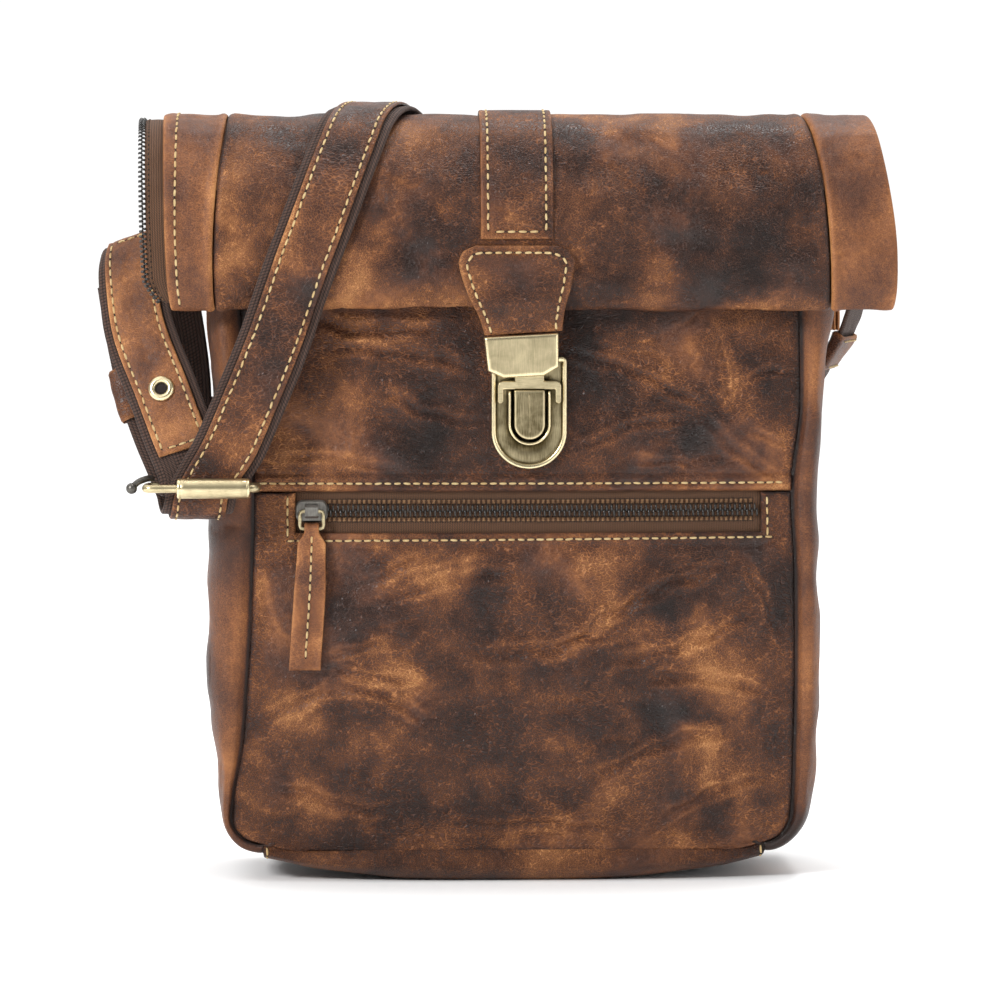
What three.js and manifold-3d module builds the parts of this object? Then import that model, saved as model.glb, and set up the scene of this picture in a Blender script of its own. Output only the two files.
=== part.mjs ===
// Shoulder bag of brown leather: a tall body whose top is folded forward, a zipped front pocket,
// a push lock on the front and a webbing strap draped over the top.
// Millimetres, +Z up, the front faces -Y, and +X is to the right as seen from the front.
// The origin is the middle of the flat underside.
import * as THREE from 'three';
import { mergeVertices } from 'three/addons/utils/BufferGeometryUtils.js';
import Module from 'manifold-3d';

const wasm = await Module();
wasm.setup();

// Driving dimensions of the body
const bodyWidth = 254;
const bodyDepth = 78;
const bagHeight = 316;
const mouthHeight = 238;
const leatherWall = 1.8;
const seamLobe = 3.4;
const halfWidth = bodyWidth / 2;
const halfDepth = bodyDepth / 2;

// Clearances
const seamGap = 0.5;
const cornerGap = 0.7;
const layGap = 0.35;
const strapGap = 1.1;
const keeperGap = 0.8;
const slideGap = 0.35;

// Pocket zip
const pocketTop = 161.6;
const openingLeft = -90.6;
const openingRight = 100.6;
const openingHeight = 16.8;
const tapeWall = 0.8;
const tapeMargin = 5;
const coilHeight = 6.5;
const coilWall = 1.5;
const coilDrop = 7.8;
const sliderLength = 13;
const sliderHeight = 9;
const sliderWall = 3.4;
const bridgeWidth = 5.5;
const bridgeRise = 3.6;
const linkWire = 1.5;
const linkWidth = 9.6;
const linkLength = 7.2;
const pullerWidth = 13;
const pullerLength = 58;
const pullerWall = 3.6;

// Closure
const lockCentre = 5.3;
const stripWidth = 29.5;
const stripEndRise = 29;
const tabTopRise = 26.5;
const tabTopWidth = 44;
const tabEndWidth = 31.6;
const tabWall = 2.4;
const capWidth = 30.6;
const capHeight = 17.2;
const capWall = 4.6;
const capDrop = 27;
const plateWidth = 31;
const plateTopDrop = 19;
const plateHeight = 46;
const plateWall = 1.8;
const rimWidth = 2.2;
const rimRise = 1.3;
const buttonWidth = 12.6;
const buttonHeight = 20.2;
const buttonDrop = 52.65;
const buttonRise = 6.2;
const buttonTravel = 1.6;
const collarWall = 1.1;
const collarGap = 1.25;
const collarRise = 5;
const haspBar = 3.6;
const haspLeg = 2.5;
const haspWidth = 26;
const haspDrop = 9.6;
const haspWall = 2.5;

// Straps and buckle
const webbingWidth = 29;
const webbingWall = 2;
const overlayWidth = 22;
const overlayWall = 1.6;
const keeperWall = 1.4;
const leftTabWidth = 26;
const leftTabHeight = 22;
const leftTabWall = 3;
const rightTabWall = 4.6;
const rightTabDepth = 24;
const rightTabHeight = 36.5;
const topZipReach = 7.5;
const topZipWall = 1;
const topCoilWidth = 2.6;
const topCoilWall = 2.4;
const rearBarDepth = 47.85;
const rearBarHeight = 164.6;
const buckleCentre = -128.2;
const buckleLength = 48;
const buckleWire = 3.4;
const rollerLength = 29.4;
const rollerCentre = -123.2;
const rollerRadius = 4.1;
const foldDrop = 4.6;
const foldRadius = 5.65;
const eyeletRadius = 5.3;
const eyeletHole = 2.3;
const eyeletWall = 1.5;

// Edges of the two gussets, as shares of half the body's width and of the mouth's height.
// The first two rows are the front panel's lower corners, below the end of the gusset.
// The tuck is a share of half the depth, by which the top goes inside the flap.
const leftEdges = [
  { seam: 0.690, height: 0.0513 },
  { seam: 0.756, height: 0.0546 },
  { seam: 0.826, height: 0.0639, side: 0.831, sideHeight: 0.0437, tuck: 0 },
  { seam: 0.884, height: 0.0739, side: 0.902, sideHeight: 0.0555, tuck: 0 },
  { seam: 0.922, height: 0.1020, side: 0.953, sideHeight: 0.0950, tuck: 0 },
  { seam: 0.917, height: 0.1510, side: 0.966, sideHeight: 0.1560, tuck: 0 },
  { seam: 0.888, height: 0.2440, side: 0.982, sideHeight: 0.2440, tuck: 0 },
  { seam: 0.872, height: 0.3490, side: 1.000, sideHeight: 0.3490, tuck: 0 },
  { seam: 0.853, height: 0.5420, side: 0.998, sideHeight: 0.5420, tuck: 0 },
  { seam: 0.849, height: 0.6810, side: 0.992, sideHeight: 0.6810, tuck: 0 },
  { seam: 0.870, height: 0.8320, side: 0.973, sideHeight: 0.8320, tuck: 0 },
  { seam: 0.890, height: 1.0000, side: 1.004, sideHeight: 1.0000, tuck: 0.18 },
  { seam: 0.890, height: 1.1010, side: 0.984, sideHeight: 1.1010, tuck: 0.20 },
  { seam: 0.882, height: 1.2020, side: 0.937, sideHeight: 1.2020, tuck: 0.20 },
];
const rightEdges = [
  { seam: 0.690, height: 0.0513 },
  { seam: 0.756, height: 0.0546 },
  { seam: 0.818, height: 0.0639, side: 0.825, sideHeight: 0.0445, tuck: 0 },
  { seam: 0.863, height: 0.0739, side: 0.890, sideHeight: 0.0567, tuck: 0 },
  { seam: 0.897, height: 0.1020, side: 0.951, sideHeight: 0.0945, tuck: 0 },
  { seam: 0.906, height: 0.1510, side: 0.978, sideHeight: 0.1510, tuck: 0 },
  { seam: 0.910, height: 0.2440, side: 0.997, sideHeight: 0.2440, tuck: 0 },
  { seam: 0.913, height: 0.3490, side: 1.000, sideHeight: 0.3490, tuck: 0 },
  { seam: 0.910, height: 0.5420, side: 0.995, sideHeight: 0.5420, tuck: 0 },
  { seam: 0.898, height: 0.6810, side: 0.992, sideHeight: 0.6810, tuck: 0 },
  { seam: 0.928, height: 0.8320, side: 1.009, sideHeight: 0.8320, tuck: 0 },
  { seam: 0.924, height: 1.0000, side: 1.039, sideHeight: 1.0000, tuck: 0.18 },
  { seam: 0.923, height: 1.1010, side: 1.016, sideHeight: 1.1010, tuck: 0.20 },
  { seam: 0.913, height: 1.2020, side: 0.961, sideHeight: 1.2020, tuck: 0.20 },
];

// Depth of the front face at its side seams and in its middle, as shares of half the depth
const frontSections = [
  { height: 0.050, seam: 0.82, middle: 0.90 },
  { height: 0.168, seam: 0.87, middle: 1.04 },
  { height: 0.378, seam: 0.90, middle: 1.09 },
  { height: 0.546, seam: 0.90, middle: 1.06 },
  { height: 0.693, seam: 0.885, middle: 1.01 },
  { height: 0.840, seam: 0.87, middle: 0.99 },
  { height: 1.000, seam: 0.846, middle: 0.95 },
  { height: 1.220, seam: 0.77, middle: 0.82 },
];

// The leather that rises as the back, goes over the top, hangs as the flap and turns in below.
// Depth is a share of half the depth, height of the bag's height, the rest of half the width.
// The flap's side pieces reach from the seams to the ends, and start in the sixth row.
const wrapSections = [
  { depth: 0.92, height: 0.041, leftSeam: 0.82, rightSeam: 0.82, leftEnd: 0.86, rightEnd: 0.86 },
  { depth: 0.99, height: 0.072, leftSeam: 0.88, rightSeam: 0.88, leftEnd: 0.92, rightEnd: 0.92 },
  { depth: 1.05, height: 0.190, leftSeam: 0.893, rightSeam: 0.893, leftEnd: 0.94, rightEnd: 0.94 },
  { depth: 1.09, height: 0.380, leftSeam: 0.890, rightSeam: 0.890, leftEnd: 0.95, rightEnd: 0.95 },
  { depth: 1.06, height: 0.570, leftSeam: 0.890, rightSeam: 0.890, leftEnd: 0.97, rightEnd: 0.97 },
  { depth: 0.95, height: 0.722, leftSeam: 0.890, rightSeam: 0.898, leftEnd: 1.00, rightEnd: 1.03 },
  { depth: 0.76, height: 0.835, leftSeam: 0.898, rightSeam: 0.906, leftEnd: 1.071, rightEnd: 1.094 },
  { depth: 0.41, height: 0.934, leftSeam: 0.909, rightSeam: 0.917, leftEnd: 1.118, rightEnd: 1.126 },
  { depth: -0.02, height: 0.987, leftSeam: 0.920, rightSeam: 0.929, leftEnd: 1.130, rightEnd: 1.138 },
  { depth: -0.50, height: 1.000, leftSeam: 0.924, rightSeam: 0.931, leftEnd: 1.134, rightEnd: 1.148 },
  { depth: -0.93, height: 0.980, leftSeam: 0.933, rightSeam: 0.949, leftEnd: 1.132, rightEnd: 1.165 },
  { depth: -1.19, height: 0.921, leftSeam: 0.953, rightSeam: 0.980, leftEnd: 1.130, rightEnd: 1.193 },
  { depth: -1.28, height: 0.842, leftSeam: 0.968, rightSeam: 1.000, leftEnd: 1.126, rightEnd: 1.220 },
  { depth: -1.277, height: 0.774, leftSeam: 0.968, rightSeam: 1.006, leftEnd: 1.117, rightEnd: 1.223 },
  { depth: -1.157, height: 0.747, leftSeam: 0.962, rightSeam: 1.008, leftEnd: 1.106, rightEnd: 1.214 },
  { depth: -1.035, height: 0.774, leftSeam: 0.956, rightSeam: 1.004, leftEnd: 1.100, rightEnd: 1.205 },
  { depth: -1.015, height: 0.835, leftSeam: 0.947, rightSeam: 0.996, leftEnd: 1.106, rightEnd: 1.200 },
  { depth: -0.965, height: 0.902, leftSeam: 0.935, rightSeam: 0.982, leftEnd: 1.112, rightEnd: 1.185 },
];
const flapStart = 5;
const flapFold = bagHeight * Math.min(...wrapSections.slice(flapStart).map((row) => row.height));

// Cross-section of a gusset from the front seam to the back seam. Across is the share of the depth,
// out the share of the way from the seam to the side, swell the share of the lobe.
const gussetSection = [
  { across: 0.00, out: 0.00, swell: 0.0 },
  { across: 0.00, out: 0.25, swell: 0.75 },
  { across: 0.01, out: 0.60, swell: 0.9 },
  { across: 0.09, out: 0.93, swell: 0.4 },
  { across: 0.27, out: 1.00, swell: 0.0 },
  { across: 0.50, out: 0.955, swell: 0.0 },
  { across: 0.73, out: 1.00, swell: 0.0 },
  { across: 0.91, out: 0.93, swell: -0.4 },
  { across: 0.99, out: 0.60, swell: -0.9 },
  { across: 1.00, out: 0.25, swell: -0.75 },
  { across: 1.00, out: 0.00, swell: 0.0 },
];

// Cross-section of the bottom panel from front to back. Across is the share of the depth between
// the seams, out the share of the lobe beyond them, rise the share of the panel's own height.
const bottomSection = [
  { across: 0.00, out: -0.3, rise: 1.00 },
  { across: 0.00, out: -0.9, rise: 0.50 },
  { across: 0.02, out: 0.0, rise: 0.14 },
  { across: 0.11, out: 0.0, rise: 0.0 },
  { across: 0.50, out: 0.0, rise: 0.0 },
  { across: 0.89, out: 0.0, rise: 0.0 },
  { across: 0.98, out: 0.0, rise: 0.14 },
  { across: 1.00, out: 0.9, rise: 0.50 },
  { across: 1.00, out: 0.3, rise: 1.00 },
];

// The underside sags flat in the middle and rises to its ends, as shares of half the width
const undersideSections = [
  { reach: 0.00, rise: 0.0 },
  { reach: 0.34, rise: 0.0 },
  { reach: 0.46, rise: 0.011 },
  { reach: 0.60, rise: 0.027 },
  { reach: 0.72, rise: 0.044 },
  { reach: 0.82, rise: 0.071 },
];

// Materials, with the colours of the photo
function finish(colour, roughness, metalness) {
  return new THREE.MeshStandardMaterial({ color: colour, roughness, metalness });
}
const darkLeather = () => finish(0x5c3a28, 0.55, 0);
const midLeather = () => finish(0x7a4c30, 0.55, 0);
const lightLeather = () => finish(0x9a6a42, 0.6, 0);
const webbingCloth = () => finish(0x2d1e1c, 0.9, 0);
const tapeCloth = () => finish(0x6e4b32, 0.85, 0);
const blackNylon = () => finish(0x141212, 0.35, 0);
const antiqueBrass = () => finish(0xb9a878, 0.35, 1);

// Reads a column at a value of the key column, along a smooth curve that never overshoots a row
function readTable(rows, key, column, at) {
  const last = rows.length - 1;
  if (at <= rows[0][key]) return rows[0][column];
  if (at >= rows[last][key]) return rows[last][column];
  const index = rows.findIndex((row, place) => place > 0 && at <= row[key]) - 1;
  const slope = (i) => (rows[i + 1][column] - rows[i][column]) / (rows[i + 1][key] - rows[i][key]);
  const tangent = (i) => {
    if (i === 0 || i === last) return 0;
    const [before, after] = [slope(i - 1), slope(i)];
    return before * after <= 0 ? 0 : (2 * before * after) / (before + after);
  };
  const [low, high] = [rows[index], rows[index + 1]];
  const span = high[key] - low[key];
  const t = (at - low[key]) / span;
  const startShape = 2 * t ** 3 - 3 * t ** 2 + 1;
  const startLean = (t ** 3 - 2 * t ** 2 + t) * span;
  const endLean = (t ** 3 - t ** 2) * span;
  return startShape * low[column] + (1 - startShape) * high[column]
    + startLean * tangent(index) + endLean * tangent(index + 1);
}

// Closed geometry from points and triangles
function meshGeometry(points, triangles) {
  const geometry = new THREE.BufferGeometry();
  const flat = points.flatMap((point) => [point.x, point.y, point.z]);
  geometry.setAttribute('position', new THREE.Float32BufferAttribute(flat, 3));
  geometry.setIndex(triangles.flat());
  geometry.computeVertexNormals();
  return geometry;
}

// A wall between two grids of points, the outer and the inner one. In each row the points run to
// the right and the rows run upwards, as seen from outside.
function wallBetween(rows, backs) {
  const [high, wide] = [rows.length, rows[0].length];
  const count = high * wide;
  const id = (i, j) => i * wide + j;
  const triangles = [];
  const quad = (a, b, c, d) => triangles.push([a, b, c], [a, c, d]);
  for (let i = 0; i < high - 1; i += 1) {
    for (let j = 0; j < wide - 1; j += 1) {
      const [a, b, c, d] = [id(i, j), id(i, j + 1), id(i + 1, j + 1), id(i + 1, j)];
      quad(a, b, c, d);
      quad(c + count, b + count, a + count, d + count);
    }
    const [low, high2] = [id(i, 0), id(i + 1, 0)];
    quad(low, high2, high2 + count, low + count);
    const [lowEnd, highEnd] = [id(i, wide - 1), id(i + 1, wide - 1)];
    quad(lowEnd + count, highEnd + count, highEnd, lowEnd);
  }
  for (let j = 0; j < wide - 1; j += 1) {
    const [left, right] = [id(0, j), id(0, j + 1)];
    quad(left + count, right + count, right, left);
    const [leftTop, rightTop] = [id(high - 1, j), id(high - 1, j + 1)];
    quad(leftTop, rightTop, rightTop + count, leftTop + count);
  }
  return meshGeometry([...rows.flat(), ...backs.flat()], triangles);
}

// A wall of even thickness behind a grid of outer points
function wallFromGrid(rows, thickness) {
  const [high, wide] = [rows.length, rows[0].length];
  const at = (i, j) => rows[Math.min(Math.max(i, 0), high - 1)][Math.min(Math.max(j, 0), wide - 1)];
  const normal = (i, j) => {
    const right = at(i, j + 1).clone().sub(at(i, j - 1));
    const up = at(i + 1, j).clone().sub(at(i - 1, j));
    return right.cross(up).normalize();
  };
  const backs = rows.map((row, i) => row.map(
    (point, j) => point.clone().addScaledVector(normal(i, j), -thickness),
  ));
  return wallBetween(rows, backs);
}

// A tube that closes on itself, through rings of points that all have the same count
function closedLoft(rings) {
  const sides = rings[0].length;
  const triangles = [];
  rings.forEach((ring, i) => {
    const next = (i + 1) % rings.length;
    for (let j = 0; j < sides; j += 1) {
      const [a, b] = [i * sides + j, i * sides + ((j + 1) % sides)];
      const [c, d] = [next * sides + ((j + 1) % sides), next * sides + j];
      triangles.push([a, b, c], [a, c, d]);
    }
  });
  return meshGeometry(rings.flat(), triangles);
}

function toSolid(geometry) {
  const bare = new THREE.BufferGeometry();
  bare.setAttribute('position', geometry.getAttribute('position').clone());
  if (geometry.index) bare.setIndex(geometry.index.clone());
  const merged = mergeVertices(bare, 1e-4);
  return new wasm.Manifold(new wasm.Mesh({
    numProp: 3,
    vertProperties: new Float32Array(merged.getAttribute('position').array),
    triVerts: new Uint32Array(merged.index.array),
  }));
}

function fromSolid(solid) {
  const mesh = solid.getMesh();
  const geometry = new THREE.BufferGeometry();
  const places = new Float32Array(mesh.numVert * 3);
  for (let i = 0; i < mesh.numVert; i += 1) {
    for (let axis = 0; axis < 3; axis += 1) {
      places[i * 3 + axis] = mesh.vertProperties[i * mesh.numProp + axis];
    }
  }
  geometry.setAttribute('position', new THREE.BufferAttribute(places, 3));
  geometry.setIndex([...mesh.triVerts]);
  geometry.computeVertexNormals();
  return geometry;
}

const cut = (geometry, ...cutters) => fromSolid(
  cutters.reduce((solid, cutter) => solid.subtract(toSolid(cutter)), toSolid(geometry)),
);
const join = (geometry, ...others) => fromSolid(
  others.reduce((solid, other) => solid.add(toSolid(other)), toSolid(geometry)),
);

const bag = new THREE.Group();
function addPiece(name, geometry, material, parent = bag) {
  const mesh = new THREE.Mesh(geometry, material);
  mesh.name = name;
  parent.add(mesh);
  return mesh;
}

// Front face: where its side seams run and how far forward it stands
const seamReach = (edges, z) => halfWidth * readTable(edges, 'height', 'seam', z / mouthHeight);
function frontDepth(x, z) {
  const share = z / mouthHeight;
  const seam = readTable(frontSections, 'height', 'seam', share);
  const middle = readTable(frontSections, 'height', 'middle', share);
  const reach = Math.min(Math.abs(x) / seamReach(x < 0 ? leftEdges : rightEdges, z), 1);
  return -halfDepth * (seam + (middle - seam) * (1 - reach ** 2.4));
}
const frontColumns = [-1, -0.95, -0.84, -0.68, -0.46, -0.23, 0, 0.23, 0.46, 0.68, 0.84, 0.95, 1];
function frontRow(z) {
  const left = seamReach(leftEdges, z) - seamGap / 2;
  const right = seamReach(rightEdges, z) - seamGap / 2;
  return frontColumns.map((share) => {
    const x = share * (share < 0 ? left : right);
    return new THREE.Vector3(x, frontDepth(x, z), z);
  });
}
// A sheet that lies in front of or behind the front face, between two sides and at some heights
function sheetOnFront(left, right, columns, heights, lift, thickness) {
  const rows = heights.map((z) => Array.from({ length: columns + 1 }, (_, j) => {
    const x = left + ((right - left) * j) / columns;
    return new THREE.Vector3(x, frontDepth(x, z) - lift, z);
  }));
  return wallFromGrid(rows, thickness);
}

// The wrap: back, top, flap and turned-in edge as one path, read by its place among the sections
const wrapPath = new THREE.CatmullRomCurve3(
  wrapSections.map((row) => new THREE.Vector3(0, row.depth * halfDepth, row.height * bagHeight)),
  false,
  'centripetal',
);
const wrapSeams = new THREE.CatmullRomCurve3(
  wrapSections.map((row) => new THREE.Vector3(row.leftSeam, row.rightSeam, 0)),
  false,
  'catmullrom',
);
const wrapEnds = new THREE.CatmullRomCurve3(
  wrapSections.map((row) => new THREE.Vector3(row.leftEnd, row.rightEnd, 0)),
  false,
  'catmullrom',
);
const wrapLast = wrapSections.length - 1;
function wrapFrame(place) {
  const centre = wrapPath.getPoint(place / wrapLast);
  const before = wrapPath.getPoint(Math.max(place - 0.02, 0) / wrapLast);
  const after = wrapPath.getPoint(Math.min(place + 0.02, wrapLast) / wrapLast);
  const along = after.sub(before).normalize();
  return { centre, along, normal: new THREE.Vector3(0, along.z, -along.y) };
}
function wrapPoint(x, place, lift = 0) {
  const { centre, normal } = wrapFrame(place);
  return centre.clone().addScaledVector(normal, lift).setX(x);
}
// The place between two others at which the wrap passes a height
function wrapPlaceAt(height, from, to) {
  const rising = wrapFrame(to).centre.z > wrapFrame(from).centre.z;
  let [low, high] = [from, to];
  for (let step = 0; step < 40; step += 1) {
    const middle = (low + high) / 2;
    if ((wrapFrame(middle).centre.z < height) === rising) low = middle;
    else high = middle;
  }
  return (low + high) / 2;
}
const topPlace = 9;
const flapFrontPlace = 13;
const hairpinPlace = 14;
const gussetRows = (edges) => edges.filter((row) => row.side !== undefined);
const backHeights = gussetRows(leftEdges)
  .map((row) => row.height * mouthHeight)
  .filter((z) => z < mouthHeight - 20);
const backPlaces = [0, ...backHeights.map((z) => wrapPlaceAt(z, 0, flapStart))];
const flapPlaces = [
  5, 5.5, 6, 6.5, 7, 7.4, 7.8, 8.2, 8.6, 9, 9.4, 9.8, 10.2, 10.6, 11, 11.5, 12, 12.5, 13,
  13.3, 13.55, 13.8, 14, 14.2, 14.45, 14.7, 15, 16, 17,
];

function addPanels() {
  const heights = leftEdges.map((row) => row.height * mouthHeight);
  const lowerHeights = [...heights.filter((z) => z < pocketTop - 10), pocketTop - seamGap];
  const upperHeights = [pocketTop, ...heights.filter((z) => z > pocketTop + 10)];
  const openingBottom = pocketTop - openingHeight;
  const opening = new THREE.BoxGeometry(openingRight - openingLeft, bodyDepth, openingHeight * 2);
  opening.translate((openingLeft + openingRight) / 2, -halfDepth, openingBottom + openingHeight);
  const lower = cut(wallFromGrid(lowerHeights.map(frontRow), leatherWall), opening);
  addPiece('front_lower_panel', lower, midLeather());
  addPiece('front_upper_panel', wallFromGrid(upperHeights.map(frontRow), leatherWall), darkLeather());

  const shares = [1, 0.93, 0.75, 0.5, 0.25, 0, -0.25, -0.5, -0.75, -0.93, -1];
  const rows = [...backPlaces, ...flapPlaces].map((place) => {
    const seams = wrapSeams.getPoint(place / wrapLast).multiplyScalar(halfWidth);
    return shares.map((share) => wrapPoint(share * (share > 0 ? seams.y : seams.x), place));
  });
  addPiece('back_and_flap_panel', wallFromGrid(rows, leatherWall), midLeather());
}

// The flattened tops of the gussets, beside the flap
const flapSideWall = { left: leatherWall, right: leatherWall * 1.6 };
function addFlapSides() {
  const shares = [0, 0.35, 0.7, 1];
  const leftRows = flapPlaces.map((place) => {
    const from = wrapSeams.getPoint(place / wrapLast).x * halfWidth + seamGap;
    const to = wrapEnds.getPoint(place / wrapLast).x * halfWidth;
    return shares.map((share) => wrapPoint(-(from + (to - from) * share), place));
  });
  const rightRows = flapPlaces.map((place) => {
    const from = wrapSeams.getPoint(place / wrapLast).y * halfWidth + seamGap;
    const to = wrapEnds.getPoint(place / wrapLast).y * halfWidth;
    return shares.map((share) => wrapPoint(to + (from - to) * share, place));
  });
  addPiece('flap_side_left', wallFromGrid(leftRows, flapSideWall.left), lightLeather());
  addPiece('flap_side_right', wallFromGrid(rightRows, flapSideWall.right), midLeather());
}

function addGusset(name, edges, side) {
  const rows = gussetRows(edges).map((row) => {
    const z = row.height * mouthHeight;
    const frontX = row.seam * halfWidth + seamGap / 2;
    const frontY = frontDepth(side * row.seam * halfWidth, z);
    const place = wrapPlaceAt(z, 0, topPlace - 1);
    const backSeams = wrapSeams.getPoint(place / wrapLast);
    const backX = (side < 0 ? backSeams.x : backSeams.y) * halfWidth + cornerGap;
    const backY = wrapFrame(place).centre.y - row.tuck * halfDepth;
    const outX = row.side * halfWidth;
    const outZ = row.sideHeight * mouthHeight;
    const lobe = Math.min(seamLobe, (outX - frontX) * 0.3 + 0.8);
    const points = gussetSection.map(({ across, out, swell }) => {
      const seamX = frontX + (backX - frontX) * across;
      const x = seamX + (outX - seamX) * out;
      const y = frontY + (backY - frontY) * across - swell * lobe;
      return new THREE.Vector3(side * x, y, z + (outZ - z) * out);
    });
    return side < 0 ? points.reverse() : points;
  });
  addPiece(name, wallFromGrid(rows, leatherWall), lightLeather());
}

function addBottom() {
  const corner = (edges) => edges.slice(0, 3).map((row) => row.seam * halfWidth);
  const [leftCorner, rightCorner] = [corner(leftEdges), corner(rightEdges)];
  const hem = leftEdges.slice(0, 3).map((row) => row.height * mouthHeight);
  const flat = undersideSections[1].reach * halfWidth;
  const half = (reaches) => [
    { x: flat, top: hem[0] },
    { x: (flat + reaches[0]) / 2, top: hem[0] },
    { x: reaches[0], top: hem[0] },
    { x: reaches[1], top: hem[1] },
    { x: reaches[2] - seamGap, top: hem[2] },
  ];
  const stations = [
    ...half(leftCorner).map(({ x, top }) => ({ x: -x, top })).reverse(),
    ...half(rightCorner),
  ];
  const backY = wrapSections[0].depth * halfDepth;
  const backTop = wrapSections[0].height * bagHeight;
  const rows = [...bottomSection].reverse().map(({ across, out, rise }) => stations.map(
    ({ x, top }) => {
      const frontY = frontDepth(x, top);
      const edge = top + (backTop - top) * across - seamGap;
      const low = halfWidth * readTable(undersideSections, 'reach', 'rise', Math.abs(x) / halfWidth);
      const y = frontY + (backY - frontY) * across + out * seamLobe;
      return new THREE.Vector3(x, y, low + (edge - low) * rise);
    },
  ));
  addPiece('bottom_panel', wallFromGrid(rows, leatherWall), midLeather());
}

addPanels();
addFlapSides();
addGusset('gusset_left', leftEdges, -1);
addGusset('gusset_right', rightEdges, 1);
addBottom();

// A flat outline drawn in x and z, raised towards the front from y = 0
function frontPlate(shape, depth, bevel = 0, rounds = 1) {
  const geometry = new THREE.ExtrudeGeometry(shape, {
    depth: depth - 2 * bevel,
    bevelEnabled: bevel > 0,
    bevelThickness: bevel,
    bevelSize: bevel,
    bevelOffset: -bevel,
    bevelSegments: rounds,
    curveSegments: 6,
  });
  geometry.translate(0, 0, bevel);
  return geometry.rotateX(Math.PI / 2);
}

// An outline drawn in z and outward depth, extruded along x about x = 0
function crossPlate(shape, length) {
  const geometry = new THREE.ExtrudeGeometry(shape, { depth: length, bevelEnabled: false });
  geometry.translate(0, 0, -length / 2);
  const axes = new THREE.Matrix4().makeBasis(
    new THREE.Vector3(0, 0, 1),
    new THREE.Vector3(0, -1, 0),
    new THREE.Vector3(1, 0, 0),
  );
  return geometry.applyMatrix4(axes);
}

function roundedRectangle(width, height, radius) {
  const [x, y] = [width / 2, height / 2];
  const shape = new THREE.Shape();
  shape.moveTo(-x + radius, -y);
  shape.lineTo(x - radius, -y);
  shape.absarc(x - radius, -y + radius, radius, -Math.PI / 2, 0);
  shape.lineTo(x, y - radius);
  shape.absarc(x - radius, y - radius, radius, 0, Math.PI / 2);
  shape.lineTo(-x + radius, y);
  shape.absarc(-x + radius, y - radius, radius, Math.PI / 2, Math.PI);
  shape.lineTo(-x, -y + radius);
  shape.absarc(-x + radius, -y + radius, radius, Math.PI, Math.PI * 1.5);
  return shape;
}

// A shape with a straight top and a round bottom, its top edge at the given height
function tongueShape(width, top, bottom, corner) {
  const radius = width / 2;
  const shape = new THREE.Shape();
  shape.moveTo(-radius, top - corner);
  shape.lineTo(-radius, bottom + radius);
  shape.absarc(0, bottom + radius, radius, Math.PI, 2 * Math.PI);
  shape.lineTo(radius, top - corner);
  shape.lineTo(radius - corner, top);
  shape.lineTo(-radius + corner, top);
  return shape;
}

// A closed round wire through points in order
function wireLoop(points, radius, sides) {
  const rings = points.map((point, i) => {
    const before = points[(i + points.length - 1) % points.length];
    const after = points[(i + 1) % points.length];
    const along = after.clone().sub(before).normalize();
    const up = new THREE.Vector3(0, 0, 1);
    if (Math.abs(along.z) > 0.9) up.set(0, 1, 0);
    const flat = points.every((other) => Math.abs(other.y - points[0].y) < 1e-6);
    if (flat) up.set(0, 1, 0);
    const out = along.clone().cross(up).normalize();
    return Array.from({ length: sides }, (_, j) => {
      const angle = (-2 * Math.PI * j) / sides;
      return point.clone()
        .addScaledVector(out, radius * Math.cos(angle))
        .addScaledVector(up, radius * Math.sin(angle));
    });
  });
  return closedLoft(rings);
}

// Pocket zip
const zipHeight = pocketTop - coilDrop;
const sliderCentre = openingLeft + sliderLength / 2 + layGap;
const sliderInner = sliderCentre + sliderLength / 2;
const sliderFace = leatherWall - sliderWall + Math.min(
  frontDepth(sliderInner, zipHeight - sliderHeight / 2),
  frontDepth(sliderInner, zipHeight + sliderHeight / 2),
);

function addPocketZip() {
  const openingBottom = pocketTop - openingHeight;
  const tapeHeights = [openingBottom - tapeMargin, openingBottom, pocketTop, pocketTop + tapeMargin];
  const tapeLift = -(leatherWall + layGap);
  const tape = sheetOnFront(
    openingLeft - tapeMargin, openingRight + tapeMargin, 12, tapeHeights, tapeLift, tapeWall,
  );
  addPiece('pocket_zip_tape', tape, tapeCloth());
  const coilHeights = [zipHeight - coilHeight / 2, zipHeight, zipHeight + coilHeight / 2];
  const coil = sheetOnFront(
    sliderCentre + sliderLength / 2 + layGap, openingRight - 1, 12, coilHeights,
    coilWall - leatherWall, coilWall,
  );
  addPiece('pocket_zip_coil', coil, blackNylon());

  const body = frontPlate(roundedRectangle(sliderLength, sliderHeight, 3), sliderWall, 0.6);
  const side = bridgeRise - 1;
  const foot = -0.5;
  const inner = linkWire / 2 + 2 * layGap;
  const outer = inner + 1.3;
  const arch = new THREE.Shape([
    new THREE.Vector2(-outer, foot),
    new THREE.Vector2(-inner, foot),
    new THREE.Vector2(-inner, side),
    new THREE.Vector2(inner, side),
    new THREE.Vector2(inner, foot),
    new THREE.Vector2(outer, foot),
    new THREE.Vector2(outer, side),
    new THREE.Vector2(outer - 1, bridgeRise),
    new THREE.Vector2(-outer + 1, bridgeRise),
    new THREE.Vector2(-outer, side),
  ]);
  const bridge = crossPlate(arch, bridgeWidth).translate(0, -sliderWall, 0);
  const slider = addPiece('pocket_zip_slider', join(body, bridge), antiqueBrass());
  slider.position.set(sliderCentre, sliderFace + sliderWall, zipHeight);
}

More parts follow.
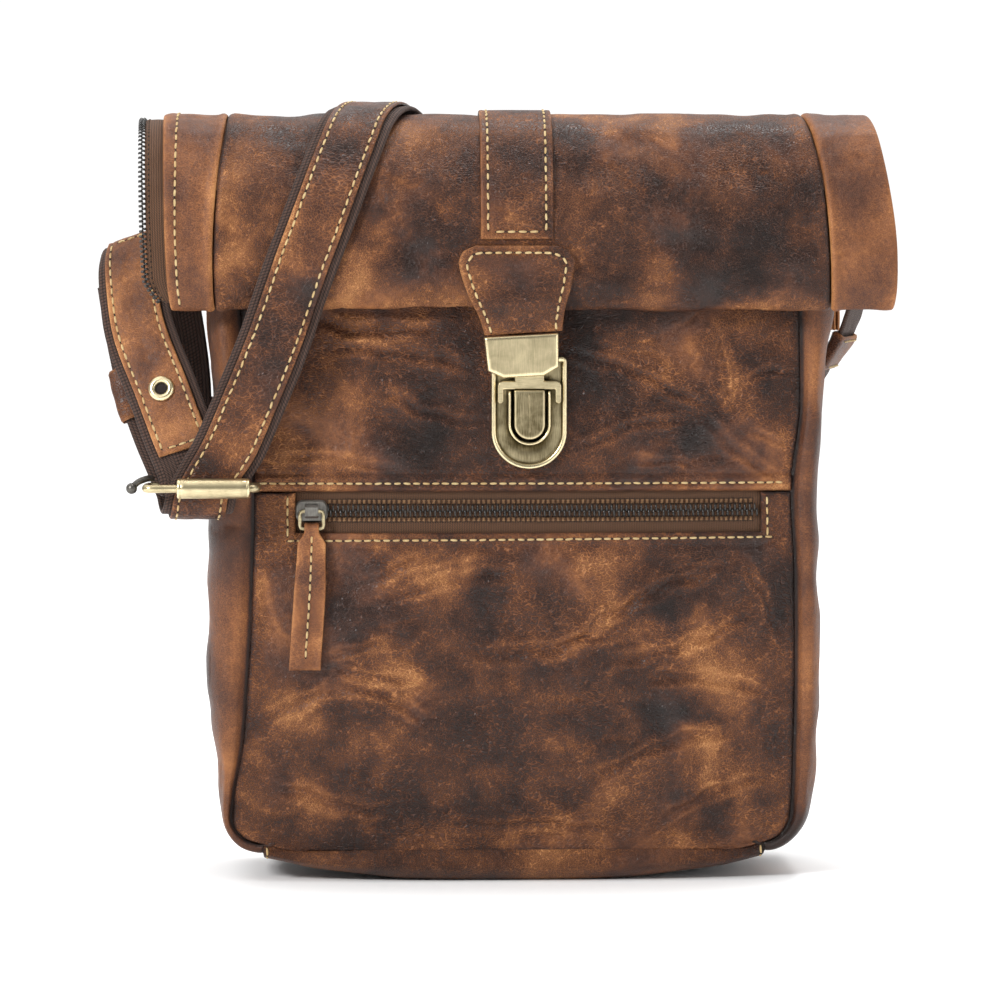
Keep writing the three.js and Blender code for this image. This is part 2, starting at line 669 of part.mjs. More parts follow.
// The pull hangs from the slider's bridge and leans on the front below it
function addZipPull() {
  const wire = linkWire / 2;
  const hinge = new THREE.Vector3(sliderCentre, sliderFace - layGap - wire, zipHeight);
  const reach = linkLength + pullerLength;
  const innerEdge = sliderCentre + pullerWidth / 2;
  const leans = [0.3, 0.5, 0.7, 0.85, 1].map((share) => {
    const panel = frontDepth(innerEdge, zipHeight - share * reach);
    return Math.atan2(hinge.y - (panel - layGap - pullerWall / 2), share * reach);
  });
  const pull = new THREE.Group();
  pull.position.copy(hinge);
  pull.rotation.x = -Math.max(...leans);
  const half = linkWidth / 2;
  const round = 1.6;
  const corners = [[-half, 0], [half, 0], [half, -linkLength], [-half, -linkLength]];
  const points = corners.flatMap(([x, z], i) => {
    const next = corners[(i + 1) % 4];
    const last = corners[(i + 3) % 4];
    const step = (to) => [
      x + Math.sign(to[0] - x) * round,
      z + Math.sign(to[1] - z) * round,
    ];
    const [before, after] = [step(last), step(next)];
    const middle = [(before[0] + after[0] + 2 * x) / 4, (before[1] + after[1] + 2 * z) / 4];
    return [before, middle, after].map(([px, pz]) => new THREE.Vector3(px, 0, pz));
  });
  addPiece('pocket_zip_link', wireLoop(points, wire, 10), antiqueBrass(), pull);

  const eye = wire + layGap;
  const fold = eye + 1.7;
  const thick = pullerWall / 2;
  const end = -pullerLength;
  const profile = new THREE.Shape();
  profile.moveTo(end, -thick);
  profile.lineTo(-fold - 3, -thick);
  profile.lineTo(-fold * 0.7, -fold * 0.7);
  profile.absarc(0, 0, fold, -Math.PI / 2, Math.PI / 2);
  profile.lineTo(-fold * 0.7, fold * 0.7);
  profile.lineTo(-fold - 3, thick);
  profile.lineTo(end, thick);
  const hole = new THREE.Path();
  hole.absarc(0, 0, eye, 0, 2 * Math.PI, true);
  profile.holes.push(hole);
  const neck = linkWidth - linkWire - 2 * layGap;
  const corner = (side) => {
    const box = new THREE.BoxGeometry(pullerWidth, 4 * fold, fold * 4);
    return box.translate(side * (neck / 2 + pullerWidth / 2), 0, fold * 1.1 - 2 * layGap);
  };
  const leather = cut(crossPlate(profile, pullerWidth), corner(-1), corner(1));
  const puller = addPiece('zip_puller', leather, midLeather(), pull);
  puller.position.z = -linkLength;
  bag.add(pull);
}

// Heights of the closure, measured from the fold at the flap's lower edge
const stripEnd = flapFold + stripEndRise;
const tabTop = flapFold + tabTopRise;
const capBottom = flapFold - capDrop;
const plateTop = flapFold - plateTopDrop;
const plateBottom = plateTop - plateHeight;
const buttonBottom = flapFold - buttonDrop;

// Closure strip and tab
function addClosureLeather() {
  const stripPlaces = flapPlaces.filter((place) => place >= 6.5 && place < 12);
  stripPlaces.push(wrapPlaceAt(stripEnd, 11, flapFrontPlace));
  const shares = [1, 0.5, 0, -0.5, -1];
  const strip = stripPlaces.map((place) => shares.map(
    (share) => wrapPoint((share * stripWidth) / 2, place, layGap + overlayWall),
  ));
  addPiece('closure_strip', wallFromGrid(strip, overlayWall), midLeather());
}

const plateBack = Math.min(
  ...[plateBottom, buttonBottom, plateTop].map((z) => frontDepth(lockCentre, z)),
) - layGap;
const floorDepth = plateBack - plateWall;
const rimDepth = floorDepth - rimRise;
const capBack = rimDepth - layGap - 1.2 - layGap;
const capCentre = lockCentre - 2.5;
const capTilt = THREE.MathUtils.degToRad(3.2);

function addTab() {
  const flapMost = Math.min(...[12, 12.25, 12.5, 12.75, 13].map((place) => wrapFrame(place).centre.y));
  const flapFace = flapMost - layGap - tabWall;
  const capFace = capBack - capWall / 2 - tabWall / 2;
  const capTop = capBottom + capHeight;
  const widest = tabTopWidth / 2 + 1.5;
  const outline = [
    { z: capTop + layGap, half: tabEndWidth / 2, y: capFace, lean: 1 },
    { z: capTop + 6, half: tabEndWidth / 2 + 1.2, y: capFace * 0.6 + flapFace * 0.4, lean: 0.8 },
    { z: flapFold + 2, half: tabEndWidth / 2 + 3, y: flapFace, lean: 0.5 },
    { z: flapFold + 9, half: widest - 2.2, y: flapFace, lean: 0.3 },
    { z: tabTop - 9, half: widest - 0.2, y: flapFace, lean: 0.1 },
    { z: tabTop - 6, half: widest, y: flapFace, lean: 0.1 },
    { z: tabTop - 2.5, half: widest - 2, y: flapFace, lean: 0 },
    { z: tabTop, half: widest - 7, y: flapFace, lean: 0 },
  ];
  const shares = [-1, -0.6, 0, 0.6, 1];
  const rows = outline.map(({ z, half, y, lean }) => shares.map((share) => {
    const centre = capCentre * lean - 0.5 * (1 - lean);
    const tilt = share * half * Math.tan(capTilt) * lean;
    return new THREE.Vector3(centre + share * half, y, z + tilt);
  }));
  addPiece('closure_tab', wallFromGrid(rows, tabWall), midLeather());

  const chamfer = 3.2;
  const [x, z] = [capWidth / 2, capHeight];
  const shape = new THREE.Shape([
    new THREE.Vector2(-x + 0.8, chamfer),
    new THREE.Vector2(-x + chamfer * 2.2, 0),
    new THREE.Vector2(x - chamfer * 2.2, 0),
    new THREE.Vector2(x - 0.8, chamfer),
    new THREE.Vector2(x, z),
    new THREE.Vector2(-x, z),
  ]);
  const cap = addPiece('tab_end_cap', frontPlate(shape, capWall, 0.7, 3), antiqueBrass());
  cap.position.set(capCentre, capBack, capBottom);
  cap.rotation.y = -capTilt;
}

function addLock() {
  const lock = new THREE.Group();
  lock.position.set(lockCentre, 0, 0);
  bag.add(lock);
  const buttonTop = buttonBottom + buttonHeight;
  const grown = (by, rise = 0) => tongueShape(
    buttonWidth + 2 * by, buttonTop + rise, buttonBottom - by, 0.6,
  );
  const stemInset = 2;
  const plateShape = tongueShape(plateWidth, plateTop, plateBottom, 2);
  const recessShape = tongueShape(
    plateWidth - 2 * rimWidth, plateTop - rimWidth, plateBottom + rimWidth, 1,
  );
  const blank = frontPlate(plateShape, plateWall + rimRise, 0.6, 2);
  const recess = frontPlate(recessShape, rimRise * 2).translate(0, -plateWall, 0);
  const windowShape = tongueShape(
    buttonWidth - 2 * stemInset + 2 * slideGap,
    buttonTop - stemInset + slideGap,
    buttonBottom + stemInset - slideGap,
    0.3,
  );
  const window = frontPlate(windowShape, plateWall * 4).translate(0, plateWall, 0);
  const plate = addPiece('lock_plate', cut(blank, recess, window), antiqueBrass(), lock);
  plate.position.y = plateBack;

  const outer = frontPlate(grown(collarGap + collarWall, -0.3), collarRise, 0.35);
  const inner = frontPlate(grown(collarGap, 10), collarRise * 3).translate(0, collarRise, 0);
  const collar = addPiece('lock_collar', cut(outer, inner), antiqueBrass(), lock);
  collar.position.y = floorDepth - layGap;

  const bodyDepthHere = buttonRise - buttonTravel - slideGap;
  const face = frontPlate(grown(0), bodyDepthHere, 0.5);
  const ridge = frontPlate(roundedRectangle(0.9, buttonHeight * 0.8, 0.4), 0.6, 0.2);
  ridge.translate(0, -bodyDepthHere + 0.2, buttonBottom + buttonHeight * 0.52);
  const stemShape = tongueShape(
    buttonWidth - 2 * stemInset, buttonTop - stemInset, buttonBottom + stemInset, 0.3,
  );
  const stem = frontPlate(stemShape, buttonTravel + slideGap + 0.6);
  stem.translate(0, buttonTravel + slideGap + 0.1, 0);
  const button = addPiece('lock_button', join(face, stem, ridge), antiqueBrass(), lock);
  button.position.y = floorDepth - buttonTravel - slideGap;

  const barBottom = buttonTop + 0.2;
  const half = haspWidth / 2;
  const legEnd = barBottom + haspBar - haspDrop;
  const shape = new THREE.Shape();
  shape.moveTo(-half, legEnd + 1);
  shape.lineTo(-half + 1, legEnd);
  shape.lineTo(-half + haspLeg, legEnd + 1);
  shape.lineTo(-half + haspLeg, barBottom);
  shape.lineTo(half - haspLeg, barBottom);
  shape.lineTo(half - haspLeg, legEnd + 1);
  shape.lineTo(half - 1, legEnd);
  shape.lineTo(half, legEnd + 1);
  shape.lineTo(half, barBottom + haspBar - 2);
  shape.lineTo(half - 2, barBottom + haspBar);
  shape.lineTo(-half + 2, barBottom + haspBar);
  shape.lineTo(-half, barBottom + haspBar - 2);
  const loop = frontPlate(shape, haspWall, 0.6, 2);
  const tongueShapeHere = roundedRectangle(12, capHeight * 0.6, 1);
  const tongue = frontPlate(tongueShapeHere, 1.2)
    .translate(0, 0, barBottom + haspBar / 2 + capHeight * 0.3);
  const hasp = addPiece('hasp_loop', join(loop, tongue), antiqueBrass(), lock);
  hasp.position.y = rimDepth - layGap;
}

addPocketZip();
addZipPull();
addClosureLeather();
addTab();
addLock();

// Straps. A route is a list of stations: the middle of the webbing, and the way across it. Going
// along the route with the way across to the right, the strap's outer face is on the near side.
const way = (x, y, z) => new THREE.Vector3(x, y, z).normalize();
const station = (x, y, z, across) => ({ centre: new THREE.Vector3(x, y, z), across });
// Places across are shares of half the width. Low stations take their depth as a share of the
// buckle bar's and their height as a share of the way from the bar to the bag's top. High ones take
// shares of half the depth and of the bag's height.
const aboveBar = (share) => rearBarHeight + share * (bagHeight - rearBarHeight);
const lowStation = (x, y, z, across) => station(x * halfWidth, y * rearBarDepth, aboveBar(z), across);
const highStation = (x, y, z, across) => station(
  x * halfWidth, y * halfDepth, z * bagHeight, across,
);
const leanLeft = way(0.93, 0, 0.37);
const leanRight = way(0.93, 0, -0.37);
const level = way(1, 0, 0);

// A half turn about a bar that lies along x, from behind it to its front, passing underneath
function halfTurn(bar, radius, startX, endX, steps) {
  return Array.from({ length: steps + 1 }, (_, i) => {
    const angle = (Math.PI * i) / steps;
    const x = startX + ((endX - startX) * i) / steps;
    const y = bar.y + radius * Math.cos(angle);
    return station(x, y, bar.z - radius * Math.sin(angle), level);
  });
}

// More stations between the given ones, along smooth curves
function refine(stations, steps) {
  const middles = new THREE.CatmullRomCurve3(stations.map((at) => at.centre), false, 'centripetal');
  const acrosses = new THREE.CatmullRomCurve3(stations.map((at) => at.across), false, 'catmullrom');
  const last = (stations.length - 1) * steps;
  return Array.from({ length: last + 1 }, (_, i) => ({
    centre: middles.getPoint(i / last),
    across: acrosses.getPoint(i / last).normalize(),
  }));
}

function outward(stations, i) {
  const before = stations[Math.max(i - 1, 0)].centre;
  const after = stations[Math.min(i + 1, stations.length - 1)].centre;
  const along = after.clone().sub(before).normalize();
  return stations[i].across.clone().cross(along).normalize();
}

// A flat band along a stretch of a route, its outer face lifted from the webbing's middle. Its
// lines run at the given distances from the middle, so that bands on each other keep parallel.
function bandAlong(stations, from, to, edges, lift, wall) {
  const rowsAt = (height) => stations.slice(from, to + 1).map(({ centre, across }, i) => {
    const face = centre.clone().addScaledVector(outward(stations, from + i), height);
    return edges.map((edge) => face.clone().addScaledVector(across, edge));
  });
  return wallBetween(rowsAt(lift), rowsAt(lift - wall));
}
const webbingLift = webbingWall / 2;
const webbingEdges = [-webbingWidth / 2, -overlayWidth / 2, overlayWidth / 2, webbingWidth / 2];
const overlayEdges = [-overlayWidth / 2, overlayWidth / 2];
const overlayLift = webbingLift + layGap + overlayWall;

// A loop of leather round the webbing, over a stretch of its route
function keeperAlong(stations, from, to) {
  const inner = [webbingWidth / 2 + keeperGap, webbingLift + keeperGap];
  const outer = inner.map((half) => half + keeperWall);
  const points = [];
  for (let i = from; i <= to; i += 1) {
    const { centre, across } = stations[i];
    const out = outward(stations, i);
    for (const [wide, high] of [outer, inner]) {
      for (const [a, b] of [[1, 1], [-1, 1], [-1, -1], [1, -1]]) {
        points.push(centre.clone().addScaledVector(across, a * wide).addScaledVector(out, b * high));
      }
    }
  }
  const triangles = [];
  const quad = (a, b, c, d) => triangles.push([a, b, c], [a, c, d]);
  const rings = to - from + 1;
  for (let j = 0; j < 4; j += 1) {
    const next = (j + 1) % 4;
    for (let i = 0; i < rings - 1; i += 1) {
      const [near, far] = [i * 8, (i + 1) * 8];
      quad(near + next, near + j, far + j, far + next);
      quad(near + 4 + j, near + 4 + next, far + 4 + next, far + 4 + j);
    }
    const end = (rings - 1) * 8;
    quad(j, next, next + 4, j + 4);
    quad(end + next, end + j, end + j + 4, end + next + 4);
  }
  return meshGeometry(points, triangles);
}

// The long strap: from its free end behind the buckle, round the rear bar, up the front, over the
// top, down behind the bag in a loop and up to the tab on the right
const fold = { y: -rearBarDepth, z: rearBarHeight - foldDrop };
const frontRunDepth = rearBarDepth + foldRadius;
const foldShift = { start: buckleCentre - 4.2, end: buckleCentre - 0.4 };
const shortFoldX = buckleCentre - 2.8;
const returnRun = [
  lowStation(-1.2480, -0.3344, 0.5641, leanLeft),
  lowStation(-1.2173, -0.4702, 0.4188, leanLeft),
  lowStation(-1.1717, -0.6395, 0.2602, leanLeft),
  lowStation(-1.1260, -0.7481, 0.1546, leanLeft),
  lowStation(-1.0709, -0.8569, 0.0423, way(0.98, 0, 0.2)),
];
const frontStation = (x, setback, z, across) => station(
  x * halfWidth, setback - frontRunDepth, aboveBar(z), across,
);
const frontRun = [
  frontStation(-0.9803, 0, 0.0225, way(0.985, 0, -0.17)),
  frontStation(-0.9228, 0, 0.1017, way(0.95, 0, -0.31)),
  frontStation(-0.8535, 0.1, 0.2338, leanRight),
  frontStation(-0.7819, 0.6, 0.3791, leanRight),
];
const climb = 0.385;
const climbStart = -0.7213 * halfWidth;
const overPlaces = flapPlaces.filter((place) => place >= 6 && place <= flapFrontPlace).reverse();
let climbed = 0;
const overRun = overPlaces.map((place, i) => {
  const { along } = wrapFrame(place);
  const last = overPlaces[Math.max(i - 1, 0)];
  climbed += wrapPoint(0, place).distanceTo(wrapPoint(0, last));
  const centre = wrapPoint(climbStart + climb * climbed, place, strapGap + webbingLift);
  const across = level.clone().multiplyScalar(leanRight.x).addScaledVector(along, -leanRight.z);
  return { centre, across };
});
const hiddenRun = [
  highStation(-0.1732, 1.2564, 0.7342, way(0.75, 0.6, -0.25)),
  highStation(-0.1024, 1.5128, 0.6203, way(0.3, 0.95, 0)),
  highStation(0.0157, 1.6154, 0.4747, way(0, 1, 0)),
  highStation(0.1890, 1.6154, 0.3101, way(0, 1, 0)),
  highStation(0.3937, 1.6154, 0.2089, way(0, 1, 0)),
  highStation(0.6299, 1.6154, 0.2152, way(0, 1, 0)),
  highStation(0.8110, 1.6154, 0.3291, way(0, 1, 0)),
  highStation(0.9213, 1.5897, 0.4747, way(0.05, 1, 0)),
  highStation(0.9961, 1.5000, 0.5759, way(0.15, 0.99, 0)),
  highStation(1.0693, 1.1410, 0.6614, way(0.25, 0.97, 0)),
  highStation(1.1291, 0.7949, 0.7089, way(0.3, 0.95, 0)),
  highStation(1.1535, 0.4103, 0.7690, way(0.3, 0.95, 0)),
  highStation(1.0945, 0.2564, 0.8323, way(0.08, 1, 0)),
];

// The short strap: from its end that is folded back and riveted, round the rear bar, up beside the
// flap, over and down to the tab on the left
const shortBack = [
  lowStation(-1.1543, -0.7398, 0.2801, leanLeft),
  lowStation(-1.0906, -0.8527, 0.1678, leanLeft),
  lowStation(-1.0354, -0.9384, 0.0357, way(0.985, 0, 0.17)),
];
const shortFront = [
  lowStation(-1.0354, -1.0617, 0.0357, way(0.985, 0, 0.17)),
  lowStation(-1.0906, -0.9237, 0.1546, leanLeft),
  lowStation(-1.1362, -0.8192, 0.2536, leanLeft),
  lowStation(-1.2142, -0.6228, 0.4188, leanLeft),
  lowStation(-1.2378, -0.4890, 0.5376, leanLeft),
  lowStation(-1.2409, -0.3867, 0.6169, way(0.94, -0.1, 0.33)),
  lowStation(-1.2268, -0.2508, 0.6598, way(0.9, -0.28, 0.33)),
  lowStation(-1.1953, -0.1254, 0.6367, way(0.84, -0.08, 0.53)),
  lowStation(-1.1669, -0.0522, 0.5641, way(0.9, 0, 0.43)),
  lowStation(-1.1402, -0.0209, 0.4782, way(0.96, 0, 0.26)),
  lowStation(-1.1197, -0.0084, 0.3725, way(0.995, 0, 0.1)),
  lowStation(-1.1063, 0.0000, 0.2734, level),
  lowStation(-1.1024, 0.0000, 0.1546, level),
];

const fineSteps = 2;
const shortFoldRadius = buckleWire / 2 + layGap + 0.9;
const longRoute = [
  ...refine(returnRun, fineSteps),
  ...halfTurn(fold, foldRadius, foldShift.start, foldShift.end, 8),
  ...refine([...frontRun, ...overRun.slice(0, 1)], fineSteps).slice(0, -1),
  ...overRun,
  ...refine([overRun[overRun.length - 1], ...hiddenRun], fineSteps).slice(1),
];
const shortRoute = [
  ...refine(shortBack, fineSteps),
  ...halfTurn({ y: -rearBarDepth, z: rearBarHeight }, shortFoldRadius, shortFoldX, shortFoldX, 8),
  ...refine(shortFront, fineSteps),
];

// The first station after a number of stations that satisfies a test
const firstStation = (route, from, test) => route.findIndex((at, i) => i >= from && test(at.centre));

// Where the overlays and keepers begin and end, as shares of the same heights as the stations
const overlayHem = { lower: 0.1017, behind: 0.8291, short: 0.0885, bend: 0.6565, rivet: 0.2503 };
const keeperReach = { leftTop: 0.3527, leftBottom: 0.2206, rightBottom: 0.6598, rightTop: 0.7057 };

function addStraps() {
  const longLast = longRoute.length - 1;
  const webbing = bandAlong(longRoute, 0, longLast, webbingEdges, webbingLift, webbingWall);
  addPiece('long_webbing', webbing, webbingCloth());
  const overlayStart = firstStation(longRoute, 0, ({ z }) => z < aboveBar(overlayHem.lower));
  const top = firstStation(longRoute, 0, ({ z }) => z > bagHeight);
  const overlayEnd = firstStation(longRoute, top, ({ z }) => z < bagHeight * overlayHem.behind);
  const overlay = bandAlong(
    longRoute, overlayStart, overlayEnd, overlayEdges, overlayLift, overlayWall,
  );
  addPiece('long_overlay', overlay, darkLeather());

  const shortLast = shortRoute.length - 1;
  const short = bandAlong(shortRoute, 0, shortLast, webbingEdges, webbingLift, webbingWall);
  addPiece('short_webbing', short, webbingCloth());
  const bar = firstStation(shortRoute, 0, ({ y }) => y < -rearBarDepth);
  const shortStart = firstStation(shortRoute, bar, ({ z }) => z > aboveBar(overlayHem.short));
  const shortEnd = firstStation(shortRoute, shortStart, ({ z }) => z > aboveBar(overlayHem.bend));
  const shortOverlay = bandAlong(
    shortRoute, shortStart, shortEnd, overlayEdges, overlayLift, overlayWall,
  );
  addPiece('short_overlay', shortOverlay, lightLeather());

  const leftKeeper = firstStation(longRoute, 0, ({ z }) => z < aboveBar(keeperReach.leftTop));
  const leftKeeperEnd = firstStation(longRoute, leftKeeper, ({ z }) => z < aboveBar(keeperReach.leftBottom));
  addPiece('keeper_left', keeperAlong(longRoute, leftKeeper, leftKeeperEnd), midLeather());
  const rising = firstStation(longRoute, top, ({ x }) => x > 0.8 * halfWidth);
  const rightKeeper = firstStation(longRoute, rising, ({ z }) => z > bagHeight * keeperReach.rightBottom);
  const rightKeeperEnd = firstStation(longRoute, rightKeeper, ({ z }) => z > bagHeight * keeperReach.rightTop);
  addPiece('keeper_right', keeperAlong(longRoute, rightKeeper, rightKeeperEnd), darkLeather());

  const at = firstStation(shortRoute, shortStart, ({ z }) => z > aboveBar(overlayHem.rivet));
  const out = outward(shortRoute, at);
  const [outerRing, bore] = [eyeletRadius, eyeletHole];
  const profile = [
    [bore, 0], [outerRing, 0], [outerRing, 0.5], [outerRing - 0.8, eyeletWall * 0.85],
    [outerRing - 1.8, eyeletWall], [bore + 0.8, eyeletWall * 0.7], [bore, eyeletWall * 0.3], [bore, 0],
  ].map(([radius, rise]) => new THREE.Vector2(radius, rise));
  const eyelet = addPiece('eyelet', new THREE.LatheGeometry(profile, 22), antiqueBrass());
  eyelet.position.copy(shortRoute[at].centre).addScaledVector(out, overlayLift + layGap);
  eyelet.quaternion.setFromUnitVectors(new THREE.Vector3(0, 1, 0), out);
}

function addBuckle() {
  const rollerDepth = frontRunDepth + overlayLift + layGap + rollerRadius;
  const wire = buckleWire / 2;
  const [x, y] = [buckleLength / 2 - wire, (rollerDepth - rearBarDepth) / 2];
  const corner = 2.2;
  const centres = [[x, y, 0], [-x, y, 1], [-x, -y, 2], [x, -y, 3]];
  const points = centres.flatMap(([cx, cy, turn]) => Array.from({ length: 4 }, (_, i) => {
    const angle = (turn + i / 3) * (Math.PI / 2);
    return new THREE.Vector3(
      cx - Math.sign(cx) * corner + corner * Math.cos(angle),
      cy - Math.sign(cy) * corner + corner * Math.sin(angle),
      0,
    );
  }));
  const frame = addPiece('buckle_frame', wireLoop(points, wire, 10), antiqueBrass());
  frame.position.set(buckleCentre, -(rollerDepth + rearBarDepth) / 2, rearBarHeight);

  const bore = wire + 0.3;
  const half = rollerLength / 2;
  const profile = [
    [bore, -half], [rollerRadius - 0.5, -half], [rollerRadius, -half + 0.5],
    [rollerRadius, half - 0.5], [rollerRadius - 0.5, half], [bore, half], [bore, -half],
  ].map(([radius, along]) => new THREE.Vector2(radius, along));
  const roller = addPiece('buckle_roller', new THREE.LatheGeometry(profile, 24), antiqueBrass());
  roller.rotation.z = Math.PI / 2;
  roller.position.set(rollerCentre, -rollerDepth, rearBarHeight);

  const prongRadius = 1.3;
  const above = rearBarHeight + wire + layGap + prongRadius;
  const left = buckleCentre - x;
  const route = new THREE.CatmullRomCurve3([
    new THREE.Vector3(left + 2.2, -rearBarDepth - 2.2, above + 0.3),
    new THREE.Vector3(left, -rearBarDepth - 5, above + 0.2),
    new THREE.Vector3(left - 3.4, -rearBarDepth - 8.2, above - 1),
    new THREE.Vector3(left - 5.6, -rearBarDepth - 9.6, above - 3),
  ]);
  const section = new THREE.Shape();
  section.absarc(0, 0, prongRadius, 0, 2 * Math.PI);
  const rod = new THREE.ExtrudeGeometry(section, { steps: 6, extrudePath: route, curveSegments: 7 });
  const tip = new THREE.SphereGeometry(prongRadius * 1.75, 12, 8);
  tip.translate(left - 5.9, -rearBarDepth - 9.8, above - 3.4);
  addPiece('buckle_prong', join(rod, tip), antiqueBrass());
}

// Leather tabs that hold the ends of the straps against the gussets
function addSideTabs() {
  const left = new THREE.BoxGeometry(leftTabWidth, leftTabWall, leftTabHeight);
  const leftTab = addPiece('side_tab_left', left, midLeather());
  const leftTabCentre = shortRoute[shortRoute.length - 1].centre.z;
  const rightTabCentre = longRoute[longRoute.length - 1].centre.z - rightTabHeight / 2;
  const lowest = (leftTabCentre - leftTabHeight / 2) / mouthHeight;
  const gussetSide = halfWidth * readTable(gussetRows(leftEdges), 'height', 'side', lowest);
  leftTab.position.set(
    -gussetSide - layGap - leftTabWidth / 2,
    webbingLift + layGap + leftTabWall / 2,
    leftTabCentre,
  );
  const right = new THREE.BoxGeometry(rightTabWall, rightTabDepth, rightTabHeight);
  const rightTab = addPiece('side_tab_right', right, midLeather());
  const rightSide = halfWidth * Math.max(...rightEdges.map((row) => row.side ?? 0));
  rightTab.position.set(rightSide + layGap + rightTabWall / 2, rightTabDepth / 3, rightTabCentre);
}

// Zip at the left end of the flap
function addTopZip() {
  const places = flapPlaces.filter((place) => place >= 8.2 && place <= 13.6);
  const lift = -(leatherWall + layGap);
  const reachAt = (place) => {
    const end = wrapEnds.getPoint(place / wrapLast).x * halfWidth;
    const taper = Math.min(1, (hairpinPlace - place) / 1.2);
    return { end, edge: end + topZipReach * taper };
  };
  const tape = places.map((place) => {
    const { end, edge } = reachAt(place);
    return [end - 4, (end + edge) / 2 - 2, edge].map((x) => wrapPoint(-x, place, lift));
  });
  addPiece('top_zip_tape', wallFromGrid(tape, topZipWall), tapeCloth());
  const coil = places.map((place) => {
    const { edge } = reachAt(place);
    return [edge + layGap, edge + layGap + topCoilWidth].map(
      (x) => wrapPoint(-x, place, lift + (topCoilWall - topZipWall) / 2),
    );
  });
  addPiece('top_zip_coil', wallFromGrid(coil, topCoilWall), blackNylon());
}

addStraps();
addBuckle();
addSideTabs();
addTopZip();

export default bag;
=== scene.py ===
"""Dresses the shoulder bag: grained leather, stitching, zips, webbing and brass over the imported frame.

Sizes are millimetres in the bag's frame (+X right, -Y front, +Z up) until a mesh is made in metres.
"""
import logging
import math
from collections.abc import Callable
from dataclasses import dataclass, field
from enum import Enum

import bpy
import numpy as np
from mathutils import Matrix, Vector


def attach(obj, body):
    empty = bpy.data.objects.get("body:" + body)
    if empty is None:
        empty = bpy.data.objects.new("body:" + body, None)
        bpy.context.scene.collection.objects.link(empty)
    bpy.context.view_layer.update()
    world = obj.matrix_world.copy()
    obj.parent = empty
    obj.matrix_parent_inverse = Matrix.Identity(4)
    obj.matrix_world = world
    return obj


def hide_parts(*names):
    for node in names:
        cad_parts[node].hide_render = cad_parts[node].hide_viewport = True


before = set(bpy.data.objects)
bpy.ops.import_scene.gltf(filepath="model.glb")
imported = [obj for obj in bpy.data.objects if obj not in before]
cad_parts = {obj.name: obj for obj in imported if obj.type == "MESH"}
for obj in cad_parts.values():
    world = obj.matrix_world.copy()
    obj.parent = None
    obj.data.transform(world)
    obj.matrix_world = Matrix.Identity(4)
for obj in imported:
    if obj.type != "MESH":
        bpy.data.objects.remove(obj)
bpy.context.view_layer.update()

METRE = 0.001
BAG = "bag"
Array = np.ndarray
Colour = tuple[float, float, float]
Place = tuple[float, float, float]
log = logging.getLogger("bag")


# Number tools

class Table:
    """Rows under named columns, read along a smooth curve that never overshoots a row."""

    def __init__(self, names: str, *rows: tuple[float, ...]) -> None:
        """Keeps the rows by column.

        Args:
            names: the columns' names, with spaces between them.
            rows: one tuple for each row, in the order of the names.
        """
        self.columns = {name: np.array(column, float) for name, column in zip(names.split(), zip(*rows))}

    def read(self, key: str, column: str, at: Array | float) -> Array:
        """Reads a column where the key column has the given values.

        Args:
            key: the column that is looked up.
            column: the column that is read.
            at: the key's values.

        Returns:
            The values, by cubic pieces whose slopes are the harmonic means of their neighbours'.
        """
        x, y = self.columns[key], self.columns[column]
        at = np.clip(np.asarray(at, float), x[0], x[-1])
        slopes = np.diff(y) / np.diff(x)
        before, after = slopes[:-1], slopes[1:]
        same = before * after > 0
        total = np.where(same, before + after, 1.0)
        lean = np.zeros_like(y)
        lean[1:-1] = np.where(same, 2 * before * after / total, 0.0)
        i = np.clip(np.searchsorted(x, at) - 1, 0, len(x) - 2)
        span = x[i + 1] - x[i]
        t = (at - x[i]) / span
        start = 2 * t**3 - 3 * t**2 + 1
        return (start * y[i] + (1 - start) * y[i + 1]
                + (t**3 - 2 * t**2 + t) * span * lean[i] + (t**3 - t**2) * span * lean[i + 1])


def spline(points: Array, places: Array, centripetal: bool = True) -> Array:
    """Reads a smooth curve through points, at places counted in points.

    The curve is a Catmull-Rom one: a cubic between two points, with slopes from their neighbours.

    Args:
        points: the points, one row each.
        places: 0 for the first point, 1 for the second, with parts between.
        centripetal: whether spans count by the root of their length, which avoids loops.

    Returns:
        The curve's points, one row for each place.
    """
    points = np.asarray(points, float)
    last = len(points) - 1
    padded = np.vstack([2 * points[0] - points[1], points, 2 * points[-1] - points[-2]])
    i = np.clip(np.floor(places).astype(int), 0, last - 1)
    t = (np.asarray(places, float) - i)[:, None]
    p0, p1, p2, p3 = (padded[i + k] for k in range(4))
    if centripetal:
        gap = [np.maximum(np.linalg.norm(b - a, axis=1), 1e-8)[:, None] ** 0.5
               for a, b in ((p0, p1), (p1, p2), (p2, p3))]
        lean1 = ((p1 - p0) / gap[0] - (p2 - p0) / (gap[0] + gap[1]) + (p2 - p1) / gap[1]) * gap[1]
        lean2 = ((p2 - p1) / gap[1] - (p3 - p1) / (gap[1] + gap[2]) + (p3 - p2) / gap[2]) * gap[1]
    else:
        lean1, lean2 = (p2 - p0) / 2, (p3 - p1) / 2
    return (p1 + lean1 * t + (3 * (p2 - p1) - 2 * lean1 - lean2) * t**2
            + (2 * (p1 - p2) + lean1 + lean2) * t**3)


def unit(vectors: Array) -> Array:
    """Scales vectors to length one."""
    return vectors / np.maximum(np.linalg.norm(vectors, axis=-1, keepdims=True), 1e-12)


def path_length(points: Array) -> Array:
    """Length along a line from its first point to each of its points."""
    return np.concatenate([[0], np.cumsum(np.linalg.norm(np.diff(points, axis=0), axis=1))])


def ease(low: float, high: float, at: Array) -> Array:
    """Rises smoothly from 0 at low to 1 at high."""
    t = np.clip((at - low) / (high - low), 0, 1)
    return t * t * (3 - 2 * t)


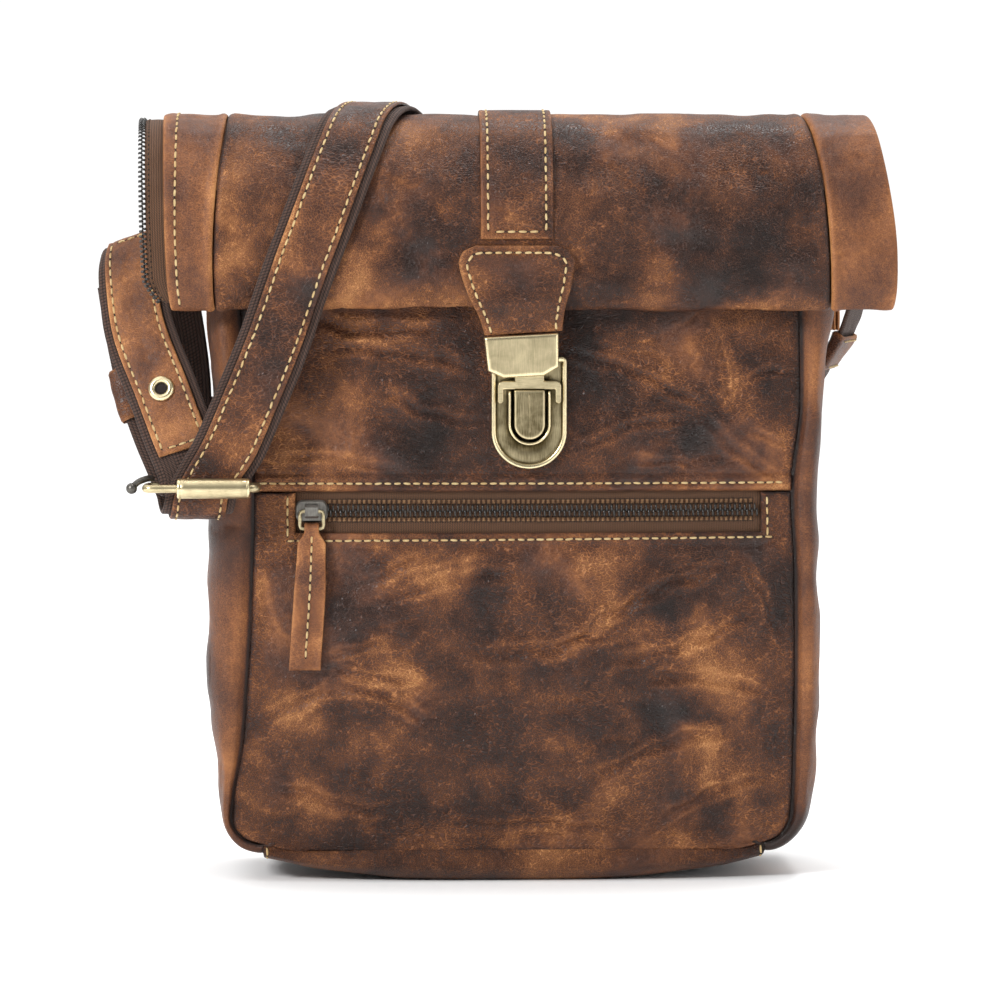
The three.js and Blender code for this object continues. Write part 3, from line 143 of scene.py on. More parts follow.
def along_edges(start: float, end: float, step: float, rim: float = 1.6) -> Array:
    """Spaces values evenly, with more of them close to both ends.

    Args:
        start: the first value.
        end: the last value.
        step: the spacing in the middle.
        rim: how far in the close values reach.

    Returns:
        The values, rising or falling.
    """
    way = math.copysign(1.0, end - start)
    close = rim * np.array([0.0, 0.07, 0.2, 0.4, 0.68, 1.0])
    length = abs(end - start)
    middle = np.linspace(rim, length - rim, max(int(length / step), 3) + 1)[1:-1]
    return start + way * np.concatenate([close, middle, length - close[::-1]])


def waves(s: Array, t: Array, seed: int, length: float, stretch: float = 1.0, turn: float = 0.0,
          count: int = 26) -> Array:
    """A smooth random field: plane waves of random directions and phases, added together.

    Args:
        s: first coordinate on the surface.
        t: second coordinate.
        seed: which field.
        length: the usual wave length.
        stretch: how many times shorter the waves are across the turned second axis.
        turn: the turn of the axes, in radians.
        count: how many waves.

    Returns:
        The field, with a spread of about one.
    """
    rng = np.random.default_rng(seed)
    angles = rng.uniform(0, 2 * np.pi, count)
    rates = 2 * np.pi / length * rng.uniform(0.55, 1.6, count)
    phases = rng.uniform(0, 2 * np.pi, count)
    a = s * math.cos(turn) + t * math.sin(turn)
    b = (t * math.cos(turn) - s * math.sin(turn)) * stretch
    total = np.zeros(np.broadcast(s, t).shape)
    for angle, rate, phase in zip(angles, rates, phases):
        total += np.cos(rate * (a * math.cos(angle) + b * math.sin(angle)) + phase)
    return total * math.sqrt(2 / count)


def ridges(field_values: Array, sharpness: float = 7.0) -> Array:
    """Thin ridges where a random field passes zero."""
    return np.exp(-sharpness * np.abs(field_values))


# Meshes

def add_piece(name: str, points: Array, faces: list[Array], finish: "Finish", slot: str, *nodes: str,
              marks: dict[str, Array] | None = None, body: str = BAG, smooth: bool = True) -> bpy.types.Object:
    """Makes a piece from points in millimetres, puts it on its body and reports it.

    Args:
        name: the piece's name.
        points: one row for each vertex.
        faces: one array of vertex numbers for each face size.
        finish: its finish.
        slot: a material slot's name; not used.
        nodes: the CAD nodes that it stands for, if any.
        marks: values for each vertex, as numbers or as vectors, by attribute name.
        body: the body that it rides on.
        smooth: whether faces shade smoothly.

    Returns:
        The object, in the scene.
    """
    mesh = bpy.data.meshes.new(name)
    polygons = [row.tolist() for group in faces for row in group]
    mesh.from_pydata((np.asarray(points) * METRE).tolist(), [], polygons)
    mesh.polygons.foreach_set("use_smooth", np.full(len(mesh.polygons), smooth))
    for mark, values in (marks or {}).items():
        kind, key = ("FLOAT_VECTOR", "vector") if values.ndim == 2 else ("FLOAT", "value")
        mesh.attributes.new(mark, kind, "POINT").data.foreach_set(key, values.astype(np.float32).ravel())
    mesh.materials.append(finish.material())
    mesh.update()
    piece = bpy.data.objects.new(name, mesh)
    bpy.context.scene.collection.objects.link(piece)
    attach(piece, body)
    if nodes:
        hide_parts(*nodes)
    log.info("%s: %d faces", name, len(mesh.polygons))
    return piece


def grid_quads(rows: int, columns: int, closed: bool = False) -> Array:
    """Numbers the quads of a grid whose rows run right, perhaps right round, and stack upwards."""
    index = np.arange(rows * columns).reshape(rows, columns)
    if closed:
        index = np.concatenate([index, index[:, :1]], axis=1)
    return np.stack([index[:-1, :-1], index[:-1, 1:], index[1:, 1:], index[1:, :-1]], axis=-1)


def grid_normals(points: Array, closed: bool = False) -> Array:
    """Outward directions of a grid of points, from the differences along its two ways."""
    if closed:
        right = np.roll(points, -1, axis=1) - np.roll(points, 1, axis=1)
    else:
        right = np.gradient(points, axis=1)
    return unit(np.cross(right, np.gradient(points, axis=0)))


def wall_faces(quads: Array, count: int) -> Array:
    """Closes a skin into a wall: the skin, its copy turned inwards and strips along all borders.

    Args:
        quads: the skin's faces, one row each.
        count: how many vertices the skin has. The inner copy's numbers start there.

    Returns:
        All faces. A border is an edge whose reverse no other face has.
    """
    edges = np.stack([quads, np.roll(quads, -1, axis=1)], axis=-1).reshape(-1, 2)
    keys = edges[:, 0] * count + edges[:, 1]
    border = edges[~np.isin(keys, edges[:, 1] * count + edges[:, 0])]
    strips = np.stack([border[:, 1], border[:, 0], border[:, 0] + count, border[:, 1] + count], axis=1)
    return np.vstack([quads, quads[:, ::-1] + count, strips])


def tube_faces(rings: int, sides: int, closed: bool = False) -> list[Array]:
    """Faces of a tube: quads between rings, and one flat end on each side unless it closes.

    Args:
        rings: how many rings of points.
        sides: how many points in a ring.
        closed: whether the last ring joins the first.

    Returns:
        The quads, and the two ends where there are any.
    """
    index = np.arange(rings * sides).reshape(rings, sides)
    if closed:
        index = np.vstack([index, index[:1]])
    turned = np.roll(index, -1, axis=1)
    quads = np.stack([index[:-1], turned[:-1], turned[1:], index[1:]], axis=-1).reshape(-1, 4)
    if closed:
        return [quads]
    return [quads, index[:1, ::-1], index[-1:]]


def swept_tube(centres: Array, radius: Array | float, sides: int, up: Place,
               closed: bool = False) -> Array:
    """Rings of points round a path: centre plus radius times cosine and sine of two cross directions.

    Args:
        centres: the path's points.
        radius: one radius, or one for each point.
        sides: points in a ring.
        up: a direction that the path never follows.
        closed: whether the path closes on itself.

    Returns:
        The points, ring after ring.
    """
    if closed:
        way = np.roll(centres, -1, axis=0) - np.roll(centres, 1, axis=0)
    else:
        way = np.gradient(centres, axis=0)
    side = unit(np.cross(unit(way), np.array(up, float)))
    over = unit(np.cross(side, way))
    angle = np.linspace(0, 2 * np.pi, sides, endpoint=False)
    size = np.broadcast_to(radius, len(centres))[:, None, None]
    ring = (side[:, None, :] * np.cos(angle)[None, :, None] + over[:, None, :] * np.sin(angle)[None, :, None])
    return (centres[:, None, :] + size * ring).reshape(-1, 3)


# Shader tools

@dataclass
class Nodes:
    """Short hands for making and joining shader nodes in one tree."""

    tree: bpy.types.NodeTree

    def add(self, kind: str, **settings: object) -> bpy.types.Node:
        """Adds a node and sets its properties."""
        node = self.tree.nodes.new(kind)
        for name, value in settings.items():
            setattr(node, name, value)
        return node

    def put(self, socket: bpy.types.NodeSocket, value: object) -> None:
        """Joins a socket to another one, or sets its own value."""
        if isinstance(value, bpy.types.NodeSocket):
            self.tree.links.new(value, socket)
        elif value is not None:
            socket.default_value = value

    def maths(self, operation: str, *values: object, clamp: bool = False) -> bpy.types.NodeSocket:
        """Works a number out from others."""
        node = self.add("ShaderNodeMath", operation=operation, use_clamp=clamp)
        for socket, value in zip(node.inputs, values):
            self.put(socket, value)
        return node.outputs[0]

    def vector(self, operation: str, *values: object) -> bpy.types.NodeSocket:
        """Works a vector out from others."""
        node = self.add("ShaderNodeVectorMath", operation=operation)
        for socket, value in zip([s for s in node.inputs if s.type == "VECTOR"], values):
            self.put(socket, value)
        return node.outputs[0]

    def noise(self, place: object, scale: float, detail: float = 4.0, rough: float = 0.55,
              warp: float = 0.0) -> bpy.types.NodeSocket:
        """Cloudy noise from 0 to 1 at a place."""
        node = self.add("ShaderNodeTexNoise")
        self.fill(node, Vector=place, Scale=scale, Detail=detail, Roughness=rough, Distortion=warp)
        return node.outputs[0]

    def shifted(self, place: object, scale: float, detail: float, amount: float
                ) -> bpy.types.NodeSocket:
        """A place moved by coloured noise of some scale and detail, times an amount."""
        noise = self.add("ShaderNodeTexNoise")
        self.fill(noise, Vector=place, Scale=scale, Detail=detail)
        moved = self.add("ShaderNodeVectorMath", operation="MULTIPLY_ADD")
        for socket, value in zip(moved.inputs, (noise.outputs["Color"], (amount,) * 3, place)):
            self.put(socket, value)
        return moved.outputs[0]

    def cell_edge(self, place: object, scale: object) -> bpy.types.NodeSocket:
        """Distance from the nearest border between random cells."""
        node = self.add("ShaderNodeTexVoronoi", feature="DISTANCE_TO_EDGE")
        self.fill(node, Vector=place, Scale=scale)
        return node.outputs["Distance"]

    def remap(self, value: object, low: float, high: float, to_low: float = 0.0,
              to_high: float = 1.0) -> bpy.types.NodeSocket:
        """Maps a range of values to another, with smooth ends."""
        node = self.add("ShaderNodeMapRange", interpolation_type="SMOOTHSTEP")
        for socket, number in zip(node.inputs, (value, low, high, to_low, to_high)):
            self.put(socket, number)
        return node.outputs[0]

    def ramp(self, value: object, stops: tuple[tuple[float, Colour], ...]
             ) -> bpy.types.NodeSocket:
        """Reads a colour from stops of place and colour."""
        node = self.add("ShaderNodeValToRGB")
        elements = node.color_ramp.elements
        while len(elements) < len(stops):
            elements.new(0.5)
        for element, (place, colour) in zip(elements, stops):
            element.position = place
            element.color = (*colour, 1.0)
        self.put(node.inputs[0], value)
        return node.outputs[0]

    def mix(self, share: object, first: object, second: object) -> bpy.types.NodeSocket:
        """Mixes two colours by a share."""
        node = self.add("ShaderNodeMix", data_type="RGBA")
        colours = [s for s in node.inputs if s.type == "RGBA"]
        self.put(node.inputs[0], share)
        self.put(colours[0], first)
        self.put(colours[1], second)
        return next(s for s in node.outputs if s.type == "RGBA")

    def fill(self, node: bpy.types.Node, **values: object) -> None:
        """Joins or sets a node's inputs by name, where an underscore stands for a space."""
        for name, value in values.items():
            self.put(node.inputs[name.replace("_", " ")], value)

    def split(self, value: object) -> list[bpy.types.NodeSocket]:
        """The three numbers of a vector."""
        node = self.add("ShaderNodeSeparateXYZ")
        self.put(node.inputs[0], value)
        return list(node.outputs)

    def bump(self, shader: bpy.types.Node, height: object, depth: float, strength: float) -> None:
        """Bends a shader's normal by a height whose unit is a depth in metres."""
        node = self.add("ShaderNodeBump")
        self.fill(node, Distance=depth, Strength=strength, Height=height)
        self.put(shader.inputs["Normal"], node.outputs["Normal"])

    def place(self) -> bpy.types.NodeSocket:
        """The point's own place on the object, in metres."""
        return self.add("ShaderNodeTexCoord").outputs["Object"]

    def mark(self, name: str, vector: bool = False) -> bpy.types.NodeSocket:
        """Reads an attribute of the piece."""
        node = self.add("ShaderNodeAttribute", attribute_name=name)
        return node.outputs["Vector" if vector else "Fac"]


def start_group(name: str, inputs: dict[str, object], outputs: dict[str, str]
                ) -> tuple[Nodes, bpy.types.Node, bpy.types.Node]:
    """Starts a shader node group with named sockets.

    Args:
        name: the group's name.
        inputs: default values by socket name. A tuple of four is a colour, of three a vector.
        outputs: socket kinds by name.

    Returns:
        The group's nodes, its input node and its output node.
    """
    tree = bpy.data.node_groups.new(name, "ShaderNodeTree")
    kinds = {1: "NodeSocketFloat", 3: "NodeSocketVector", 4: "NodeSocketColor"}
    for socket_name, value in inputs.items():
        size = len(value) if isinstance(value, tuple) else 1
        socket = tree.interface.new_socket(socket_name, in_out="INPUT", socket_type=kinds[size])
        socket.default_value = value
    for socket_name, kind in outputs.items():
        tree.interface.new_socket(socket_name, in_out="OUTPUT", socket_type=kind)
    nodes = Nodes(tree)
    return nodes, nodes.add("NodeGroupInput"), nodes.add("NodeGroupOutput")


def leather_group() -> bpy.types.NodeTree:
    """Pull-up leather: clouds of tone, a web of fine ridges round small cells, pores and wear.

    Returns:
        The group. Tone moves the colour from dark to tan, Wear lightens edges and creases.
    """
    nodes, given, out = start_group(
        "pull_up_leather",
        {"Tone": 0.0, "Wear": 0.0, "Contrast": 1.0, "Cells": 800.0, "Web": 1.0, "Shift": (0.0, 0.0, 0.0)},
        {"Color": "NodeSocketColor", "Roughness": "NodeSocketFloat", "Height": "NodeSocketFloat"},
    )
    place = nodes.vector("ADD", nodes.place(), given.outputs["Shift"])
    bent = nodes.shifted(place, 38.0, 1.0, 0.016)
    cloud = nodes.noise(bent, 19.0, 3.0, 0.58)
    patch = nodes.noise(bent, 62.0, 3.0, 0.62)
    fine = nodes.noise(place, 620.0, 1.0, 0.6)

    jittered = nodes.shifted(place, 330.0, 0.0, 0.0022)
    drawn_out = nodes.vector("MULTIPLY", jittered, (0.5, 0.9, 1.15))
    drawn = nodes.remap(nodes.noise(place, 31.0, 1.0), 0.46, 0.56)
    edge = nodes.maths(
        "ADD", nodes.maths("MULTIPLY", nodes.cell_edge(jittered, given.outputs["Cells"]),
                           nodes.maths("SUBTRACT", 1.0, drawn)),
        nodes.maths("MULTIPLY", nodes.cell_edge(drawn_out, given.outputs["Cells"]), drawn))
    smooth = nodes.remap(nodes.noise(bent, 24.0, 1.0), 0.54, 0.68)
    web = nodes.remap(edge, 0.0, 0.15, 1.0, 0.0)
    web = nodes.maths("MULTIPLY", web, nodes.maths("MULTIPLY_ADD", smooth, -0.75, 1.0))
    ripple = nodes.noise(nodes.vector("MULTIPLY", bent, (1.0, 1.0, 0.45)), 230.0, 2.0, 0.6)

    def centred(value: object, amount: object) -> bpy.types.NodeSocket:
        """A noise value about zero, times an amount."""
        return nodes.maths("MULTIPLY", nodes.maths("SUBTRACT", value, 0.5), amount)

    value = nodes.maths("MULTIPLY_ADD", given.outputs["Tone"], 0.38, 0.43)
    value = nodes.maths("ADD", value, nodes.maths("MULTIPLY", centred(cloud, 1.45), given.outputs["Contrast"]))
    value = nodes.maths("ADD", value, nodes.maths("MULTIPLY", centred(patch, 0.75), given.outputs["Contrast"]))
    value = nodes.maths("ADD", value, centred(fine, 0.2))
    value = nodes.maths("ADD", value, centred(ripple, 0.16))
    webbed = nodes.maths("MULTIPLY", given.outputs["Web"], nodes.maths("MULTIPLY_ADD", web, 0.29, -0.10))
    value = nodes.maths("ADD", value, webbed)
    value = nodes.maths("MULTIPLY_ADD", given.outputs["Wear"], 0.34, value, clamp=True)
    colour = nodes.ramp(value, (
        (0.0, (0.009, 0.0042, 0.0030)),
        (0.22, (0.024, 0.0090, 0.0052)),
        (0.42, (0.068, 0.0225, 0.0095)),
        (0.60, (0.150, 0.052, 0.0175)),
        (0.78, (0.275, 0.105, 0.0340)),
        (1.0, (0.480, 0.220, 0.0800)),
    ))
    nodes.put(out.inputs["Color"], colour)
    rough = nodes.maths("MULTIPLY_ADD", value, 0.28, 0.36)
    rough = nodes.maths("ADD", rough, centred(fine, 0.16))
    rough = nodes.maths("MULTIPLY_ADD", smooth, -0.07, rough)
    nodes.put(out.inputs["Roughness"], nodes.maths("MULTIPLY_ADD", web, -0.05, rough))
    height = nodes.maths("MULTIPLY", web, nodes.maths("MULTIPLY", given.outputs["Web"], -0.9))
    height = nodes.maths("ADD", height, centred(fine, 0.55))
    height = nodes.maths("ADD", height, centred(ripple, 0.9))
    nodes.put(out.inputs["Height"], height)
    return nodes.tree


def weave_group() -> bpy.types.NodeTree:
    """Woven threads: two sets of round ribs that pass over each other in turn.

    Returns:
        The group. Flow gives millimetres across and along, Thread a thread's width. Shade is painted shade: low in the
        gaps between threads, high on their crowns.
    """
    nodes, given, out = start_group(
        "woven_threads", {"Flow": (0.0, 0.0, 0.0), "Thread": 0.9, "Slant": 0.5},
        {"Height": "NodeSocketFloat", "Shade": "NodeSocketFloat"},
    )
    across, along = (nodes.maths("DIVIDE", part, given.outputs["Thread"])
                     for part in nodes.split(given.outputs["Flow"])[:2])
    zigzag = nodes.maths("PINGPONG", across, 4.0)
    diagonal = nodes.maths("ADD", along, nodes.maths("MULTIPLY", zigzag, given.outputs["Slant"]))
    rib = nodes.maths("ABSOLUTE", nodes.maths("SINE", nodes.maths("MULTIPLY", diagonal, math.pi)))
    thread = nodes.maths("ABSOLUTE", nodes.maths("SINE", nodes.maths("MULTIPLY", across, math.pi)))
    height = nodes.maths("MULTIPLY", nodes.maths("POWER", rib, 0.6), nodes.maths("POWER", thread, 0.5))
    fuzz = nodes.noise(given.outputs["Flow"], 2.2, 3.0, 0.7)
    nodes.put(out.inputs["Height"], nodes.maths("MULTIPLY_ADD", fuzz, 0.35, height))
    nodes.put(out.inputs["Shade"], nodes.maths("MULTIPLY", height, nodes.maths("ADD", fuzz, 0.45)))
    return nodes.tree


def metal_group() -> bpy.types.NodeTree:
    """Brushed antique metal: fine strokes, cloudy tarnish, and bright worn edges.

    Returns:
        The group. Strokes are long along the direction in which Brush is small.
    """
    nodes, given, out = start_group(
        "antique_metal",
        {"Bright": (0.8, 0.7, 0.45, 1.0), "Tarnish": (0.2, 0.16, 0.09, 1.0), "Age": 0.5, "Wear": 0.0,
         "Brush": (1.0, 1.0, 0.05)},
        {"Color": "NodeSocketColor", "Roughness": "NodeSocketFloat", "Height": "NodeSocketFloat"},
    )
    place = nodes.place()
    strokes = nodes.noise(nodes.vector("MULTIPLY", place, given.outputs["Brush"]), 5200.0, 2.0, 0.6)
    cloud = nodes.noise(place, 130.0, 4.0, 0.6, 0.5)
    specks = nodes.noise(place, 900.0, 2.0, 0.6)
    age = nodes.maths("ADD", given.outputs["Age"], nodes.maths(
        "MULTIPLY", nodes.maths("SUBTRACT", cloud, 0.5), 0.9))
    age = nodes.maths("ADD", age, nodes.maths("MULTIPLY", nodes.maths("SUBTRACT", strokes, 0.5), 0.7))
    age = nodes.maths("SUBTRACT", age, given.outputs["Wear"], clamp=True)
    nodes.put(out.inputs["Color"], nodes.mix(age, given.outputs["Bright"], given.outputs["Tarnish"]))
    rough = nodes.maths("MULTIPLY_ADD", age, 0.16, 0.2)
    rough = nodes.maths("ADD", rough, nodes.maths("MULTIPLY", strokes, 0.12))
    nodes.put(out.inputs["Roughness"], nodes.maths("MULTIPLY_ADD", specks, 0.05, rough))
    nodes.put(out.inputs["Height"], nodes.maths("MULTIPLY_ADD", strokes, 0.6, nodes.maths(
        "MULTIPLY", specks, 0.4)))
    return nodes.tree


GROUPS: dict[str, bpy.types.NodeTree] = {}


def shared_group(maker: Callable[[], bpy.types.NodeTree]) -> bpy.types.NodeTree:
    """Returns a node group, made on its first use."""
    if maker.__name__ not in GROUPS:
        GROUPS[maker.__name__] = maker()
    return GROUPS[maker.__name__]


class Finish:
    """A finish that makes its material once."""

    name: str

    def dress(self, nodes: Nodes, shader: bpy.types.Node) -> None:
        """Joins the finish's own nodes to the shader."""
        raise NotImplementedError

    def place_group(self, nodes: Nodes, maker: Callable[[], bpy.types.NodeTree],
                    shader: bpy.types.Node, depth: float, strength: float) -> bpy.types.Node:
        """Places a shared group and joins its outputs to the shader.

        Args:
            nodes: the material's nodes.
            maker: the function that makes the group.
            shader: the Principled shader.
            depth: the relief's height in metres.
            strength: the relief's strength.

        Returns:
            The group's node.
        """
        group = nodes.add("ShaderNodeGroup", node_tree=shared_group(maker))
        nodes.bump(shader, group.outputs["Height"], depth, strength)
        for output, socket in (("Color", "Base Color"), ("Roughness", "Roughness")):
            if output in group.outputs:
                nodes.put(shader.inputs[socket], group.outputs[output])
        return group

    def material(self) -> bpy.types.Material:
        """Returns the material, made on the first call."""
        found = bpy.data.materials.get(self.name)
        if found:
            return found
        made = bpy.data.materials.new(self.name)
        made.use_nodes = True
        made.node_tree.nodes.clear()
        nodes = Nodes(made.node_tree)
        shader = nodes.add("ShaderNodeBsdfPrincipled")
        output = nodes.add("ShaderNodeOutputMaterial")
        nodes.put(output.inputs["Surface"], shader.outputs["BSDF"])
        self.dress(nodes, shader)
        return made


@dataclass(frozen=True)
class Leather(Finish):
    """Waxed pull-up leather in one of its tones."""

    name: str
    tone: float = 0.0
    contrast: float = 1.0
    cells: float = 800.0
    web: float = 1.0
    relief: float = 0.85
    shift: float = 0.0

    def dress(self, nodes: Nodes, shader: bpy.types.Node) -> None:
        """Colour, gloss and grain from the shared leather, moved by the piece's own tone and wear."""
        group = self.place_group(nodes, leather_group, shader, 0.00042, self.relief)
        nodes.fill(group, Tone=nodes.maths("ADD", nodes.mark("tone"), self.tone), Wear=nodes.mark("wear"),
                   Contrast=self.contrast, Cells=self.cells, Web=self.web,
                   Shift=(self.shift, 0.37 * self.shift, -0.21 * self.shift))
        nodes.fill(shader, Specular_IOR_Level=0.34)


@dataclass(frozen=True)
class Woven(Finish):
    """Woven cloth whose threads follow the piece."""

    name: str
    dark: Colour
    light: Colour
    thread: float = 0.9
    slant: float = 0.5
    depth: float = 0.0004

    def dress(self, nodes: Nodes, shader: bpy.types.Node) -> None:
        """Threads with painted shade in the gaps between them and lighter crowns."""
        group = self.place_group(nodes, weave_group, shader, self.depth, 0.9)
        nodes.fill(group, Flow=nodes.mark("flow", vector=True), Thread=self.thread, Slant=self.slant)
        shade = nodes.ramp(group.outputs["Shade"], ((0.08, self.dark), (0.8, self.light)))
        nodes.fill(shader, Base_Color=shade, Roughness=0.85, Sheen_Weight=0.05, Sheen_Roughness=0.4)


@dataclass(frozen=True)
class Thread(Finish):
    """Waxed sewing thread, a little different in each stitch."""

    name: str
    light: Colour
    dark: Colour

    def dress(self, nodes: Nodes, shader: bpy.types.Node) -> None:
        """A twisted strand: slanted ribs along the stitch, and a colour of its own for each stitch."""
        turn, along, _ = nodes.split(nodes.mark("flow", vector=True))
        slant = nodes.maths("MULTIPLY_ADD", turn, 2.2, along)
        ribs = nodes.maths("SINE", nodes.maths("MULTIPLY", slant, 9.0))
        nodes.bump(shader, ribs, 0.00012, 0.8)
        soil = nodes.noise(nodes.place(), 160.0, 3.0, 0.6)
        share = nodes.maths("ADD", nodes.mark("tone"), nodes.maths("MULTIPLY", soil, 0.6), clamp=True)
        # Painted shade: the colour is a little darker in the grooves between the twist's ribs.
        share = nodes.maths("MULTIPLY_ADD", ribs, -0.08, share, clamp=True)
        colour = nodes.ramp(share, ((0.1, self.light), (0.95, self.dark)))
        nodes.fill(shader, Base_Color=colour, Roughness=0.62)


@dataclass(frozen=True)
class Metal(Finish):
    """Antique brass or dark nickel with worn bright edges."""

    name: str
    bright: Colour = (0.80, 0.68, 0.42)
    tarnish: Colour = (0.115, 0.09, 0.045)
    age: float = 0.42
    brush: Place = (1.0, 1.0, 0.04)

    def dress(self, nodes: Nodes, shader: bpy.types.Node) -> None:
        """Colour, gloss and strokes from the shared metal, brighter where the piece is worn."""
        group = self.place_group(nodes, metal_group, shader, 0.00003, 0.35)
        nodes.fill(group, Bright=(*self.bright, 1.0), Tarnish=(*self.tarnish, 1.0), Age=self.age,
                   Brush=self.brush, Wear=nodes.mark("wear"))
        nodes.fill(shader, Metallic=1.0)


@dataclass(frozen=True)
class Nylon(Finish):
    """Glossy black nylon of the zip teeth."""

    name: str

    def dress(self, nodes: Nodes, shader: bpy.types.Node) -> None:
        """Near black, a little dusty in places."""
        dust = nodes.noise(nodes.place(), 300.0, 3.0, 0.6)
        colour = nodes.ramp(dust, ((0.35, (0.006, 0.0055, 0.005)), (0.8, (0.03, 0.025, 0.02))))
        nodes.fill(shader, Base_Color=colour, Roughness=nodes.remap(dust, 0.3, 0.8, 0.2, 0.42))


@dataclass(frozen=True)
class Shadow(Finish):
    """Painted shade: a near-black stand-in for the shade inside needle and rivet holes."""

    name: str

    def dress(self, nodes: Nodes, shader: bpy.types.Node) -> None:
        """Dark and matt."""
        nodes.fill(shader, Base_Color=(0.012, 0.006, 0.004, 1.0), Roughness=0.9)


BODY = Leather("leather_body", tone=0.02, cells=920.0)
UPPER = Leather("leather_upper", tone=-0.12, cells=920.0, shift=0.6)
FLAP = Leather("leather_flap", tone=0.0, cells=1150.0, shift=1.3)
SIDE = Leather("leather_side", tone=0.22, contrast=0.38, cells=1350.0, web=0.5, relief=0.45, shift=2.1)
TRIM = Leather("leather_trim", tone=0.05, contrast=0.8, cells=1050.0, shift=3.0)
STRAP = Leather("leather_strap", tone=-0.12, contrast=0.75, cells=850.0, web=0.9, relief=0.8, shift=4.2)
PULLER = Leather("leather_puller", tone=-0.1, contrast=0.5, cells=1000.0, web=0.5, relief=0.4, shift=6.0)
TAN = Leather("leather_tan", tone=0.45, contrast=0.45, cells=1300.0, web=0.6, relief=0.5, shift=5.1)
WEBBING = Woven("webbing_cloth", (0.005, 0.0026, 0.0020), (0.075, 0.038, 0.026), thread=1.4, slant=0.7,
                depth=0.0004)
TAPE = Woven("tape_cloth", (0.010, 0.0045, 0.0025), (0.125, 0.055, 0.023), thread=1.0, slant=1.0,
             depth=0.0003)
CREAM = Thread("thread_cream", (1.0, 0.78, 0.40), (0.72, 0.44, 0.17))
BROWN = Thread("thread_brown", (0.20, 0.10, 0.045), (0.07, 0.032, 0.015))
TAN_THREAD = Thread("thread_tan", (0.46, 0.25, 0.11), (0.18, 0.085, 0.04))
BRASS = Metal("brass_antique")
BRASS_SATIN = Metal("brass_satin", age=0.86)
BRASS_BAR = Metal("brass_bar", age=0.35, brush=(0.05, 1.0, 1.0))
NICKEL = Metal("nickel_dark", bright=(0.42, 0.40, 0.36), tarnish=(0.05, 0.045, 0.04), age=0.7)
TEETH = Nylon("nylon_black")
HOLE_SHADE = Shadow("needle_hole_shade")


# The bag's form, as in the CAD

EDGE_COLUMNS = "seam height side side_height tuck"
LEFT_EDGES = Table(
    EDGE_COLUMNS,
    (0.690, 0.0513, 0.690, 0.0513, 0), (0.756, 0.0546, 0.756, 0.0546, 0), (0.826, 0.0639, 0.831, 0.0437, 0),
    (0.884, 0.0739, 0.902, 0.0555, 0), (0.922, 0.1020, 0.953, 0.0950, 0), (0.917, 0.1510, 0.966, 0.1560, 0),
    (0.888, 0.2440, 0.982, 0.2440, 0), (0.872, 0.3490, 1.000, 0.3490, 0), (0.853, 0.5420, 0.998, 0.5420, 0),
    (0.849, 0.6810, 0.992, 0.6810, 0), (0.870, 0.8320, 0.973, 0.8320, 0), (0.890, 1.000, 1.004, 1.000, 0.18),
    (0.890, 1.101, 0.984, 1.101, 0.20), (0.882, 1.202, 0.937, 1.202, 0.20),
)
RIGHT_EDGES = Table(
    EDGE_COLUMNS,
    (0.690, 0.0513, 0.690, 0.0513, 0), (0.756, 0.0546, 0.756, 0.0546, 0), (0.818, 0.0639, 0.825, 0.0445, 0),
    (0.863, 0.0739, 0.890, 0.0567, 0), (0.897, 0.1020, 0.951, 0.0945, 0), (0.906, 0.1510, 0.978, 0.1510, 0),
    (0.910, 0.2440, 0.997, 0.2440, 0), (0.913, 0.3490, 1.000, 0.3490, 0), (0.910, 0.5420, 0.995, 0.5420, 0),
    (0.898, 0.6810, 0.992, 0.6810, 0), (0.928, 0.8320, 1.009, 0.8320, 0), (0.924, 1.000, 1.039, 1.000, 0.18),
    (0.923, 1.101, 1.016, 1.101, 0.20), (0.913, 1.202, 0.961, 1.202, 0.20),
)
FRONT = Table(
    "height seam middle",
    (0.050, 0.82, 0.90), (0.168, 0.87, 1.04), (0.378, 0.90, 1.09), (0.546, 0.90, 1.06),
    (0.693, 0.885, 1.01), (0.840, 0.87, 0.99), (1.000, 0.846, 0.95), (1.220, 0.77, 0.82),
)
WRAP = np.array([
    (0.92, 0.041, 0.820, 0.820, 0.860, 0.860), (0.99, 0.072, 0.880, 0.880, 0.920, 0.920),
    (1.05, 0.190, 0.893, 0.893, 0.940, 0.940), (1.09, 0.380, 0.890, 0.890, 0.950, 0.950),
    (1.06, 0.570, 0.890, 0.890, 0.970, 0.970), (0.95, 0.722, 0.890, 0.898, 1.000, 1.030),
    (0.76, 0.835, 0.898, 0.906, 1.071, 1.094), (0.41, 0.934, 0.909, 0.917, 1.118, 1.126),
    (-0.02, 0.987, 0.920, 0.929, 1.130, 1.138), (-0.50, 1.000, 0.924, 0.931, 1.134, 1.148),
    (-0.93, 0.980, 0.933, 0.949, 1.132, 1.165), (-1.19, 0.921, 0.953, 0.980, 1.130, 1.193),
    (-1.28, 0.842, 0.968, 1.000, 1.126, 1.220), (-1.277, 0.774, 0.968, 1.006, 1.117, 1.223),
    (-1.157, 0.747, 0.962, 1.008, 1.106, 1.214), (-1.035, 0.774, 0.956, 1.004, 1.100, 1.205),
    (-1.015, 0.835, 0.947, 0.996, 1.106, 1.200), (-0.965, 0.902, 0.935, 0.982, 1.112, 1.185),
])
GUSSET = np.array([
    (0, 0, 0), (0, 0.25, 0.75), (0.01, 0.60, 0.9), (0.09, 0.93, 0.4), (0.27, 1, 0), (0.5, 0.955, 0),
    (0.73, 1, 0), (0.91, 0.93, -0.4), (0.99, 0.60, -0.9), (1, 0.25, -0.75), (1, 0, 0),
])
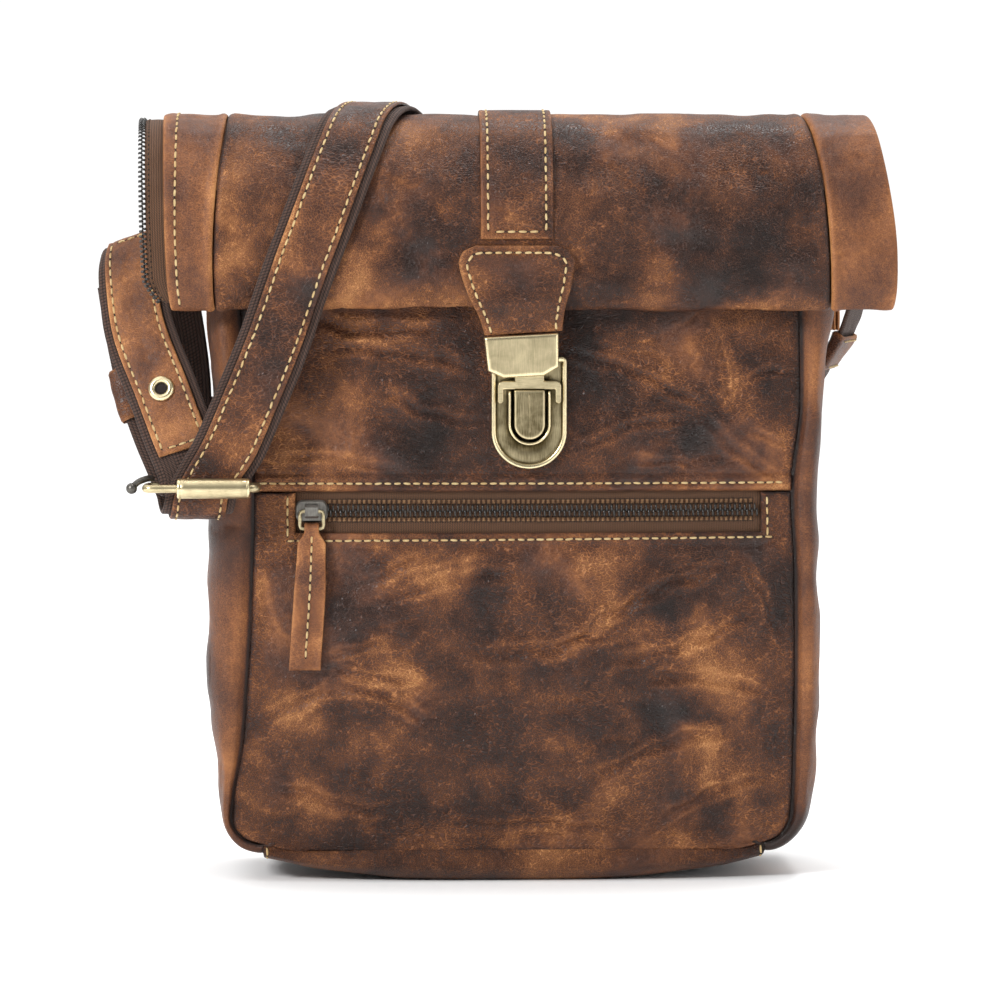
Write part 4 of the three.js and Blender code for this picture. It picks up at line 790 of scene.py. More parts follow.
BOTTOM = np.array([
    (0.035, 0, 1.35), (0, -0.3, 1), (0, -0.9, 0.5), (0.02, 0, 0.14), (0.11, 0, 0), (0.5, 0, 0), (0.89, 0, 0),
    (0.98, 0, 0.14), (1, 0.9, 0.5), (1, 0.3, 1), (0.965, 0, 1.35),
])
UNDERSIDE = Table("reach rise", (0, 0), (0.34, 0), (0.46, 0.011), (0.60, 0.027), (0.72, 0.044), (0.82, 0.071))


class Side(Enum):
    """The bag's two sides, as seen from the front."""

    LEFT = -1
    RIGHT = 1


@dataclass(frozen=True)
class BagForm:
    """The surfaces that the bag's panels lie on, from the same tables as the CAD."""

    half_width: float = 127.0
    half_depth: float = 39.0
    height: float = 316.0
    mouth: float = 238.0
    wall: float = 1.8
    lobe: float = 3.4
    seam_gap: float = 0.5
    lay_gap: float = 0.35

    def seam_reach(self, side: Side, z: Array) -> Array:
        """How far from the middle a front seam runs at a height."""
        edges = LEFT_EDGES if side is Side.LEFT else RIGHT_EDGES
        return self.half_width * edges.read("height", "seam", np.asarray(z) / self.mouth)

    def front_depth(self, x: Array, z: Array) -> Array:
        """Where the front face stands: the seam's depth, and towards the middle a crown on it."""
        x, z = np.broadcast_arrays(np.asarray(x, float), np.asarray(z, float))
        seam = FRONT.read("height", "seam", z / self.mouth)
        middle = FRONT.read("height", "middle", z / self.mouth)
        edge = np.where(x < 0, self.seam_reach(Side.LEFT, z), self.seam_reach(Side.RIGHT, z))
        reach = np.minimum(np.abs(x) / edge, 1)
        return -self.half_depth * (seam + (middle - seam) * (1 - reach**2.4))

    def on_front(self, x: Array, z: Array, lift: float = 0.0) -> Array:
        """Points on the front face, or in front of it by a lift."""
        x, z = np.broadcast_arrays(x, z)
        return np.stack([x, self.front_depth(x, z) - lift, z], axis=-1)

    def wrap(self, place: Array) -> tuple[Array, Array, Array]:
        """The path of the back, the top and the flap, read by its place among the sections.

        Args:
            place: 0 at the back's foot, 9 at the top, 13 low on the flap, 17 at its turned-in end.

        Returns:
            Points with x at 0, the directions along the path, and the outward directions.
        """
        path = np.column_stack([np.zeros(len(WRAP)), WRAP[:, 0] * self.half_depth, WRAP[:, 1] * self.height])
        place = np.asarray(place, float)
        along = unit(spline(path, np.minimum(place + 0.02, 17)) - spline(path, np.maximum(place - 0.02, 0)))
        normal = np.column_stack([np.zeros(len(place)), along[:, 2], -along[:, 1]])
        return spline(path, place), along, normal

    def wrap_reach(self, place: Array, side: Side, end: bool = False) -> Array:
        """How far from the middle the wrap's seam, or the end of its side piece, lies."""
        column = (2 if side is Side.LEFT else 3) + (2 if end else 0)
        return self.half_width * spline(WRAP[:, [column]], place, centripetal=False)[:, 0]

    def on_wrap(self, x: Array, place: Array, lift: float = 0.0) -> Array:
        """Points on the wrap: a grid from x by row and column and one place for each row."""
        centre, _, normal = self.wrap(place)
        rows = centre + normal * lift
        grid = np.repeat(rows[:, None, :], x.shape[1], axis=1)
        grid[..., 0] = x
        return grid

    def place_at(self, height: float, start: float, end: float) -> float:
        """The place between two others at which the wrap passes a height."""
        places = np.linspace(start, end, 400)
        heights = self.wrap(places)[0][:, 2]
        order = np.argsort(heights)
        return float(np.interp(height, heights[order], places[order]))


FORM = BagForm()


@dataclass
class Skin:
    """A grid surface: its rows run upwards and its columns to the right, as seen from outside."""

    across: Array
    up: Array
    points: Array
    closed: bool = False
    normals: Array = field(init=False)

    def __post_init__(self) -> None:
        """Works out the outward directions."""
        self.normals = grid_normals(self.points, self.closed)

    def lengths(self) -> tuple[Array, Array]:
        """Millimetres along each row from its start, and along each column."""
        steps = np.linalg.norm(np.diff(self.points, axis=1), axis=2)
        rises = np.linalg.norm(np.diff(self.points, axis=0), axis=2)
        along = np.concatenate([np.zeros((len(self.up), 1)), np.cumsum(steps, axis=1)], axis=1)
        rise = np.concatenate([np.zeros((1, len(self.across))), np.cumsum(rises, axis=0)], axis=0)
        return along, rise

    def rim(self, sides: str = "lrbt") -> Array:
        """Distance to the nearest of the named borders: left, right, bottom or top."""
        along, rise = self.lengths()
        found = {"l": along, "r": along[:, -1:] - along, "b": rise, "t": rise[-1:] - rise}
        return np.min([found[side] for side in sides], axis=0)

    def moved(self, distance: Array) -> "Skin":
        """The same surface moved outwards by a distance at each point."""
        return Skin(self.across, self.up, self.points + self.normals * np.asarray(distance)[..., None],
                    self.closed)

    def at(self, across: Array, up: Array) -> tuple[Array, Array]:
        """Points and outward directions at coordinates, between the grid's own."""
        across, up = np.broadcast_arrays(np.asarray(across, float), np.asarray(up, float))
        found = []
        for key, value in ((self.across, across), (self.up, up)):
            order = key if key[0] < key[-1] else -key
            value = value if key[0] < key[-1] else -value
            low = np.clip(np.searchsorted(order, value) - 1, 0, len(order) - 2)
            found.append((low, np.clip((value - order[low]) / (order[low + 1] - order[low]), 0, 1)))
        (j, s), (i, t) = found
        s, t = s[:, None], t[:, None]

        def blend(grid: Array) -> Array:
            """Reads a grid between its four nearest points."""
            return ((grid[i, j] * (1 - s) + grid[i, j + 1] * s) * (1 - t)
                    + (grid[i + 1, j] * (1 - s) + grid[i + 1, j + 1] * s) * t)

        return blend(self.points), unit(blend(self.normals))


def refined(grid: Array, up: Array, across: Array) -> Array:
    """Reads a coarse grid of points along smooth curves, first across and then up.

    Args:
        grid: the coarse points, by row and column.
        up: places counted in rows.
        across: places counted in columns.

    Returns:
        The fine grid.
    """
    rows = np.stack([spline(row, across) for row in grid])
    return np.stack([spline(rows[:, j], up) for j in range(len(across))], axis=1)


def dress_node(name: str, finish: Finish) -> None:
    """Gives a CAD node that stays shown a better material in each of its slots."""
    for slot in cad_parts[name].material_slots:
        slot.material = finish.material()
    log.info("%s: kept from the CAD", name)


def add_wall(name: str, skin: Skin, wall: float, finish: Finish, slot: str, *nodes: str,
             relief: Array | float = 0.0, tone: Array | float = 0.0, wear: Array | float = 0.0,
             hole: Array | None = None, rim: Array | None = None, round_rim: float = 1.3,
             raw: float = 0.85, body: str = BAG) -> Skin:
    """Makes a leather or cloth wall with rounded borders behind a surface.

    Near a border both faces close in by the wall's half times 1 - sqrt(1 - t * t), where t rises
    from 0 to 1 over the last millimetres, so that the border is half round.

    Args:
        name: the piece's name.
        skin: the outer surface.
        wall: the thickness.
        finish: its finish.
        slot: a material slot's name, passed on but not used.
        nodes: the CAD nodes that it stands for.
        relief: how far each point stands out from the surface.
        tone: lighter or darker, for each point.
        wear: how worn each point is. Borders are worn besides.
        hole: true for the quads that are left out.
        rim: distance to the border, where it isn't the grid's own.
        round_rim: how far in the rounding reaches.
        raw: how raw the border is: 1 for a cut edge, lighter, and 0 for a sewn seam, which gets painted shade: a
            darker tone along it.
        body: the body that it rides on.

    Returns:
        Its outer surface as made.
    """
    rim = skin.rim() if rim is None else rim
    t = np.clip(1 - rim / round_rim, 0, 1)
    drop = wall * 0.46 * (1 - np.sqrt(np.maximum(1 - t * t, 0)))
    outer = skin.moved(np.broadcast_to(relief, rim.shape) - drop)
    inner = skin.points + skin.normals * (np.broadcast_to(relief, rim.shape) * 0.6 + drop - wall)[..., None]
    rows, columns = rim.shape
    quads = grid_quads(rows, columns)
    if hole is not None:
        quads = quads[~hole]
    quads = quads.reshape(-1, 4)
    along, rise = skin.lengths()
    flow = np.stack([along - along[:, -1:] / 2, rise, np.zeros_like(rise)], axis=-1).reshape(-1, 3)
    worn = (np.broadcast_to(wear, rim.shape) + raw * (np.exp(-rim / 1.1) + 0.24 * np.exp(-rim / 4.5))).ravel()
    marks = {
        # Sewn borders get painted shade: the tone darkens within about a millimetre of the border, as in a seam's
        # groove.
        "tone": np.tile((np.broadcast_to(tone, rim.shape) - (1 - raw) * 1.7 * np.exp(-rim / 0.9)).ravel(), 2),
        "wear": np.concatenate([worn, worn * 0.3]),
        "flow": np.vstack([flow, flow]),
    }
    points = np.vstack([outer.points.reshape(-1, 3), inner.reshape(-1, 3)])
    faces = wall_faces(quads, rows * columns)
    used = np.zeros(len(points), bool)
    used[faces] = True
    number = np.cumsum(used) - 1
    marks = {mark: values[used] for mark, values in marks.items()}
    add_piece(name, points[used], [number[faces]], finish, slot, *nodes, marks=marks, body=body)
    return outer


# Stitching

@dataclass
class Stitching:
    """Rows of stitches that become one object: thread that dives into a needle hole at each end, where a dark disc
    paints the shade in the hole.
    """

    name: str
    finish: Thread
    pitch: float = 4.0
    length: float = 3.3
    radius: float = 0.46
    rows: list = field(default_factory=list)

    def along(self, points: Array, normals: Array, start: float = 0.0, end: float = 0.0) -> None:
        """Adds a row of stitches along a line on a surface.

        Args:
            points: the line's points.
            normals: the surface's outward directions there.
            start: how far from the line's start the row begins.
            end: how far before the line's end it stops.
        """
        length = path_length(points)
        count = max(int((length[-1] - start - end) / self.pitch), 1)
        pitch = (length[-1] - start - end) / count
        centres = start + pitch * (np.arange(count) + 0.5)

        def read(values: Array, at: Array) -> Array:
            """Reads values along the line by length."""
            return np.stack([np.interp(at, length, values[:, k]) for k in range(3)], axis=1)

        half = pitch * 0.35
        way = unit(read(points, centres + half) - read(points, centres - half))
        self.rows.append((read(points, centres), way, unit(read(normals, centres)), pitch / self.pitch))

    def between(self, skin: Skin, *corners: tuple[float, float], count: int = 160, **ends: float) -> None:
        """Adds a row on a surface through coordinates, each a pair across and up."""
        corners = np.array(corners, float)
        places = np.linspace(0, len(corners) - 1, count)
        line = [np.interp(places, np.arange(len(corners)), corners[:, k]) for k in range(2)]
        self.along(*skin.at(*line), **ends)

    def build(self, body: str = BAG, slot: str = "light_leather") -> None:
        """Makes the thread, and the dark discs of painted shade at the needle holes, as two objects.

        A stitch is a tube of seven rings: it stands out by 1 - t * t of its rise, and its radius is
        the root of 1 - 0.75 * t * t, where t goes from -1 to 1 along it.
        """
        rng = np.random.default_rng(len(self.name))
        centre, way, normal = (np.vstack([row[k] for row in self.rows]) for k in range(3))
        stretch = np.concatenate([np.full(len(row[0]), row[3]) for row in self.rows])
        side = np.cross(way, normal)
        way = unit(way + side * rng.normal(0, 0.05, (len(way), 1)))
        count, rings, sides = len(centre), 7, 6
        t = np.linspace(-1, 1, rings)
        angle = np.linspace(0, 2 * np.pi, sides, endpoint=False)
        half = 0.5 * self.length * stretch * rng.normal(1, 0.04, count)
        spine = (centre[:, None] + way[:, None] * (t[None, :, None] * half[:, None, None])
                 + normal[:, None] * ((0.62 * (1 - t**2) - 0.42) * self.radius * 1.35 + 0.05)[None, :, None])
        size = (self.radius * np.sqrt(1 - 0.75 * t**2))[None, :, None, None]
        ring = (side[:, None, None] * np.cos(angle)[None, None, :, None] * 1.1
                + normal[:, None, None] * np.sin(angle)[None, None, :, None])
        points = spine[:, :, None] + size * ring
        quads, low, high = tube_faces(rings, sides)
        offsets = (np.arange(count) * rings * sides)[:, None, None]
        faces = [(group[None] + offsets).reshape(-1, group.shape[1]) for group in (quads, low, high)]
        flow = np.stack(np.broadcast_arrays(
            angle[None, None, :], (t[None, :, None] + 1) * 1.6, 0.0 * half[:, None, None]), axis=-1)
        soil = rng.uniform(-0.05, 0.35, count)
        marks = {"tone": np.repeat(soil, rings * sides), "flow": flow.reshape(-1, 3)}
        add_piece(self.name, points.reshape(-1, 3), faces, self.finish, slot, marks=marks, body=body)
        # Painted shade: a dark flat cap over each stitch's end stands for the shade inside its needle hole.
        ends = np.vstack([centre + way * half[:, None] * 1.04, centre - way * half[:, None] * 1.04])
        turns = (np.tile(way, (2, 1)), np.tile(side, (2, 1)), np.tile(normal, (2, 1)))
        around = np.linspace(0, 2 * np.pi, 6, endpoint=False)
        dimple = (ends[:, None, :] + turns[0][:, None] * np.cos(around)[None, :, None] * 0.42
                  + turns[1][:, None] * np.sin(around)[None, :, None] * 0.36
                  + turns[2][:, None] * 0.07)
        peak = ends + turns[2] * 0.13
        points = np.concatenate([dimple, peak[:, None]], axis=1).reshape(-1, 3)
        fan = np.stack([np.arange(6), np.roll(np.arange(6), -1), np.full(6, 6)], axis=1)
        number = np.arange(len(ends))[:, None, None] * 7
        hexagon = np.arange(6)[::-1][None, None]
        faces = [(fan[None, :, ::-1] + number).reshape(-1, 3), (hexagon[:, :, ::-1] + number).reshape(-1, 6)]
        add_piece(self.name + "_hole_shade", points, faces, HOLE_SHADE, "dark_leather", body=body)


# Marks of use on the leather

@dataclass(frozen=True)
class Patch:
    """A cloud of lighter or darker leather, in millimetres on the front."""

    x: float
    z: float
    wide: float
    high: float
    tone: float
    turn: float = 0.0

    def paint(self, x: Array, z: Array) -> Array:
        """Its tone at points: full in the middle and gone at about one and a half radii."""
        c, s = math.cos(math.radians(self.turn)), math.sin(math.radians(self.turn))
        u = ((x - self.x) * c + (z - self.z) * s) / self.wide
        v = ((z - self.z) * c - (x - self.x) * s) / self.high
        return self.tone * np.exp(-(u * u + v * v) ** 1.3)


@dataclass(frozen=True)
class Crease:
    """A bowed furrow with a raised lip beside it, from one point on the front to another."""

    x0: float
    z0: float
    x1: float
    z1: float
    bow: float = 0.0
    width: float = 1.6
    depth: float = 0.6

    def shape(self, x: Array, z: Array) -> tuple[Array, Array]:
        """Its relief and its worn lip at points.

        Args:
            x: first coordinate.
            z: second coordinate.

        Returns:
            Millimetres in or out, and a share from 0 to 1.
        """
        dx, dz = self.x1 - self.x0, self.z1 - self.z0
        length = math.hypot(dx, dz)
        t = ((x - self.x0) * dx + (z - self.z0) * dz) / length**2
        off = ((z - self.z0) * dx - (x - self.x0) * dz) / length
        off = (off - self.bow * 4 * np.clip(t, 0, 1) * (1 - np.clip(t, 0, 1))) / self.width
        fade = ease(-0.06, 0.18, t) * (1 - ease(0.82, 1.06, t))
        furrow = np.exp(-off**2)
        lip = np.exp(-((np.abs(off) - 1.7) / 0.8) ** 2)
        return 1.7 * self.depth * fade * (0.55 * lip - furrow), fade * (lip + 0.3 * furrow)


def marked(x: Array, z: Array, patches: tuple[Patch, ...], creases: tuple[Crease, ...], seed: int
           ) -> tuple[Array, Array, Array]:
    """Relief, tone and wear of a panel from its named marks, slightly warped.

    Args:
        x: first coordinate.
        z: second coordinate.
        patches: clouds of tone.
        creases: furrows.
        seed: which warp.

    Returns:
        Relief in millimetres, tone and wear.
    """
    warp_x = x + 3.2 * waves(x, z, seed, 34)
    warp_z = z + 3.2 * waves(x, z, seed + 1, 30)
    tone = sum((patch.paint(warp_x, warp_z) for patch in patches), np.zeros_like(x))
    bent_x = x + 0.7 * waves(x, z, seed + 2, 22)
    bent_z = z + 0.7 * waves(x, z, seed + 3, 20)
    relief, wear = np.zeros_like(x), np.zeros_like(x)
    for crease in creases:
        furrow, lip = crease.shape(bent_x, bent_z)
        relief, wear = relief + furrow, wear + 0.5 * lip
    return relief, tone, wear


def crumpled(s: Array, t: Array, seed: int, amount: float = 1.0, turn: float = 0.0) -> tuple[Array, Array]:
    """Soft waves and thin random creases, as worn leather has.

    Args:
        s: first coordinate.
        t: second coordinate.
        seed: which pattern.
        amount: how strong.
        turn: the way the creases run, in radians.

    Returns:
        Relief in millimetres and wear.
    """
    soft = 0.34 * waves(s, t, seed, 62) + 0.13 * waves(s, t, seed + 1, 22)
    lines = ridges(waves(s, t, seed + 2, 52, 2.6, turn), 9) * ease(-0.2, 1.2, waves(s, t, seed + 3, 60))
    fine = ridges(waves(s, t, seed + 4, 20, 2.2, turn + 0.5), 6) * ease(0.0, 1.4, waves(s, t, seed + 5, 45))
    return amount * (1.35 * soft - 0.75 * lines - 0.26 * fine), amount * (0.5 * lines + 0.42 * fine)


def held_down(relief: Array, most: float = 0.3) -> Array:
    """Keeps a relief from standing out by more than a limit, with a soft knee."""
    return np.minimum(relief, most + 0.15 * np.tanh((relief - most) / 0.15))


# Panels

LOWER_PATCHES = (
    Patch(-70, 132, 25, 15, -0.5), Patch(-37, 126, 40, 10, 0.55, 18), Patch(-27, 109, 28, 14, -0.6),
    Patch(57, 115, 30, 9, -0.7, 28), Patch(34, 132, 12, 8, 0.5), Patch(67, 103, 14, 10, 0.5),
    Patch(-82, 74, 13, 8, 0.4), Patch(51, 43, 14, 10, 0.4), Patch(75, 52, 12, 10, 0.4),
    Patch(63, 76, 18, 8, -0.5), Patch(80, 35, 16, 10, -0.5), Patch(-54, 27, 18, 10, -0.4),
    Patch(106, 117, 9, 22, -0.6), Patch(-25, 60, 44, 22, 0.12), Patch(-45, 87, 14, 5, 0.5, -35),
    Patch(8, 92, 30, 8, -0.3, 10), Patch(-100, 110, 8, 26, -0.25), Patch(20, 28, 40, 8, -0.25),
    Patch(94, 80, 10, 14, 0.3), Patch(-95, 45, 10, 16, -0.35),
)
LOWER_CREASES = (
    Crease(-78, 93, -48, 99, 1.5, 1.3, 0.5), Crease(-76, 89, -40, 84, -2, 1.5, 0.5),
    Crease(-74, 84, -35, 66, 3, 1.7, 0.5), Crease(-60, 124, -8, 138, 4, 2.2, 0.7),
    Crease(-52, 117, 2, 128, 3, 1.8, 0.5), Crease(-20, 96, 48, 108, -5, 2.4, 0.7),
    Crease(22, 98, 84, 130, 4, 2.0, 0.7), Crease(38, 92, 98, 112, -4, 1.6, 0.5),
    Crease(52, 84, 104, 78, 3, 1.8, 0.5), Crease(-104, 66, -62, 82, 3, 2.0, 0.5),
    Crease(-98, 40, -50, 30, -3, 2.2, 0.5), Crease(30, 40, 92, 62, 5, 1.9, 0.5),
    Crease(60, 24, 104, 42, 3, 1.6, 0.5), Crease(-30, 22, 40, 20, 2, 1.8, 0.4),
    Crease(92, 136, 110, 96, 2, 1.4, 0.5), Crease(-106, 136, -96, 98, -2, 1.4, 0.4),
)
UPPER_PATCHES = (
    Patch(24, 206, 9, 26, -0.7), Patch(52, 220, 26, 12, 0.45), Patch(72, 201, 20, 6, -0.6),
    Patch(68, 186, 34, 10, -0.55), Patch(108, 214, 10, 26, -0.35), Patch(-60, 224, 40, 12, -0.3),
    Patch(-40, 190, 28, 14, -0.4), Patch(-86, 182, 20, 14, 0.2), Patch(92, 232, 16, 8, 0.25),
)
UPPER_CREASES = (
    Crease(82, 228, 88, 193, 1, 1.3, 0.6), Crease(85, 227, 91, 196, 1, 1.0, 0.4),
    Crease(82, 198, 117, 211, 4, 1.4, 0.5), Crease(18, 219, 78, 196, 3, 1.5, 0.5),
    Crease(76, 196, 112, 164, -3, 1.6, 0.5), Crease(48, 174, 72, 173, 1, 1.2, 0.4),
    Crease(-84, 232, -26, 228, -2, 2.4, 0.8), Crease(-78, 220, -18, 214, 2, 2.0, 0.6),
    Crease(-56, 204, -14, 190, -3, 1.8, 0.5), Crease(-98, 176, -50, 170, 2, 1.5, 0.4),
    Crease(24, 178, 70, 190, 4, 1.5, 0.4), Crease(96, 186, 116, 178, 1, 1.3, 0.4),
)


@dataclass
class FrontPanels:
    """The lower and upper front panels, with the pocket's opening between them."""

    hem: float = 12.21
    pocket_top: float = 161.6
    opening_left: float = -90.6
    opening_right: float = 100.6
    opening_bottom: float = 144.8
    upper_top: float = 286.0
    nominal: float = 112.0

    def grid(self, across: Array, up: Array, sharp: float) -> Array:
        """Points of the front face whose columns stay upright and meet the seams at their ends.

        A column's x is its own value plus, near the side, the distance that the seam stands off the
        nominal edge, times the value's share of that edge to a power.
        """
        reach = np.where(across[None] < 0, FORM.seam_reach(Side.LEFT, up)[:, None],
                         FORM.seam_reach(Side.RIGHT, up)[:, None]) - 0.25
        share = np.abs(across[None]) / self.nominal
        power = 2 + (sharp - 2) * ease(30, 120, up)[:, None]
        x = across[None] + np.sign(across[None]) * (reach - self.nominal) * share**power
        return FORM.on_front(x, up[:, None] + 0 * x)

    def columns(self) -> Array:
        """Column values, close together at the seams and at the opening's ends."""
        return np.concatenate([
            along_edges(-self.nominal, self.opening_left, 1.4)[:-1],
            along_edges(self.opening_left, self.opening_right, 1.15)[:-1],
            along_edges(self.opening_right, self.nominal, 1.4),
        ])

    def lower(self) -> None:
        """The pocket's face, cut out round the zip."""
        across = self.columns()
        up = np.concatenate([along_edges(self.hem, self.opening_bottom, 1.1)[:-1],
                             along_edges(self.opening_bottom, self.pocket_top - 0.5, 1.2)])
        skin = Skin(across, up, self.grid(across, up, 14))
        x, z = skin.points[..., 0], skin.points[..., 2]
        middle_x = (across[:-1] + across[1:]) / 2
        middle_z = (up[:-1] + up[1:]) / 2
        open_x = (middle_x > self.opening_left) & (middle_x < self.opening_right)
        hole = open_x[None] & (middle_z > self.opening_bottom)[:, None]
        off_x = np.maximum(np.maximum(self.opening_left - across[None], across[None] - self.opening_right), 0)
        off_z = np.maximum(self.opening_bottom - up[:, None], 0)
        opening = np.hypot(off_x, off_z)
        rim = np.minimum(skin.rim(), opening)
        marks, tone, wear = marked(x, z, LOWER_PATCHES, LOWER_CREASES, 11)
        soft, worn = crumpled(x, z, 21, 0.9, 0.35)
        held = ease(0, 12, rim)
        relief = held_down((marks + soft) * held - 0.1)
        hem = np.exp(-((opening - 5.6) / 0.9) ** 2) * -0.35 + 0.35 * ease(5.4, 3.2, opening) * 1.0
        seam = 0.45 * np.exp(-((skin.rim("lr") - 2.4) / 1.7) ** 2)
        relief = relief + hem + seam
        wear = wear * held + worn + 0.25 * np.exp(-opening / 3.0) + 0.15 * np.exp(-skin.rim("lr") / 5)
        wear = wear + 1.6 * np.exp(-opening / 1.4)
        outer = add_wall("front_lower_panel_leather", skin, FORM.wall, BODY, "body_leather",
                         "front_lower_panel", relief=relief, tone=tone, wear=wear, hole=hole, rim=rim, raw=0.0)
        thread = Stitching("pocket_stitches", CREAM, pitch=3.9, length=3.2, radius=0.42)
        low = self.opening_bottom - 3.4
        thread.between(outer, (self.opening_left - 4, low), (self.opening_right + 4.5, low + 1.2), count=400)
        for end in (self.opening_left - 3.4, self.opening_right + 2.4):
            thread.between(outer, (end, self.opening_bottom - 2), (end, self.pocket_top - 2))
        thread.build()

    def upper(self) -> None:
        """The panel above the zip, whose lower edge is folded under and stitched."""
        across = self.columns()
        up = np.concatenate([along_edges(self.pocket_top, 172, 0.8)[:-1], np.arange(172, 286, 1.2), [286.0]])
        skin = Skin(across, up, self.grid(across, up, 8))
        x, z = skin.points[..., 0], skin.points[..., 2]
        marks, tone, wear = marked(x, z, UPPER_PATCHES, UPPER_CREASES, 31)
        soft, worn = crumpled(x, z, 41, 1.0, 0.15)
        rim = skin.rim()
        held = ease(0, 12, rim)
        relief = held_down((marks + soft) * held - 0.1)
        above = z - self.pocket_top
        fold = 0.75 * ease(7.2, 5.2, above) * ease(-0.5, 1.6, above)
        fold -= 0.4 * np.exp(-((above - 7.3) / 0.8) ** 2) + 0.25 * np.exp(-((above - 3.4) / 0.6) ** 2)
        fold += 0.14 * waves(x, z, 44, 12) * ease(8, 4, above)
        seam = 0.45 * np.exp(-((skin.rim("lr") - 2.4) / 1.7) ** 2)
        wear = wear * held + worn + 0.35 * np.exp(-above / 2.2)
        wear = wear + 1.6 * np.exp(-above / 1.4)
        outer = add_wall("front_upper_panel_leather", skin, FORM.wall, UPPER, "dark_leather",
                         "front_upper_panel", relief=relief + fold + seam, tone=tone, wear=wear, rim=rim,
                         raw=0.0)
        thread = Stitching("hem_stitches", CREAM, pitch=3.9, length=3.2, radius=0.42)
        left, right = across[0] + 3, across[-1] - 3
        thread.between(outer, (left, self.pocket_top + 3.4), (right, self.pocket_top + 3.4), count=500)
        thread.build()

    def build(self) -> None:
        """Makes both panels and their stitches."""
        self.lower()
        self.upper()


@dataclass
class Gusset:
    """One side of the body: a strip that swells out beside the front seam and the back seam."""

    side: Side
    name: str

    def grid(self) -> Array:
        """The coarse rows of points, as the CAD has them, with an allowance behind each seam."""
        edges = LEFT_EDGES if self.side is Side.LEFT else RIGHT_EDGES
        sign = self.side.value
        rows = []
        for seam, height, out_share, out_height, tuck in zip(*(
                edges.columns[key][2:] for key in ("seam", "height", "side", "side_height", "tuck"))):
            z = height * FORM.mouth
            front_x = seam * FORM.half_width + 0.25
            front_y = float(FORM.front_depth(sign * seam * FORM.half_width, z))
            place = np.array([FORM.place_at(z, 0, 8)])
            back_x = FORM.wrap_reach(place, self.side)[0] + 0.7
            back_y = FORM.wrap(place)[0][0, 1] - tuck * FORM.half_depth
            out_x, out_z = out_share * FORM.half_width, out_height * FORM.mouth
            lobe = min(FORM.lobe, (out_x - front_x) * 0.3 + 0.8)
            across, out, swell = GUSSET.T
            seam_x = front_x + (back_x - front_x) * across
            x = seam_x + (out_x - seam_x) * out
            y = front_y + (back_y - front_y) * across - swell * lobe
            row = np.column_stack([sign * x, y, z + (out_z - z) * out])
            hidden = np.array([-4.5 * sign, 2.7, 0])
            row = np.vstack([row[0] + hidden, row, row[-1] + hidden * [1, -1, 1]])
            rows.append(row if sign > 0 else row[::-1])
        end = rows[0] + [-7 * sign, 0, 2.8]
        return np.array([end, *rows])

    def build(self) -> None:
        """Makes the strip, softly dented, with painted shade along its seams and darker towards its foot."""
        coarse = self.grid()
        places = np.linspace(0, 12, 170)
        rows = np.linspace(0, 12, 250)
        skin = Skin(places, rows, refined(coarse, rows, places))
        y, z = skin.points[..., 1], skin.points[..., 2]
        seed = 61 if self.side is Side.LEFT else 71
        soft, worn = crumpled(y, z, seed, 0.8, 1.2)
        rim = np.maximum(skin.rim() - 5.2, 0)
        relief = soft * ease(0, 10, rim) + 0.25 * waves(y, z, seed + 9, 34) * ease(0, 8, rim)
        crown = np.exp(-((rim - 5.5) / 3.2) ** 2)
        tone = 0.22 * waves(y, z, seed + 8, 60) - 0.3 * ease(60, 0, z) - 0.25 * ease(12, 26, rim)
        # Painted shade: a dark line 5 mm in from each border, where the seam's groove lies.
        tone = tone - 1.3 * np.exp(-((skin.rim("lr") - 5.0) / 1.0) ** 2)
        add_wall(self.name + "_leather", skin, FORM.wall, SIDE, "light_leather", self.name,
                 relief=held_down(relief, 0.5), tone=tone, wear=worn * 0.7 + 0.22 * crown, raw=0.0)


